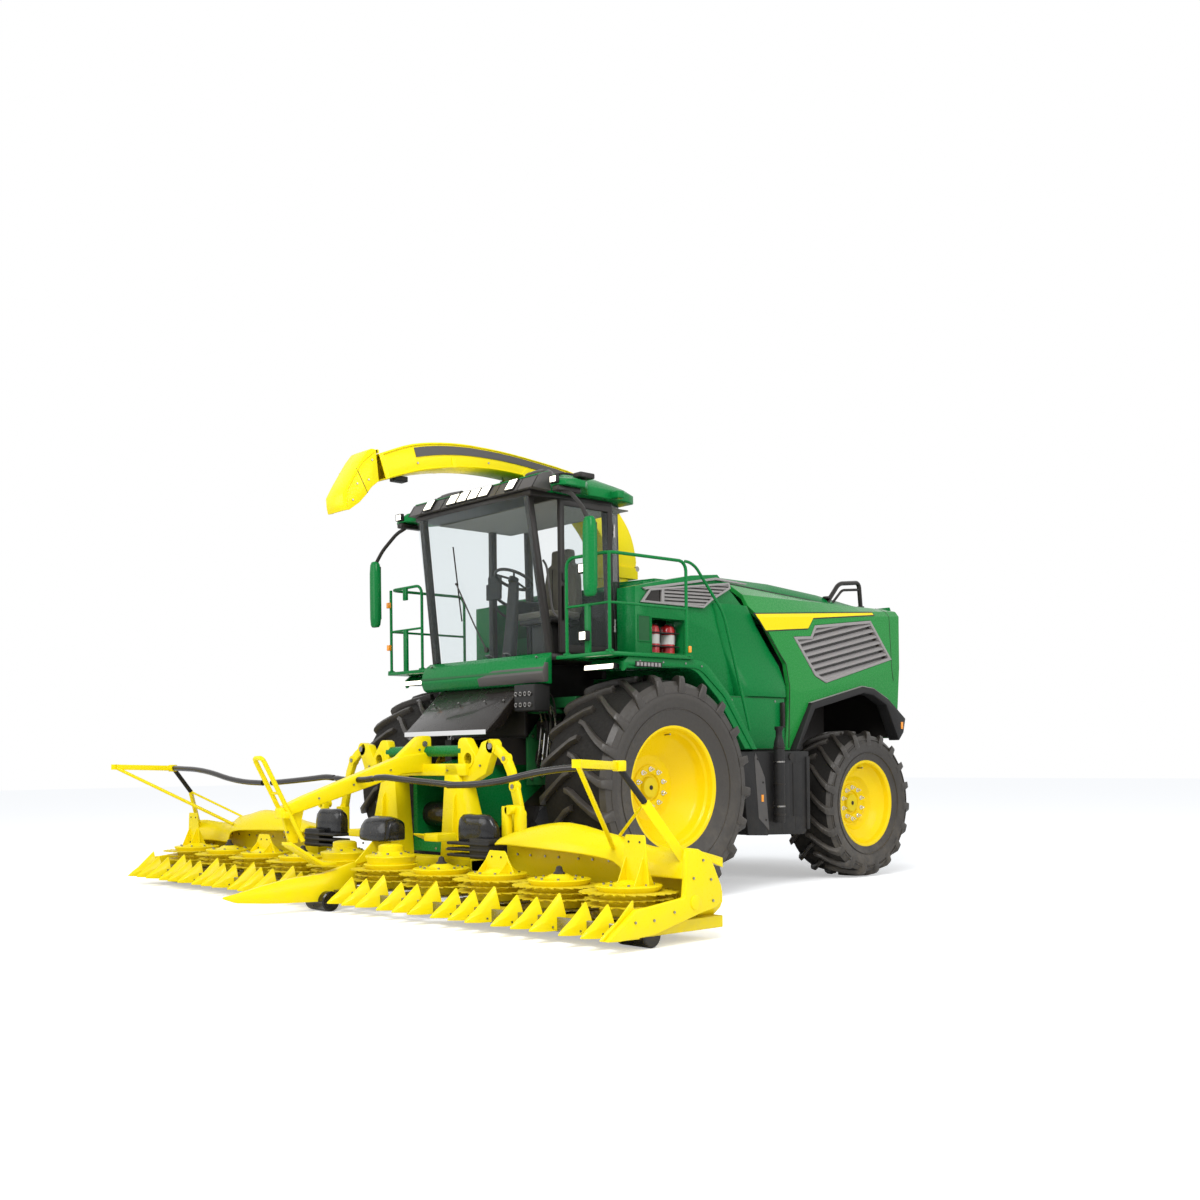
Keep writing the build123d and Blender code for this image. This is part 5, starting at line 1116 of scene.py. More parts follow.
FLAP = [(-2.078, 4.066), (-2.090, 4.082), (-2.125, 4.080), (-2.160, 4.060), (-2.230, 3.970), (-2.300, 3.860), (-2.372, 3.745),
        (-2.430, 3.640), (-2.424, 3.56), (-2.410, 3.50), (-2.360, 3.510), (-2.250, 3.590), (-2.180, 3.665),
        (-2.120, 3.740), (-2.045, 3.80), (-2.070, 4.035)]
shape = rounded(slab_x(FLAP, -0.140, 0.140), 0.006, 2, 60)
shape = cut(shape, slab_x([(-2.06, 3.70), (-2.062, 4.01), (-2.15, 4.02), (-2.40, 3.64), (-2.38, 3.45)], -0.126, 0.126))
parts = [give(shape, YELLOW)]
for sign in (1, -1):
    ear = joined([drum((sign * 0.0603, FLAP_Y, FLAP_Z), (sign * 0.130, FLAP_Y, FLAP_Z), 0.018, 24),
                  box(min(sign * 0.0603, sign * 0.13), max(sign * 0.0603, sign * 0.13), FLAP_Y - 0.05, FLAP_Y,
                      FLAP_Z - 0.014, FLAP_Z + 0.012)], "ear")
    parts.append(give(ear, YELLOW))
    parts.append(give(tube([(sign * 0.1405, -2.10, 4.055), (sign * 0.1405, -2.24, 3.935), (sign * 0.1405, -2.40, 3.66),
                            (sign * 0.1405, -2.39, 3.54)], 0.006, 0.05, 2), YELLOW))
    for y, z in ((-2.12, 3.98), (-2.16, 3.80), (-2.28, 3.75), (-2.33, 3.60)):
        parts.append(give(drum((sign * 0.139, y, z), (sign * 0.147, y, z), 0.009, 6), STEEL))
split_line = tube([(0.1405, -2.285, 3.885), (0.1405, -2.17, 3.68)], 0.003, 0, 1)
parts += [give(split_line, DARK), give(tube([(-0.1405, -2.285, 3.885), (-0.1405, -2.17, 3.68)], 0.003, 0, 1), DARK)]
single(parts, "deflector_flap", "spout_deflector", ["spout_flap"], 40)

# ---------------------------------------------------------------- cab inside
FLOOR = 2.27
SEAT = FLOOR + 0.38
parts = [give(rounded(box(-0.15, 0.15, 0.0, 0.25, FLOOR + 0.0003, SEAT + 0.02), 0.02, 3), DARK),
         give(rounded(box(-0.24, 0.24, -0.09, 0.30, SEAT, SEAT + 0.05), 0.012, 2), DARK)]
back = loft([[(-0.23 * w, y - 0.055, z), (0.23 * w, y - 0.055, z), (0.23 * w, y + 0.055, z), (-0.23 * w, y + 0.055, z)]
             for z, y, w in ((SEAT + 0.10, 0.305, 0.92), (SEAT + 0.16, 0.305, 1.0), (SEAT + 0.45, 0.300, 1.0),
                             (SEAT + 0.60, 0.305, 0.86), (SEAT + 0.63, 0.305, 0.6), (SEAT + 0.77, 0.305, 0.56))])
parts.append(give(rounded(back, 0.028, 4, 30), CLOTH))
for x in (-0.10, 0.10):
    parts.append(give(tube([(x, 0.248, SEAT + 0.14), (x, 0.243, SEAT + 0.58)], 0.004, 0, 1), DARK))
rest = rounded(box(-0.36, -0.27, -0.15, 0.25, SEAT + 0.12, SEAT + 0.26), 0.022, 4)
parts += [give(rest, PLASTIC), give(rounded(box(-0.30, -0.24, 0.10, 0.20, SEAT, SEAT + 0.20), 0.008, 2), DARK)]
grip = turned([(SEAT + 0.255, 0.0), (SEAT + 0.255, 0.022), (SEAT + 0.29, 0.012), (SEAT + 0.31, 0.022), (SEAT + 0.37, 0.026),
               (SEAT + 0.40, 0.015), (SEAT + 0.405, 0.0)], (-0.315, -0.09, 0), 20, "Z")
parts.append(give(smooth(grip, 40), DARK))
for k in range(3):
    parts.append(give(rounded(box(-0.345 + 0.026 * k, -0.328 + 0.026 * k, 0.02, 0.04, SEAT + 0.256, SEAT + 0.266), 0.003, 1),
                      (AMBER, GREY, GREEN)[k]))
monitor = rounded(box(-0.47, -0.25, -0.33, -0.30, SEAT + 0.26, SEAT + 0.42), 0.008, 3)
parts += [give(monitor, PLASTIC), give(box(-0.455, -0.265, -0.3005, -0.2985, SEAT + 0.275, SEAT + 0.405), BLACK_STEEL),
          give(tube([(-0.36, -0.315, SEAT + 0.30), (-0.35, -0.20, SEAT + 0.23), (-0.34, -0.10, SEAT + 0.20)], 0.016, 0.04, 3),
               DARK)]
WHEEL_AT = Vector((0.0, -0.36, FLOOR + 0.80))
column = slab_x([(-0.48, FLOOR + 0.0003), (-0.38, FLOOR + 0.0003), (-0.35, FLOOR + 0.40), (-0.335, FLOOR + 0.76),
                 (-0.38, FLOOR + 0.79), (-0.42, FLOOR + 0.42)], -0.065, 0.065)
parts.append(give(rounded(column, 0.018, 3, 20), PLASTIC))
tilt = math.atan(0.5)
clear_selection()
bpy.ops.mesh.primitive_torus_add(major_radius=0.190, minor_radius=0.0155, major_segments=48, minor_segments=12,
                                 location=at(WHEEL_AT), rotation=(-tilt, 0, 0))
ring = settle(bpy.context.object)
parts.append(give(ring, DARK))
for turn in (0.0, 2.3, -2.3):
    reach = Vector((math.sin(turn) * 0.185, math.cos(turn) * 0.185 * math.cos(tilt), -math.cos(turn) * 0.185 * math.sin(tilt)))
    parts.append(give(tube([tuple(WHEEL_AT), tuple(WHEEL_AT + reach)], 0.011, 0, 2), DARK))
parts.append(give(drum(tuple(WHEEL_AT - Vector((0, 0.012, 0.026))), tuple(WHEEL_AT + Vector((0, 0.007, 0.014))), 0.050, 24),
                  PLASTIC))
for x in (-0.14, 0.14):
    parts.append(give(rounded(slab_x([(-0.60, FLOOR + 0.05), (-0.52, FLOOR + 0.012), (-0.515, FLOOR + 0.024),
                                      (-0.595, FLOOR + 0.062)], x - 0.035, x + 0.035), 0.004, 1), STEEL))
single(parts, "seat_and_controls", "chassis", ["cab_interior"], 40)

cushion = rounded(box(-0.26, 0.26, -0.12, 0.30, SEAT + 0.0505, SEAT + 0.12), 0.030, 5)
dress(cushion, "seat_cushion", CLOTH, "chassis", angle=60)

# door handle, wiper
parts = [give(rounded(box(0.961, 0.992, -0.60, -0.58, FLOOR + 0.30, FLOOR + 0.62), 0.006, 3), DARK),
         give(rounded(box(0.966, 0.985, -0.60, -0.545, FLOOR + 0.66, FLOOR + 0.74), 0.006, 3), PLASTIC)]
single(parts, "door_handle", "cab_door")


def on_screen(x, z, out):
    """Place before the windscreen."""
    return (x, -0.712 - (z - 2.282) * 0.1382 - out, z)


parts = [give(tube([on_screen(0.02, 2.36, 0.008), on_screen(-0.10, 2.62, 0.030), on_screen(-0.30, 3.02, 0.026)], 0.008, 0.04, 2),
              DARK),
         give(tube([on_screen(-0.30, 2.66, 0.012), on_screen(-0.30, 3.38, 0.012)], 0.007, 0, 2), DARK),
         give(drum(on_screen(0.02, 2.36, -0.004), on_screen(0.02, 2.36, 0.018), 0.026, 20), DARK),
         give(drum(on_screen(-0.30, 3.02, 0.010), on_screen(-0.30, 3.02, 0.034), 0.012, 12), DARK)]
single(parts, "wiper", "chassis")

# ---------------------------------------------------------------- header frame, boom and hoop
def ribbon(path, half):
    """Outline of a flat bar that follows a path of (u, v) points."""
    left, right = [], []
    for k, (u, v) in enumerate(path):
        before, after = path[max(k - 1, 0)], path[min(k + 1, len(path) - 1)]
        a = Vector((u - before[0], v - before[1])) if k else Vector((after[0] - u, after[1] - v))
        b = Vector((after[0] - u, after[1] - v)) if k < len(path) - 1 else a
        a, b = a.normalized(), b.normalized()
        normal = Vector((-(a.y + b.y), a.x + b.x)).normalized()
        reach = half / max(normal.dot(Vector((-a.y, a.x))), 0.4)
        left.append((u + normal.x * reach, v + normal.y * reach))
        right.append((u - normal.x * reach, v - normal.y * reach))
    return left + right[::-1]


def bolt(a, b, radius=0.011):
    return give(drum(a, b, radius, 6), STEEL)


Y0, Y1 = -1.5397, -1.37
CROSS_LOW, CROSS_TOP = 1.16, 1.27
HORN_Y0, HORN_Y1 = -1.50, -1.42
post = rounded(slab_y([(0.30, 0.30), (0.76, 0.30), (0.76, 0.69), (0.70, 0.87), (0.62, 1.10), (0.56, CROSS_TOP),
                       (0.40, CROSS_TOP)], Y0, Y1), 0.008, 2, 20)
HORN = [(0.54, 1.09), (0.54, 1.45), (0.556, 1.486), (0.59, 1.50), (0.64, 1.50), (0.672, 1.487), (0.70, 1.45), (0.80, 1.33),
        (0.852, 1.415), (0.875, 1.452), (0.90, 1.462), (0.96, 1.475), (0.998, 1.472), (1.012, 1.45), (1.032, 1.41),
        (1.028, 1.38), (0.93, 1.18), (0.70, 1.09)]
horn = cut(slab_y(HORN, HORN_Y0, HORN_Y1), drum((0.69, -1.60, 1.31), (0.69, -1.30, 1.31), 0.055, 32))
horn = rounded(horn, 0.004, 2, 50)
collar = cut(drum((0.69, -1.508, 1.31), (0.69, -1.412, 1.31), 0.078, 32), drum((0.69, -1.60, 1.31), (0.69, -1.30, 1.31),
                                                                          0.055, 32))
ARM = [(1.00, 1.42), (1.10, 1.368), (1.18, 1.31), (1.245, 1.20), (1.29, 1.07), (1.36, 0.83)]
arm = rounded(slab_y(ribbon(ARM, 0.042), -1.495, -1.445), 0.006, 2, 40)
parts = [give(post, YELLOW), give(horn, YELLOW), give(collar, YELLOW), give(arm, YELLOW)]
parts.append(give(drum((1.00, HORN_Y0, 1.42), (1.00, HORN_Y1, 1.42), 0.062, 32), YELLOW))
for x, z, radius in ((1.18, 1.31, 0.046), (1.29, 1.07, 0.046), (1.36, 0.83, 0.046)):
    parts.append(give(drum((x, -1.50, z), (x, -1.44, z), radius, 28), YELLOW))
    parts.append(give(drum((x, -1.508, z), (x, -1.50, z), 0.020, 18), STEEL))
parts.append(give(drum((1.00, -1.512, 1.42), (1.00, -1.50, 1.42), 0.028, 20), STEEL))
parts.append(give(rounded(box(1.31, 1.41, -1.5397, -1.44, 0.56, 0.85), 0.010, 3), YELLOW))
for x, z in ((0.38, 0.36), (0.70, 0.36), (0.70, 0.62), (0.42, 0.62), (0.44, 1.21), (0.55, 1.21), (0.58, 1.13), (0.86, 1.25)):
    y = Y0 if z < 1.0 or x < 0.5 else HORN_Y0
    parts.append(bolt((x, y + 0.002, z), (x, y - 0.012, z)))
rib = slab_x([(Y0 + 0.002, 0.45), (Y0 - 0.055, 0.45), (Y0 - 0.03, 0.95), (Y0 + 0.002, 1.02)], 0.545, 0.560)
parts.append(give(rounded(rib, 0.003, 1), YELLOW))
whole = joined(parts, "frame_half")
twin = mirrored(whole)
parts = [whole, twin]
parts.append(give(rounded(box(-0.76, 0.76, Y0, Y1, 0.30, 0.42), 0.010, 2), YELLOW))
parts.append(give(rounded(box(-0.70, 0.70, Y0, Y1, CROSS_LOW, CROSS_TOP), 0.010, 2), YELLOW))
parts.append(give(smooth(drum((-0.58, -1.455, 1.385), (0.58, -1.455, 1.385), 0.050, 28), 30), GREEN))
BOOM = [(-1.43, 1.29, 0.095), (-1.76, 1.26, 0.085), (-2.27, 1.10, 0.073), (-2.78, 0.945, 0.060), (-3.03, 0.86, 0.045)]
boom = loft([[(-0.062, y, z - d), (0.062, y, z - d), (0.062, y, z + d), (-0.062, y, z + d)] for y, z, d in BOOM])
parts.append(give(rounded(boom, 0.014, 3, 40), YELLOW))
hook = slab_x([(-1.42, 1.25), (-1.42, 1.50), (-1.43, 1.525), (-1.45, 1.53), (-1.52, 1.53), (-1.56, 1.52), (-1.59, 1.50),
               (-1.80, 1.33), (-1.74, 1.20)], -0.04, 0.04)
parts.append(give(rounded(hook, 0.006, 2, 40), YELLOW))
parts.append(give(drum((-0.052, -1.50, 1.455), (0.052, -1.50, 1.455), 0.026, 20), STEEL))
hoop = tube([(-0.07, -2.83, 0.62), (-0.07, -3.19, 1.29), (-0.07, -3.215, 1.335), (0.07, -3.215, 1.335), (0.07, -3.19, 1.29),
             (0.07, -2.83, 0.62)], 0.0205, 0.035, 4)
parts.append(give(smooth(hoop, 40), YELLOW))
for share in (0.30, 0.62):
    y, z = -2.83 - 0.36 * share, 0.62 + 0.67 * share
    parts.append(give(smooth(drum((-0.07, y, z), (0.07, y, z), 0.012, 16), 30), YELLOW))
parts.append(give(rounded(slab_x([(-2.78, 0.90), (-3.0, 0.85), (-2.93, 0.60), (-2.85, 0.60)], -0.018, 0.018), 0.004, 1), YELLOW))
parts.append(give(rounded(slab_x([(-2.95, 0.615), (-2.95, 0.585), (-2.64, 0.395), (-2.50, 0.395), (-2.50, 0.42),
                                  (-2.64, 0.43)], -0.085, 0.085), 0.005, 2), YELLOW))
parts.append(give(rounded(box(-0.085, 0.085, -3.02, -2.96, 0.82, 0.88), 0.008, 2), YELLOW))
for y, z in ((-2.95, 0.70), (-2.90, 0.80), (-1.56, 1.40), (-1.68, 1.30)):
    for sign in (1, -1):
        x = 0.018 if y < -2 else 0.040
        parts.append(bolt((sign * (x - 0.002), y, z), (sign * (x + 0.010), y, z)))
for y in (-1.90, -2.30, -2.66):
    z = between([(-1.43, 1.29), (-1.76, 1.26), (-2.78, 0.945)][::1], y, 1) if y > -1.76 else 1.26 + (y + 1.76) * 0.3088
    for sign in (1, -1):
        parts.append(bolt((sign * 0.060, y, z), (sign * 0.071, y, z), 0.010))
single(parts, "header_stand", "header", ["header_frame"], 40)

# ---------------------------------------------------------------- decks
PITCH_HALF = PITCH / 2
TIP_Y, TIP_Z, DECK_LOW, DECK_TOP = -2.74, 0.10, 0.085, 0.17
BEAM_FRONT, BEAM_REAR = -1.72, -1.54
FOLD_X, FOLD_GAP = 1.46, 0.008
FINGER_BACK = -2.486
FINGERS = [(-0.06, 0.305, 0.062, FINGER_BACK), (0.16, 0.305, 0.062, FINGER_BACK), (PITCH_HALF, 0.345, 0.070, -2.45)]


def finger(ridge, half, back):
    """Pointed crop divider at x = 0, with a folded ridge and a bolted shoe."""
    def ring(y, share, low, shoulder, top):
        across = [(-1, low), (1, low), (1, shoulder), (0.5, shoulder + (top - shoulder) * 0.62), (0.14, top), (-0.14, top),
                  (-0.5, shoulder + (top - shoulder) * 0.62), (-1, shoulder)]
        return [(half * share * u, y, z) for u, z in across]
    shape = loft([ring(TIP_Y, 0.13, TIP_Z - 0.008, TIP_Z, TIP_Z + 0.006), ring(TIP_Y + 0.05, 0.40, 0.089, 0.128, 0.146),
                  ring(TIP_Y + 0.11, 0.62, DECK_LOW, 0.150, 0.185), ring(back, 1, DECK_LOW, 0.190, ridge)])
    pieces = [give(rounded(shape, 0.0025, 1, 30), YELLOW)]
    for share in (0.35, 0.75):
        y = TIP_Y + 0.11 + (back - TIP_Y - 0.11) * share
        for sign in (1, -1):
            x = sign * half * (0.62 + 0.38 * share)
            pieces.append(give(drum((x * 0.97, y, 0.115), (x * 1.03 + sign * 0.003, y, 0.115), 0.008, 6), STEEL))
    return joined(pieces, "finger")


def put(obj, x, keep=None):
    twin = moved(copied(obj), (x, 0, 0))
    if keep:
        twin = cut(twin, box(keep[0], keep[1], TIP_Y - 0.1, -2.2, -0.1, 0.7), "INTERSECT")
    return twin


small_finger, large_finger = finger(*FINGERS[0][1:]), finger(*FINGERS[2][1:])


def section(rows, x0, x1):
    parts = [give(rounded(box(x0, x1, -2.52, BEAM_REAR, DECK_LOW, DECK_TOP), 0.004, 1), YELLOW_WORN),
             give(rounded(box(x0, x1, BEAM_FRONT, BEAM_REAR, DECK_TOP - 0.005, 0.60), 0.010, 2), YELLOW),
             give(rounded(box(x0, x1, -2.53, -2.50, DECK_LOW - 0.005, DECK_TOP + 0.012), 0.003, 1), STEEL)]
    for row in rows:
        middle = PITCH * (row + 0.5)
        for offset, _, half, _ in FINGERS:
            x = middle + offset
            keep = None if x - half >= x0 and x + half <= x1 else (x0 + 0.0002, x1 - 0.0002)
            parts.append(put(large_finger if half > 0.065 else small_finger, x, keep))
        if x0 > 0 and row == rows[0]:
            parts.append(put(large_finger, x0 - FOLD_GAP, (x0 + 0.0002, x1)))
        parts.append(give(turned([(DECK_TOP - 0.004, 0.0), (DECK_TOP - 0.004, 0.112), (DECK_TOP + 0.008, 0.108),
                                  (0.1897, 0.106), (0.1897, 0.0)], (middle, ROTOR_Y, 0), 32, "Z"), DARK))
        for u in (-0.24, -0.08, 0.10, 0.26):            # stripper plates behind the rotors
            scraper = slab_x([(BEAM_FRONT + 0.002, 0.24), (BEAM_FRONT - 0.045, 0.24), (BEAM_FRONT - 0.045, 0.252),
                              (BEAM_FRONT - 0.02, 0.30), (BEAM_FRONT + 0.002, 0.34)], middle + u - 0.004, middle + u + 0.004)
            parts.append(give(scraper, YELLOW))
            parts.append(bolt((middle + u + 0.03, BEAM_FRONT + 0.002, 0.52), (middle + u + 0.03, BEAM_FRONT - 0.010, 0.52), 0.010))
    return parts


def skid(x0, x1, y):
    roller = turned([(x0, 0.0), (x0, 0.078), (x0 + 0.010, 0.088), (x1 - 0.010, 0.088), (x1, 0.078), (x1, 0.0)],
                    (0, y, 0.088), 40, "X")
    return [give(smooth(roller, 30), BLACK_STEEL), give(box(x0 + 0.02, x1 - 0.02, y - 0.03, y + 0.03, 0.088, 0.125), YELLOW_WORN)]


parts = section(range(2), 0.0, FOLD_X - FOLD_GAP)
parts.append(give(rounded(box(0.50, 0.70, -1.86, -1.64, 0.59, 0.66), 0.008, 2), YELLOW))
motor = turned([(0.64, 0.0), (0.64, 0.100), (0.66, 0.105), (0.86, 0.105), (0.875, 0.098), (0.885, 0.08), (0.89, 0.0)],
               (0.67, -1.76, 0), 36, "Z")
parts.append(give(smooth(motor, 30), YELLOW))
for k in range(6):
    turn = k * PI / 3
    x, y = 0.67 + 0.080 * math.cos(turn), -1.76 + 0.080 * math.sin(turn)
    parts.append(bolt((x, y, 0.875), (x, y, 0.889), 0.009))
parts.append(give(rounded(slab_x([(-1.70, 0.585), (-1.725, 0.585), (-1.86, 0.64), (-1.86, 0.655), (-1.70, 0.64)], 0.34, 0.52),
                          0.004, 1), YELLOW))
lug = [box(FOLD_X - 0.08, FOLD_X - FOLD_GAP, -1.70, -1.64, 0.59, 0.91),
       drum((FOLD_X, -1.70, 0.88), (FOLD_X, -1.64, 0.88), 0.040, 28)]
parts += [give(rounded(lug[0], 0.006, 2), YELLOW), give(smooth(lug[1], 30), YELLOW)]
whole = joined(parts, "centre_half")
twin = mirrored(whole)
whole_deck = joined([whole, twin], "centre")
whole_deck = cut(whole_deck, box(-0.33, 0.33, BEAM_FRONT - 0.005, BEAM_REAR + 0.005, 0.30, 0.70))
NOSE = [(-3.56, 0.008, 0.170, 0.186), (-3.44, 0.034, 0.128, 0.205), (-3.20, 0.050, 0.108, 0.254),
        (-2.96, 0.062, 0.095, 0.296), (-2.60, 0.078, DECK_LOW, 0.322), (-2.48, 0.078, DECK_LOW, 0.350),
        (-2.30, 0.034, DECK_LOW, 0.398), (-2.24, 0.012, DECK_LOW, 0.405)]      # y, half, low, top
nose = loft([[(-h, y, low), (h, y, low), (h, y, low + (top - low) * 0.62), (h * 0.5, y, top), (-h * 0.5, y, top),
              (-h, y, low + (top - low) * 0.62)] for y, h, low, top in NOSE])
parts = [whole_deck, give(rounded(nose, 0.006, 2, 30), YELLOW)]
parts.append(give(slab_x([(-2.27, 0.385), (-1.87, 0.44), (-1.87, 0.5797), (-2.06, 0.5797)], -0.009, 0.009), YELLOW))
parts += skid(-0.15, 0.15, -2.60)
single(parts, "centre_section", "header", ["centre_deck"], 40)

COVER = [(1.50, -1.880, 0.605, -1.790, 0.660, 0.640), (1.65, -1.900, 0.615, -1.790, 0.705, 0.650),
         (2.00, -1.960, 0.612, -1.810, 0.775, 0.660), (2.34, -1.990, 0.605, -1.810, 0.805, 0.660),
         (2.68, -1.980, 0.588, -1.810, 0.752, 0.650), (2.92, -1.920, 0.545, -1.810, 0.715, 0.640),
         (3.04, -1.890, 0.452, -1.800, 0.668, 0.630), (3.30, -1.885, 0.455, -1.780, 0.640, 0.625),
         (3.55, -1.960, 0.462, -1.850, 0.668, 0.600), (3.66, -1.970, 0.462, -1.900, 0.664, 0.580)]
loops = []
for x, lip_y, lip_z, ridge_y, ridge_z, rear_z in eased(COVER, 3):
    def across(share, bulge):
        y = lip_y + (ridge_y - lip_y) * share
        return (x, y - bulge * 0.3, lip_z + (ridge_z - lip_z) * share + bulge)
    rise = (ridge_z - lip_z) * 0.13
    loops.append([(x, lip_y, lip_z), across(0.35, rise), across(0.70, rise), (x, ridge_y, ridge_z),
                  (x, ridge_y + 0.07, ridge_z - 0.012), (x, BEAM_REAR, rear_z), (x, BEAM_REAR, rear_z - 0.07),
                  (x, ridge_y + 0.05, ridge_z - 0.040), (x, ridge_y, ridge_z - 0.022), (x, lip_y + 0.01, lip_z - 0.011)])
END_X, END_IN = 3.70, 3.655
parts = section(range(2, 5), FOLD_X + FOLD_GAP, END_IN)
CORNERS = [[(3.30, 0.80), (3.30, 0.60), (3.42, 0.588), (3.52, 0.545), (3.60, 0.465), (3.64, 0.38), (3.645, 0.345), (3.75, 0.345),
            (3.75, 0.80)],
           [(3.30, 0.02), (3.30, 0.095), (3.46, 0.12), (3.57, 0.17), (3.63, 0.225), (3.645, 0.262), (3.75, 0.262), (3.75, 0.02)]]
for k, sheet in enumerate(parts):                   # the back wall's outer corners are round
    low, high = (Vector([pick(v.co[axis] for v in sheet.data.vertices) for axis in range(3)]) for pick in (min, max))
    if high.x > END_IN - 0.01 and low.y + 0.65 > -1.75:
        for corner in CORNERS:
            sheet = cut(sheet, slab_y(corner, -1.78, -1.40))
        parts[k] = sheet
parts.append(give(rounded(loft(loops), 0.003, 1, 45), YELLOW))
END_PLATE = [(TIP_Y, TIP_Z - 0.008), (-2.46, 0.285), (-2.36, 0.290), (-1.99, 0.33), (-1.972, 0.46), (-1.966, 0.60),
             (-1.955, 0.655), (-1.93, 0.672), (-1.84, 0.660), (-1.775, 0.628), (-1.70, 0.57), (-1.665, 0.51), (-1.615, 0.40),
             (-1.607, 0.33), (-1.628, 0.262), (-1.66, 0.237), (-1.84, 0.205), (-2.29, 0.10), (-2.64, DECK_LOW)]
parts.append(give(rounded(slab_x(END_PLATE, END_IN, END_X), 0.010, 3, 20), YELLOW))
parts.append(put(finger(0.285, 0.060, -2.43), 3.63, (3.56, END_X)))
parts.append(give(rounded(drum((END_X - 0.01, -1.88, 0.29), (END_X + 0.0099, -1.88, 0.29), 0.052, 32), 0.004, 2, 50), YELLOW))
for y, z in ((-1.80, 0.58), (-1.72, 0.44), (-1.90, 0.46), (-2.10, 0.24), (-2.30, 0.20), (-2.48, 0.20), (-1.70, 0.29)):
    parts.append(bolt((END_X - 0.002, y, z), (END_X + 0.008, y, z), 0.010))
parts += skid(3.35, 3.64, -2.25)
parts.append(give(rounded(box(FOLD_X + FOLD_GAP, FOLD_X + 0.08, -1.6397, -1.58, 0.59, 0.91), 0.006, 2), YELLOW))
parts.append(give(smooth(drum((FOLD_X, -1.6397, 0.88), (FOLD_X, -1.58, 0.88), 0.040, 28), 30), YELLOW))
parts.append(give(smooth(drum((FOLD_X, -1.58, 0.88), (FOLD_X, -1.565, 0.88), 0.018, 20), 30), STEEL))
GUARD_END, GUARD_TIP, STRUT = (3.400, -2.330, 1.248), (3.604, -2.908, 1.268), (3.440, -2.110, 0.990)
parts.append(give(rounded(box(3.379, 3.450, -2.367, -2.293, 1.211, 1.285), 0.008, 2), YELLOW))


def flat_bar(a, b, wide, deep):
    """Square bar between two places, wide across and deep upwards."""
    a, b = Vector(a), Vector(b)
    axis = (b - a).normalized()
    side = axis.cross(Vector((0, 0, 1))).normalized() * wide / 2
    rise = side.cross(axis).normalized() * deep / 2
    loops = [[tuple(p + side * u + rise * v) for u, v in ((-1, -1), (1, -1), (1, 1), (-1, 1))] for p in (a, b)]
    return rounded(loft(loops), 0.004, 2, 40)


parts.append(give(flat_bar(GUARD_END, GUARD_TIP, 0.044, 0.056), YELLOW))
parts.append(give(smooth(drum((3.604, -2.908, 1.240), (3.604, -2.908, 1.296), 0.034, 28), 30), YELLOW))
parts.append(give(smooth(drum(GUARD_TIP, (2.90, -1.89, 0.64), 0.0175, 20), 30), YELLOW))
parts.append(give(smooth(drum(GUARD_END, STRUT, 0.0235, 20), 30), PLASTIC))
parts.append(give(flat_bar(STRUT, (3.64, -1.90, 0.56), 0.026, 0.070), YELLOW))
parts.append(give(smooth(drum(STRUT, (2.83, -1.77, 0.70), 0.0118, 16), 30), YELLOW))
wing = pair(parts, "wing_section", ("wing_left", "wing_right"), ["wing_deck"], 40)
for obj in (small_finger, large_finger):
    bpy.data.objects.remove(obj)
for obj in list(bpy.data.objects):
    if obj.type == "MESH" and obj.name.startswith("finger"):
        bpy.data.objects.remove(obj)

guard = tube([(1.475, -2.33, 1.10), (2.0, -2.33, 1.11), (2.7, -2.33, 1.23), (3.376, -2.33, 1.248)], 0.0275, 0.28, 5)
pair([give(smooth(guard, 50), BLACK_STEEL)], "wing_guard_pipe", ("wing_left", "wing_right"), ["wing_guard"])
guard = tube([(0.0623, -2.25, 1.135), (0.22, -2.25, 1.135), (0.40, -2.25, 1.165), (0.90, -2.25, 1.130), (1.44, -2.25, 1.10)],
             0.0275, 0.12, 5)
whole = joined([give(smooth(guard, 50), BLACK_STEEL)], "centre_guard")
single([whole, mirrored(whole)], "centre_guard_pipe", "header", ["header_trim"])

# crop bags, dome and prongs between the horns and the rotors
BAG = [(0.92, 0.72), (0.94, 0.90), (0.98, 1.0), (1.06, 1.03), (1.14, 0.98), (1.22, 1.03), (1.30, 1.0), (1.35, 0.86), (1.39, 0.6)]
bag = loft([[(x, -1.75 + v * s, 0.74 + w * s + (0 if s > 0.9 else -0.1397 * (1 - s))) for v, w in
             ((-0.07, -0.1397), (0.04, -0.1397), (0.042, 0.02), (0.035, 0.065), (-0.01, 0.100), (-0.045, 0.094),
              (-0.062, 0.07), (-0.072, 0.0))] for x, s in BAG])
dome = loft([[(x, -1.99 + v * s, 0.64 + w * s) for v, w in
              ((-0.09, -0.06), (0.17, -0.06), (0.17, 0.10), (0.14, 0.135), (0.04, 0.165), (-0.03, 0.145), (-0.065, 0.095),
               (-0.088, 0.02))] for x, s in ((-0.23, 0.7), (-0.19, 0.88), (-0.12, 1.0), (0.12, 1.0), (0.19, 0.88), (0.23, 0.7))])
pieces = [give(rounded(bag, 0.012, 3, 30), VINYL)]
for z in (0.48, 0.53, 0.58):
    pieces.append(give(rounded(box(0.88, 1.44, -1.90, -1.7203, z, z + 0.026), 0.008, 2), PLASTIC))
pieces.append(give(rounded(box(1.18, 1.44, -1.89, -1.7203, 0.47, 0.64), 0.008, 2), PLASTIC))
whole = joined(pieces, "flaps")
single([whole, mirrored(whole), give(rounded(dome, 0.014, 3, 30), VINYL)], "crop_bags", "header", ["header_flaps"],
       50)

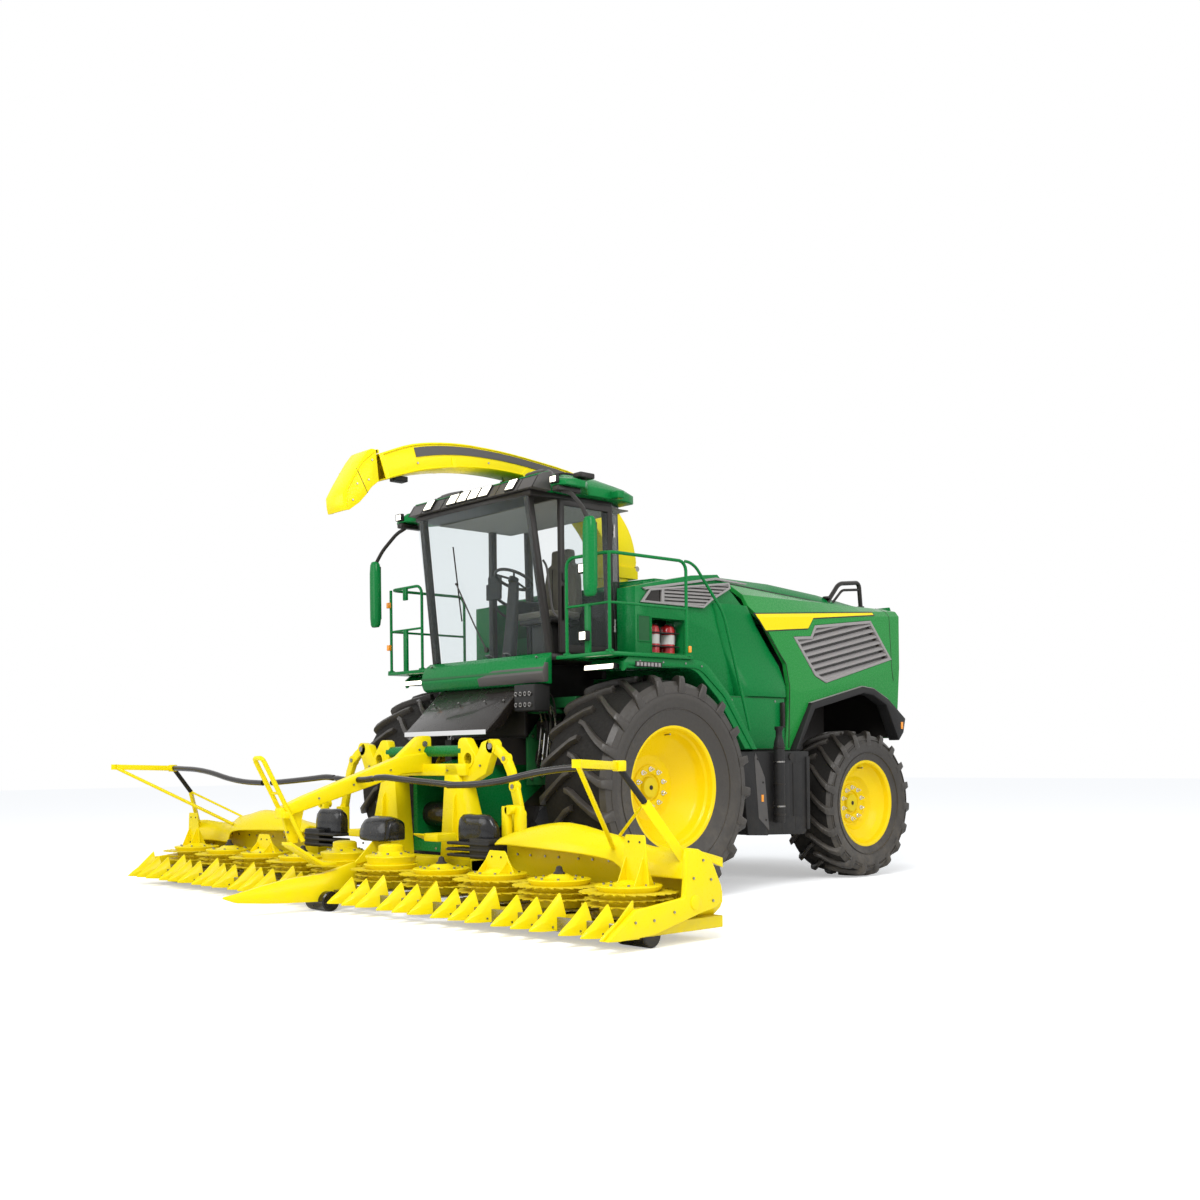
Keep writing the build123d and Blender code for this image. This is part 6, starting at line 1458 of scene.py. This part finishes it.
# ---------------------------------------------------------------- body shells with their edges rounded
def filleted(points, steps=5):
    """Outline whose corners given as (u, v, radius) become arcs."""
    out = []
    count = len(points)
    for k, point in enumerate(points):
        here = Vector(point[:2])
        radius = point[2] if len(point) > 2 else 0
        if not radius:
            out.append(tuple(here))
            continue
        back = (Vector(points[k - 1][:2]) - here).normalized()
        ahead = (Vector(points[(k + 1) % count][:2]) - here).normalized()
        half = math.acos(max(-1.0, min(1.0, back.dot(ahead)))) / 2
        middle = here + (back + ahead).normalized() * (radius / math.sin(half))
        reach = radius / math.tan(half)
        start, end = here + back * reach - middle, here + ahead * reach - middle
        sweep = math.atan2(start.x * end.y - start.y * end.x, start.dot(end))
        for step in range(steps + 1):
            turn = sweep * step / steps
            out.append((middle.x + start.x * math.cos(turn) - start.y * math.sin(turn),
                        middle.y + start.x * math.sin(turn) + start.y * math.cos(turn)))
    return out


HOOD_TOP, ROOF_HALF = 3.17, 0.95


def hinge_z(y):
    return HOOD_TOP - 0.085 - (y - 1.76) * 0.137 / 2.39


# side covers: y, shoulder z, crease z
STATIONS = [(1.73, 2.762, 2.110), (2.46, 2.810, 1.975), (3.30, 2.865, 2.095), (4.27, 2.925, 2.300)]
loops = []
for y in (1.729, 1.90, 2.10, 2.28, 2.46, 2.74, 3.02, 3.30, 3.60, 3.95, 4.271):
    shoulder, crease, top = between(STATIONS, y, 1), between(STATIONS, y, 2), hinge_z(y)
    section_line = [(ROOF_HALF + 0.0003, top + 0.004), (HALF - 0.16, (top + shoulder) / 2 + 0.034),
                    (HALF - 0.045, shoulder + 0.010), (HALF, shoulder - 0.05), (HALF, crease), (HALF - 0.055, 1.31),
                    (HALF - 0.105, 1.31), (HALF - 0.05, crease), (HALF - 0.05, shoulder - 0.08),
                    (HALF - 0.085, shoulder - 0.036), (HALF - 0.18, (top + shoulder) / 2 - 0.012),
                    (ROOF_HALF + 0.0003, top - 0.05)]
    loops.append([(x, y, z) for x, z in section_line])
cover = cut(loft(loops), slab_x([(1.70, 2.865), (2.22, 2.26), (2.275, 2.03), (2.25, 1.37), (2.3397, 1.37), (2.6147, 1.8603),
                                 (3.53, 2.0603), (3.74, 2.0403), (4.0103, 1.9303), (4.31, 1.733), (4.31, 3.4), (1.70, 3.4)],
                                0.6, 1.5), "INTERSECT")
cover = cut(cover, slab_x([(2.35, 2.55), (2.65, 2.57), (2.72, 2.69), (3.72, 2.80), (4.12, 2.38), (2.90, 2.08), (2.71, 2.15)],
                          1.10, 1.50))
# The side cover takes the lighter green: painted light.
cover = give(rounded(cover, 0.006, 2, 28), GREEN_COVER_PAINTED_LIGHT)
hinge_rod = drum((ROOF_HALF, 1.73, hinge_z(1.73)), (ROOF_HALF, 4.27, hinge_z(4.27)), 0.012, 20)
seam = []
for y, down in ((4.04, 0), (4.055, 1), (4.065, 2), (4.075, 3), (4.12, 4)):
    shoulder, crease, top = between(STATIONS, y, 1), between(STATIONS, y, 2), hinge_z(y)
    x, z = ((ROOF_HALF + 0.02, top + 0.006), (HALF - 0.16, (top + shoulder) / 2 + 0.034), (HALF - 0.045, shoulder + 0.010),
            (HALF, shoulder - 0.05), (HALF, crease))[down]
    seam.append((x, y, z))
seam.append((HALF - 0.006, 4.16, between(STATIONS, 4.16, 2) - 0.13))
pair([cover, give(smooth(hinge_rod, 30), DARK), give(tube(seam, 0.0035, 0, 1), DARK)], "side_cover_shell", COVERS, ["side_cover"], 3)

# engine hood
HOOD_EDGE = [(1.18, 0.060), (1.40, 0.000), (2.46, 0.010), (3.30, 0.065), (4.18, 0.160), (4.33, 0.230)]


def hood_loops(inset, low):
    loops = []
    for y, drop in HOOD_EDGE:
        top = HOOD_TOP - drop
        eaves = min(hinge_z(y) + 0.014, top - 0.03)
        side, shoulder = ROOF_HALF - inset, ROOF_HALF - 0.075 - inset / 2
        half = [(side, low), (side, eaves - inset), (shoulder, top - 0.012 - inset), (shoulder * 0.55, top - 0.003 - inset)]
        loops.append([(-x, y, z) for x, z in half] + [(0, y, top - inset)] + [(x, y, z) for x, z in reversed(half)])
    return loops


hood = cut(loft(hood_loops(0, 2.70)), loft([[(x, y + (-0.02 if k == 0 else 0.02 if k == 5 else 0), z) for x, y, z in loop]
                                           for k, loop in enumerate(hood_loops(0.04, 2.65))]))
for sign in (1, -1):
    hood = cut(hood, drum((sign * ROOF_HALF, 1.724, hinge_z(1.724)), (sign * ROOF_HALF, 4.28, hinge_z(4.28)), 0.0142, 16))
parts = [give(rounded(hood, 0.007, 2, 30), GREEN)]
wall = slab_x([(4.29, 3.0), (4.33, 2.935), (4.34, 1.70), (4.28, 1.50), (4.23, 1.50), (4.28, 1.70)], -1.17, 1.17)
parts.append(give(rounded(wall, 0.008, 2, 30), GREEN))
for k in range(9):
    z = 1.95 + 0.09 * k
    slat = slab_x([(4.325, z), (4.358, z - 0.020), (4.362, z - 0.018), (4.362, z - 0.008), (4.325, z + 0.030)], -0.76, 0.76)
    parts.append(give(rounded(slat, 0.002, 1), GREY))
for x in (-0.775, 0.775):
    parts.append(give(rounded(box(x - 0.015, x + 0.015, 4.332, 4.362, 1.915, 2.72), 0.005, 2), GREY))
for z in (1.915, 2.725):
    parts.append(give(rounded(box(-0.79, 0.79, 4.330, 4.362, z - 0.012, z + 0.012), 0.004, 2), GREY))
parts.append(give(box(-0.75, 0.75, 4.336, 4.345, 1.93, 2.70), BLACK_STEEL))
parts.append(give(rounded(box(-0.43, 0.43, 4.23, 4.30, 1.2503, 1.56), 0.006, 2), DARK))
parts.append(give(slab_x([(4.222, 1.51), (4.229, 1.51), (4.275, 1.71), (4.275, 2.30), (4.268, 2.30), (4.268, 1.71)], -1.165, 1.165), DARK))
parts.append(give(rounded(box(-ROOF_HALF, ROOF_HALF, 0.48, 1.23, 2.97, 3.0197), 0.006, 2), GREEN))
for sign in (1, -1):
    wedge = slab_y([(sign * ROOF_HALF, 2.97), (sign * ROOF_HALF, 3.06), (sign * 0.30, 3.08), (sign * 0.30, 2.97)], 0.64, 1.185)
    parts.append(give(rounded(wedge, 0.008, 2), GREEN))
for y in (1.75, 2.95, 3.75):                       # seams across the top, with their screws
    top = HOOD_TOP - between(HOOD_EDGE, y, 1)
    seam = [(-0.86, y, top - 0.012), (-0.48, y, top - 0.0025), (0, y, top + 0.0005), (0.48, y, top - 0.0025), (0.86, y, top - 0.012)]
    parts.append(give(tube(seam, 0.003, 0, 1), DARK))
    for x in (-0.78, -0.30, 0.30, 0.78):
        parts.append(give(drum((x, y + 0.05, top - 0.02), (x, y + 0.05, top + 0.002), 0.010, 12), DARK))
for side_x in (-0.50, 0.50):                       # air outlets on the top
    for k in range(6):
        y = 2.05 + 0.09 * k
        top = HOOD_TOP - between(HOOD_EDGE, y, 1)
        parts.append(give(rounded(slab_x([(y, top - 0.004), (y + 0.05, top - 0.004), (y + 0.055, top + 0.012)],
                                         side_x - 0.20, side_x + 0.20), 0.002, 1), GREY))
single(parts, "hood_cover", "chassis", ["hood_shell"], 30)

# dark guards at the hood's rear corners
parts = []
for sign in (1, -1):
    x = sign * 0.90
    big = tube([(x, 3.45, 2.99), (x, 3.70, 3.25), (x, 4.08, 3.29), (x, 4.12, 2.94)], 0.0255, 0.06, 4)
    small = tube([(x, 3.56, 3.01), (x, 3.76, 3.18), (x, 4.09, 3.21)], 0.0155, 0.04, 3)
    parts += [give(smooth(big, 40), BLACK_STEEL), give(smooth(small, 40), BLACK_STEEL)]
    for y in (3.47, 4.11):
        z = HOOD_TOP - between(HOOD_EDGE, y, 1) - 0.012
        parts.append(give(smooth(drum((x, y, z - 0.01), (x, y, z + 0.012), 0.042, 20), 30), DARK))
single(parts, "hood_guards", "chassis", ["roof_guards"])

# side bodies with the front fenders
inner = HALF - 0.11
shape = slab_x([(0.12, 2.27), (0.12, 2.92), (0.90, 3.08), (1.29, 3.12), (1.70, 2.80), (2.20, 2.25), (2.25, 2.03),
                (2.24, 1.915), (1.33, 1.915), (1.18, 1.40), (1.00, 1.40), (0.62, 2.18), (0.50, 2.27)], 0.56, inner)
shape = cut(shape, box(0.50, 0.95, 0.0, 0.482, 2.0, 3.3))
shape = cut(shape, box(0.50, ROOF_HALF + 0.0003, 0.47, 2.3, 2.6, 3.3))
left_shape = cut(copied(shape), box(inner - 0.29, 1.40, 0.34, 0.80, 2.30, 2.64))
COLUMN = [(2.83, 1.20, 1.67, 0.060), (2.74, 1.235, 1.76, 0.047), (2.64, 1.26, 1.835, 0.040), (2.52, 1.305, 1.95, 0.032),
          (2.40, 1.35, 2.06, 0.030), (2.32, 1.385, 2.13, 0.038), (2.24, 1.42, 2.188, 0.052), (2.13, 1.46, 2.22, 0.075),
          (2.03, 1.50, 2.24, 0.100), (1.915, 1.53, 2.238, 0.110)]
column = loft([[(inner - 0.005, y0, z), (inner + out * 0.55, y0 + 0.02, z), (inner + out * 0.9, y0 + 0.09, z),
                (inner + out, y0 + 0.15, z), (inner + out, y1 - 0.04, z), (inner + out * 0.9, y1, z), (inner - 0.005, y1, z)]
               for z, y0, y1, out in COLUMN])
FENDER = [(-0.48, 2.10), (-0.49, 2.15, 0.02), (-0.43, 2.196, 0.03), (0.56, 2.196, 0.30), (0.90, 1.90, 0.30), (1.30, 1.38),
          (1.15, 1.38), (0.77, 1.85, 0.30), (0.43, 2.13, 0.30)]
LIP = [(-0.49, 2.075), (-0.50, 2.16, 0.02), (-0.44, 2.206, 0.03), (0.566, 2.206, 0.30), (0.912, 1.902, 0.30), (1.315, 1.375),
       (1.24, 1.375), (0.838, 1.88, 0.30), (0.50, 2.13, 0.30), (-0.44, 2.13)]
common = [give(rounded(column, 0.006, 2, 25), GREEN),
          give(rounded(slab_x(filleted(FENDER), inner, FENDER_OUT), 0.004, 1, 40), GREEN),
          give(rounded(slab_x(filleted(LIP), FENDER_OUT - 0.04, FENDER_OUT + 0.012), 0.005, 2, 40), GREEN),
          give(rounded(box(inner + 0.010, HALF - 0.02, 1.342, 2.223, 1.375, 1.915), 0.010, 3), GREEN),
          give(box(0.4303, 0.56, 0.90, 1.18, 1.40, 1.50), DARK)]
# Plate behind the front wheel in the darker green: painted shade.
common.append(give(rounded(box(1.02, 1.03, 0.56, 1.10, 1.45, 1.80), 0.003, 1), GREEN_PAINTED_SHADE))
common = joined(common, "side_fittings")
left = [give(rounded(left_shape, 0.007, 2, 30), GREEN), copied(common)]
for z in (2.30, 2.64):                              # folded edges of the niche
    left.append(give(rounded(box(inner - 0.02, inner + 0.006, 0.33, 0.81, z - 0.006, z + 0.006), 0.003, 1), GREEN))
for y in (0.335, 0.805):
    left.append(give(rounded(box(inner - 0.02, inner + 0.006, y - 0.006, y + 0.006, 2.30, 2.64), 0.003, 1), GREEN))
right = [give(rounded(shape, 0.007, 2, 30), GREEN), common]
right_side = joined(right, "right_side")
right_twin = mirrored(right_side)
bpy.data.objects.remove(right_side)
single([joined(left, "left_side"), right_twin], "side_bodies", "chassis", ["front_bodies"], 30)

# lower boxes
tank = rounded(slab_x(filleted([(1.24, 0.54, 0.05), (1.15, 1.355), (2.25, 1.355), (2.20, 0.51, 0.05)]), 1.00, 1.56), 0.014, 3, 30)
cheek = slab_x([(1.38, 1.34), (1.33, 1.355), (1.15, 1.355), (1.24, 0.54), (1.55, 0.525), (1.50, 0.70)], 1.555, 1.590)
parts = [give(tank, PLASTIC), give(rounded(cheek, 0.006, 2, 30), PLASTIC), give(box(0.4303, 1.0, 1.60, 1.90, 1.20, 1.34), DARK),
         give(rounded(box(1.54, 1.62, 1.66, 1.72, 0.80, 0.86), 0.006, 2), DARK),
         give(rounded(box(1.55, 1.575, 2.19, 2.24, 0.56, 1.30), 0.006, 2), PLASTIC)]
for y in (1.85, 2.05):
    parts.append(give(rounded(box(1.556, 1.566, y - 0.07, y + 0.07, 0.70, 1.24), 0.008, 2), PLASTIC))
parts.append(give(drum((1.56, 1.95, 1.30), (1.572, 1.95, 1.30), 0.035, 24), DARK))
pair(parts, "lower_box", CHASSIS, (), 30)
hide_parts("lower_boxes")

# rear weight with the towing jaw, tail lamps and a blank plate
weight = rounded(slab_x(filleted([(4.3003, 0.60), (4.3003, 1.24), (4.56, 1.24, 0.04), (4.76, 1.00, 0.04), (4.76, 0.70, 0.04),
                                  (4.60, 0.60, 0.04)]), -0.90, 0.90), 0.016, 3, 30)
jaw = cut(box(-0.15, 0.15, 4.70, 4.86, 0.64, 0.86), drum((0, 4.79, 0.5), (0, 4.79, 1.0), 0.020, 24))
weight = cut(weight, drum((0, 4.79, 0.5), (0, 4.79, 1.0), 0.020, 24))
parts = [give(weight, BLACK_STEEL), give(rounded(jaw, 0.005, 2, 50), STEEL)]
for sign in (1, -1):
    for z in (0.72, 1.02):
        parts.append(give(drum((sign * 0.70, 4.70, z), (sign * 0.70, 4.77 if z < 0.9 else 4.72, z), 0.022, 6), STEEL))
    parts.append(give(rounded(box(sign * 0.55 - 0.02, sign * 0.55 + 0.02, 4.40, 4.56, 1.235, 1.262), 0.006, 2), DARK))
single(parts, "tail_weight", "chassis", ["rear_weight"], 30)
parts = []
for sign in (1, -1):
    parts.append(give(rounded(box(sign * 0.98 - 0.11, sign * 0.98 + 0.11, 4.335, 4.358, 1.78, 1.87), 0.008, 3), PLASTIC))
    parts.append(give(rounded(box(sign * 0.94 - 0.055, sign * 0.94 + 0.055, 4.354, 4.362, 1.79, 1.86), 0.004, 2), RED))
    parts.append(give(rounded(box(sign * 1.04 - 0.035, sign * 1.04 + 0.035, 4.354, 4.362, 1.79, 1.86), 0.004, 2), AMBER))
parts.append(give(rounded(box(-0.26, 0.26, 4.342, 4.350, 1.72, 1.84), 0.003, 1), STEEL))
single(parts, "tail_lamps", "chassis")

# cab frame: posts, roof frame, floor
A_LOW, A_TOP = (0.86, -0.66), (0.80, -0.86)
C_LOW, C_TOP = (0.88, 0.10), (0.85, 0.08)
R_LOW, R_TOP = (0.64, 0.42), (0.64, 0.39)
floor_plate = slab_z([(-0.92, -0.70), (0.92, -0.70), (0.92, 0.12), (0.70, 0.45), (-0.70, 0.45), (-0.92, 0.12)], 2.21, 2.27)
head_plate = slab_z([(-0.88, -0.90), (0.88, -0.90), (0.89, 0.12), (0.70, 0.42), (-0.70, 0.42), (-0.89, 0.12)], 3.70, 3.75)
parts = [give(rounded(floor_plate, 0.008, 2), DARK), give(rounded(head_plate, 0.008, 2), DARK)]
for low, top in ((A_LOW, A_TOP), (C_LOW, C_TOP), (R_LOW, R_TOP)):
    for sign in (1, -1):
        u = 0.035
        loops = [[(sign * x - u, y - u, z), (sign * x + u, y - u, z), (sign * x + u, y + u, z), (sign * x - u, y + u, z)]
                 for (x, y), z in ((low, 2.25), (top, 3.72))]
        parts.append(give(rounded(loft(loops), 0.014, 3, 40), DARK))
parts.append(give(rounded(box(-0.64, 0.64, 0.40, 0.44, 2.26, 2.87), 0.006, 2), DARK))
parts.append(give(box(-0.43, 0.43, -0.60, 0.30, 1.5003, 2.23), DARK))
for sign in (1, -1):
    for y in (-0.56, 0.23):
        x0, x1 = sorted((sign * 0.30, sign * 0.62))
        parts.append(give(box(x0, x1, y, y + 0.06, 2.08, 2.23), DARK))
for z in (2.50, 3.40):
    parts.append(give(smooth(drum((0.955, 0.082, z), (0.955, 0.082, z + 0.06), 0.015, 20), 30), STEEL))
    parts.append(give(rounded(box(0.89, 0.955, 0.072, 0.094, z, z + 0.06), 0.003, 1), DARK))
parts.append(give(rounded(box(-0.88, 0.88, -0.60, 0.36, 3.690, 3.7003), 0.003, 1), CLOTH))
parts.append(give(box(-0.83, 0.83, -0.62, 0.38, 2.2703, 2.276), PLASTIC))
single(parts, "cab_posts", "chassis", ["cab_frame"], 30)

door = cut(box(0.925, 0.965, -0.62, 0.06, 2.275, 3.69), box(0.88, 1.08, -0.56, 0.0, 2.35, 3.63))
parts = [give(rounded(door, 0.008, 3, 30), DARK)]
for z in (2.50, 3.40):
    parts.append(give(smooth(drum((0.955, 0.082, z + 0.0603), (0.955, 0.082, z + 0.12), 0.015, 20), 30), STEEL))
    parts.append(give(rounded(box(0.94, 0.965, 0.05, 0.082, z + 0.0603, z + 0.12), 0.003, 1), DARK))
parts.append(give(rounded(box(0.960, 0.995, -0.60, -0.58, 2.57, 2.89), 0.006, 2), DARK))
single(parts, "door_frame", "cab_door", ["cab_door_frame"], 30)

# ---------------------------------------------------------------- drive housings and pipes before the left front wheel
parts = []
# The drive housings are in the darker green: painted shade under the cab.
housing = cut(slab_x([(-0.66, 1.06), (-0.66, 1.50), (-0.48, 1.70), (-0.22, 1.70), (-0.22, 1.06)], 0.50, 0.53),
              drum((0.45, -0.42, 1.30), (0.60, -0.42, 1.30), 0.12, 32))
parts.append(give(rounded(housing, 0.006, 2, 30), GREEN_PAINTED_SHADE))
parts.append(give(rounded(box(0.436, 0.50, -0.60, -0.26, 1.08, 1.24), 0.014, 3), GREEN_PAINTED_SHADE))
parts.append(give(smooth(turned([(0.44, 0.0), (0.44, 0.15), (0.47, 0.155), (0.475, 0.13), (0.50, 0.13), (0.505, 0.155), (0.535, 0.15),
                                 (0.54, 0.05), (0.58, 0.05), (0.585, 0.0)], (0, -0.42, 1.30), 40, "X"), 30), DARK))
for k in range(8):
    turn = math.tau * k / 8
    y, z = -0.42 + 0.105 * math.cos(turn), 1.30 + 0.105 * math.sin(turn)
    parts.append(give(drum((0.53, y, z), (0.548, y, z), 0.011, 6), STEEL))
parts.append(give(rounded(box(0.60, 0.98, -0.46, -0.36, 1.78, 1.88), 0.010, 2), GREEN_PAINTED_SHADE))
parts.append(give(rounded(box(0.436, 0.74, -0.62, -0.30, 1.73, 1.77), 0.006, 2), GREEN_PAINTED_SHADE))
parts.append(give(rounded(box(0.56, 0.72, -0.58, -0.40, 1.48, 1.66), 0.012, 2), DARK))
for k in range(4):
    x = 0.665 + 0.063 * k
    for row in range(2):
        z = 1.80 + 0.10 * row
        drop = 1.30 - 0.09 * k - 0.04 * row
        hose = [(x, -0.75, z), (x, -0.64, z), (x - 0.03, -0.57, z - 0.14), (x - 0.07 - 0.02 * row, -0.54, drop + 0.10),
                (x - 0.09, -0.44, drop), (0.52, -0.30, drop - 0.02)]
        parts.append(give(smooth(tube(hose, 0.010, 0.05, 3), 40), DARK if (k + row) % 3 else STEEL))
for k in range(3):
    x = 0.58 + 0.05 * k
    pipe = [(x, -0.50, 1.66 - 0.03 * k), (x + 0.08, -0.60, 1.62 - 0.05 * k), (x + 0.08, -0.64, 1.34 - 0.05 * k),
            (x, -0.60, 1.24 - 0.05 * k), (0.53, -0.50, 1.22 - 0.04 * k)]
    parts.append(give(smooth(tube(pipe, 0.008, 0.04, 3), 40), CHROME if k == 1 else STEEL))
for y, z in ((-0.60, 1.52), (-0.30, 1.64), (-0.62, 1.12), (-0.27, 1.12)):
    parts.append(give(drum((0.53, y, z), (0.545, y, z), 0.014, 6), STEEL))
left_drive = joined(parts, "left_drive")
right_drive = mirrored(left_drive)
single([left_drive, right_drive], "front_drives", "chassis")

# ---------------------------------------------------------------- small fittings of the side body and roof
recess = [(0.150, 2.40), (0.150, 2.655), (0.322, 2.655), (0.322, 2.40)]
edge = HALF - 0.11
# The recess is a thin plate in the darker green inside a green frame: painted shade.
fittings = [give(slab_x(recess, edge + 0.0003, edge + 0.002), GREEN_PAINTED_SHADE),
            give(rounded(bezel_x(recess, 0.012, edge + 0.0003, edge + 0.007), 0.002, 1), GREEN),
            give(smooth(drum((-0.05, -0.45, 3.995), (-0.05, -0.45, 4.03), 0.022, 20), 30), DARK),
            give(smooth(tube([(-0.05, -0.45, 4.02), (-0.05, -0.445, 4.12), (-0.05, -0.43, 4.245)], 0.0035, 0, 1), 40), DARK)]
top_lamp = joined([give(rounded(box(1.14, 1.25, -0.62, -0.44, 3.838, 3.888), 0.012, 3), DARK),
                   give(smooth(tube([(0.90, -0.66, 3.90), (1.02, -0.62, 3.91), (1.16, -0.55, 3.868)], 0.011, 0.05, 3), 40), DARK),
                   give(smooth(tube([(0.50, -0.60, 3.965), (0.72, -0.62, 3.972), (0.90, -0.66, 3.93), (0.965, -0.695, 3.84)],
                                    0.032, 0.10, 4), 40), GREY)], "top_lamp")
fittings += [top_lamp, mirrored(top_lamp)]
single(fittings, "small_fittings", "chassis")

# display and grab handle inside the cab
inside = [give(rounded(box(-0.47, -0.27, -0.305, -0.280, 3.00, 3.15), 0.008, 3), PLASTIC),
          give(rounded(box(-0.458, -0.282, -0.280, -0.2775, 3.012, 3.138), 0.002, 1), BLACK_STEEL),
          give(smooth(tube([(-0.37, -0.31, 3.07), (-0.40, -0.33, 2.98), (-0.43, -0.20, 2.80), (-0.43, 0.0, 2.72)], 0.012, 0.05, 3), 40),
               DARK),
          give(smooth(tube([(0.80, -0.50, 2.62), (0.77, -0.54, 2.66), (0.755, -0.60, 3.10), (0.775, -0.66, 3.14)], 0.011, 0.04, 3), 40),
               GREY)]
single(inside, "cab_fittings", "chassis")


# ---------------------------------------------------------------- camera, light and floor
clear_selection()
AIM, TILT, ROLL = math.radians(49.6139821), math.radians(0.0278549), math.radians(-0.6225837)
forward = Vector((-math.sin(AIM) * math.cos(TILT), math.cos(AIM) * math.cos(TILT), -math.sin(TILT)))
level = forward.cross(Vector((0, 0, 1))).normalized()
upright = level.cross(forward)
right = level * math.cos(ROLL) + upright * math.sin(ROLL)
above = upright * math.cos(ROLL) - level * math.sin(ROLL)
lens = bpy.data.cameras.new("camera")
lens.sensor_width = 36.0
lens.lens = 39.79
lens.shift_x = 0.0716
lens.shift_y = 0.1340
lens.clip_end = 400
camera = bpy.data.objects.new("camera", lens)
bpy.context.collection.objects.link(camera)
camera.matrix_world = Matrix.Translation((9.92665, -9.47356, 1.29507)) @ Matrix(
    (right, above, -forward)).transposed().to_4x4()
bpy.context.scene.camera = camera
bpy.context.scene.view_settings.view_transform = "Standard"


def soft_light(name, place, aim, size, power):
    lamp = bpy.data.lights.new(name, "AREA")
    lamp.shape = "DISK"
    lamp.size = size
    lamp.energy = power
    obj = bpy.data.objects.new(name, lamp)
    bpy.context.collection.objects.link(obj)
    obj.location = place
    obj.rotation_euler = (Vector(aim) - Vector(place)).to_track_quat("-Z", "Y").to_euler()
    return obj


soft_light("key_light", (7.0, -9.0, 11.0), (0, -0.5, 1.0), 8.0, 1500)
soft_light("side_light", (13.0, 4.0, 6.5), (0, 1.0, 1.5), 7.0, 420)
soft_light("front_light", (-7.0, -12.0, 6.0), (0, -2.0, 1.2), 7.0, 340)

world = bpy.data.worlds.new("studio")
bpy.context.scene.world = world
world.use_nodes = True
tree = world.node_tree
tree.nodes.clear()
out = node(tree, "ShaderNodeOutputWorld")
shown = node(tree, "ShaderNodeBackground")
lit = node(tree, "ShaderNodeBackground")
lit.inputs["Color"].default_value = (0.93, 0.96, 1.0, 1)
lit.inputs["Strength"].default_value = 0.62
mix = node(tree, "ShaderNodeMixShader")
ray = node(tree, "ShaderNodeLightPath")
either = node(tree, "ShaderNodeMath", operation="MAXIMUM")
either_too = node(tree, "ShaderNodeMath", operation="MAXIMUM")
link = tree.links.new
link(ray.outputs["Is Camera Ray"], either.inputs[0])
link(ray.outputs["Is Transmission Ray"], either.inputs[1])
link(either.outputs[0], either_too.inputs[0])
link(ray.outputs["Is Glossy Ray"], either_too.inputs[1])
link(either_too.outputs[0], mix.inputs["Fac"])
link(lit.outputs[0], mix.inputs[1])
link(shown.outputs[0], mix.inputs[2])
shown.inputs["Color"].default_value = (1, 1, 1, 1)
shown.inputs["Strength"].default_value = 1.0
link(mix.outputs[0], out.inputs["Surface"])

bpy.ops.mesh.primitive_plane_add(size=120, location=(0, 0, 0))
floor = bpy.context.object
floor.name = "studio_floor"
mat = bpy.data.materials.new("studio_floor")
mat.use_nodes = True
tree = mat.node_tree
tree.nodes.clear()
out = node(tree, "ShaderNodeOutputMaterial")
pale = node(tree, "ShaderNodeBsdfDiffuse")
pale.inputs["Color"].default_value = (0.90, 0.90, 0.90, 1)
lift = node(tree, "ShaderNodeEmission")
lift.inputs["Strength"].default_value = 1.0
ray = node(tree, "ShaderNodeLightPath")
seen = node(tree, "ShaderNodeMath", operation="MULTIPLY")
seen.inputs[1].default_value = 0.42
both_rays = node(tree, "ShaderNodeMath", operation="MAXIMUM")
total = node(tree, "ShaderNodeAddShader")
link = tree.links.new
link(ray.outputs["Is Camera Ray"], both_rays.inputs[0])
link(ray.outputs["Is Transmission Ray"], both_rays.inputs[1])
link(both_rays.outputs[0], seen.inputs[0])
link(seen.outputs[0], lift.inputs["Strength"])
link(pale.outputs[0], total.inputs[0])
link(lift.outputs[0], total.inputs[1])
link(total.outputs[0], out.inputs["Surface"])
give(floor, mat)
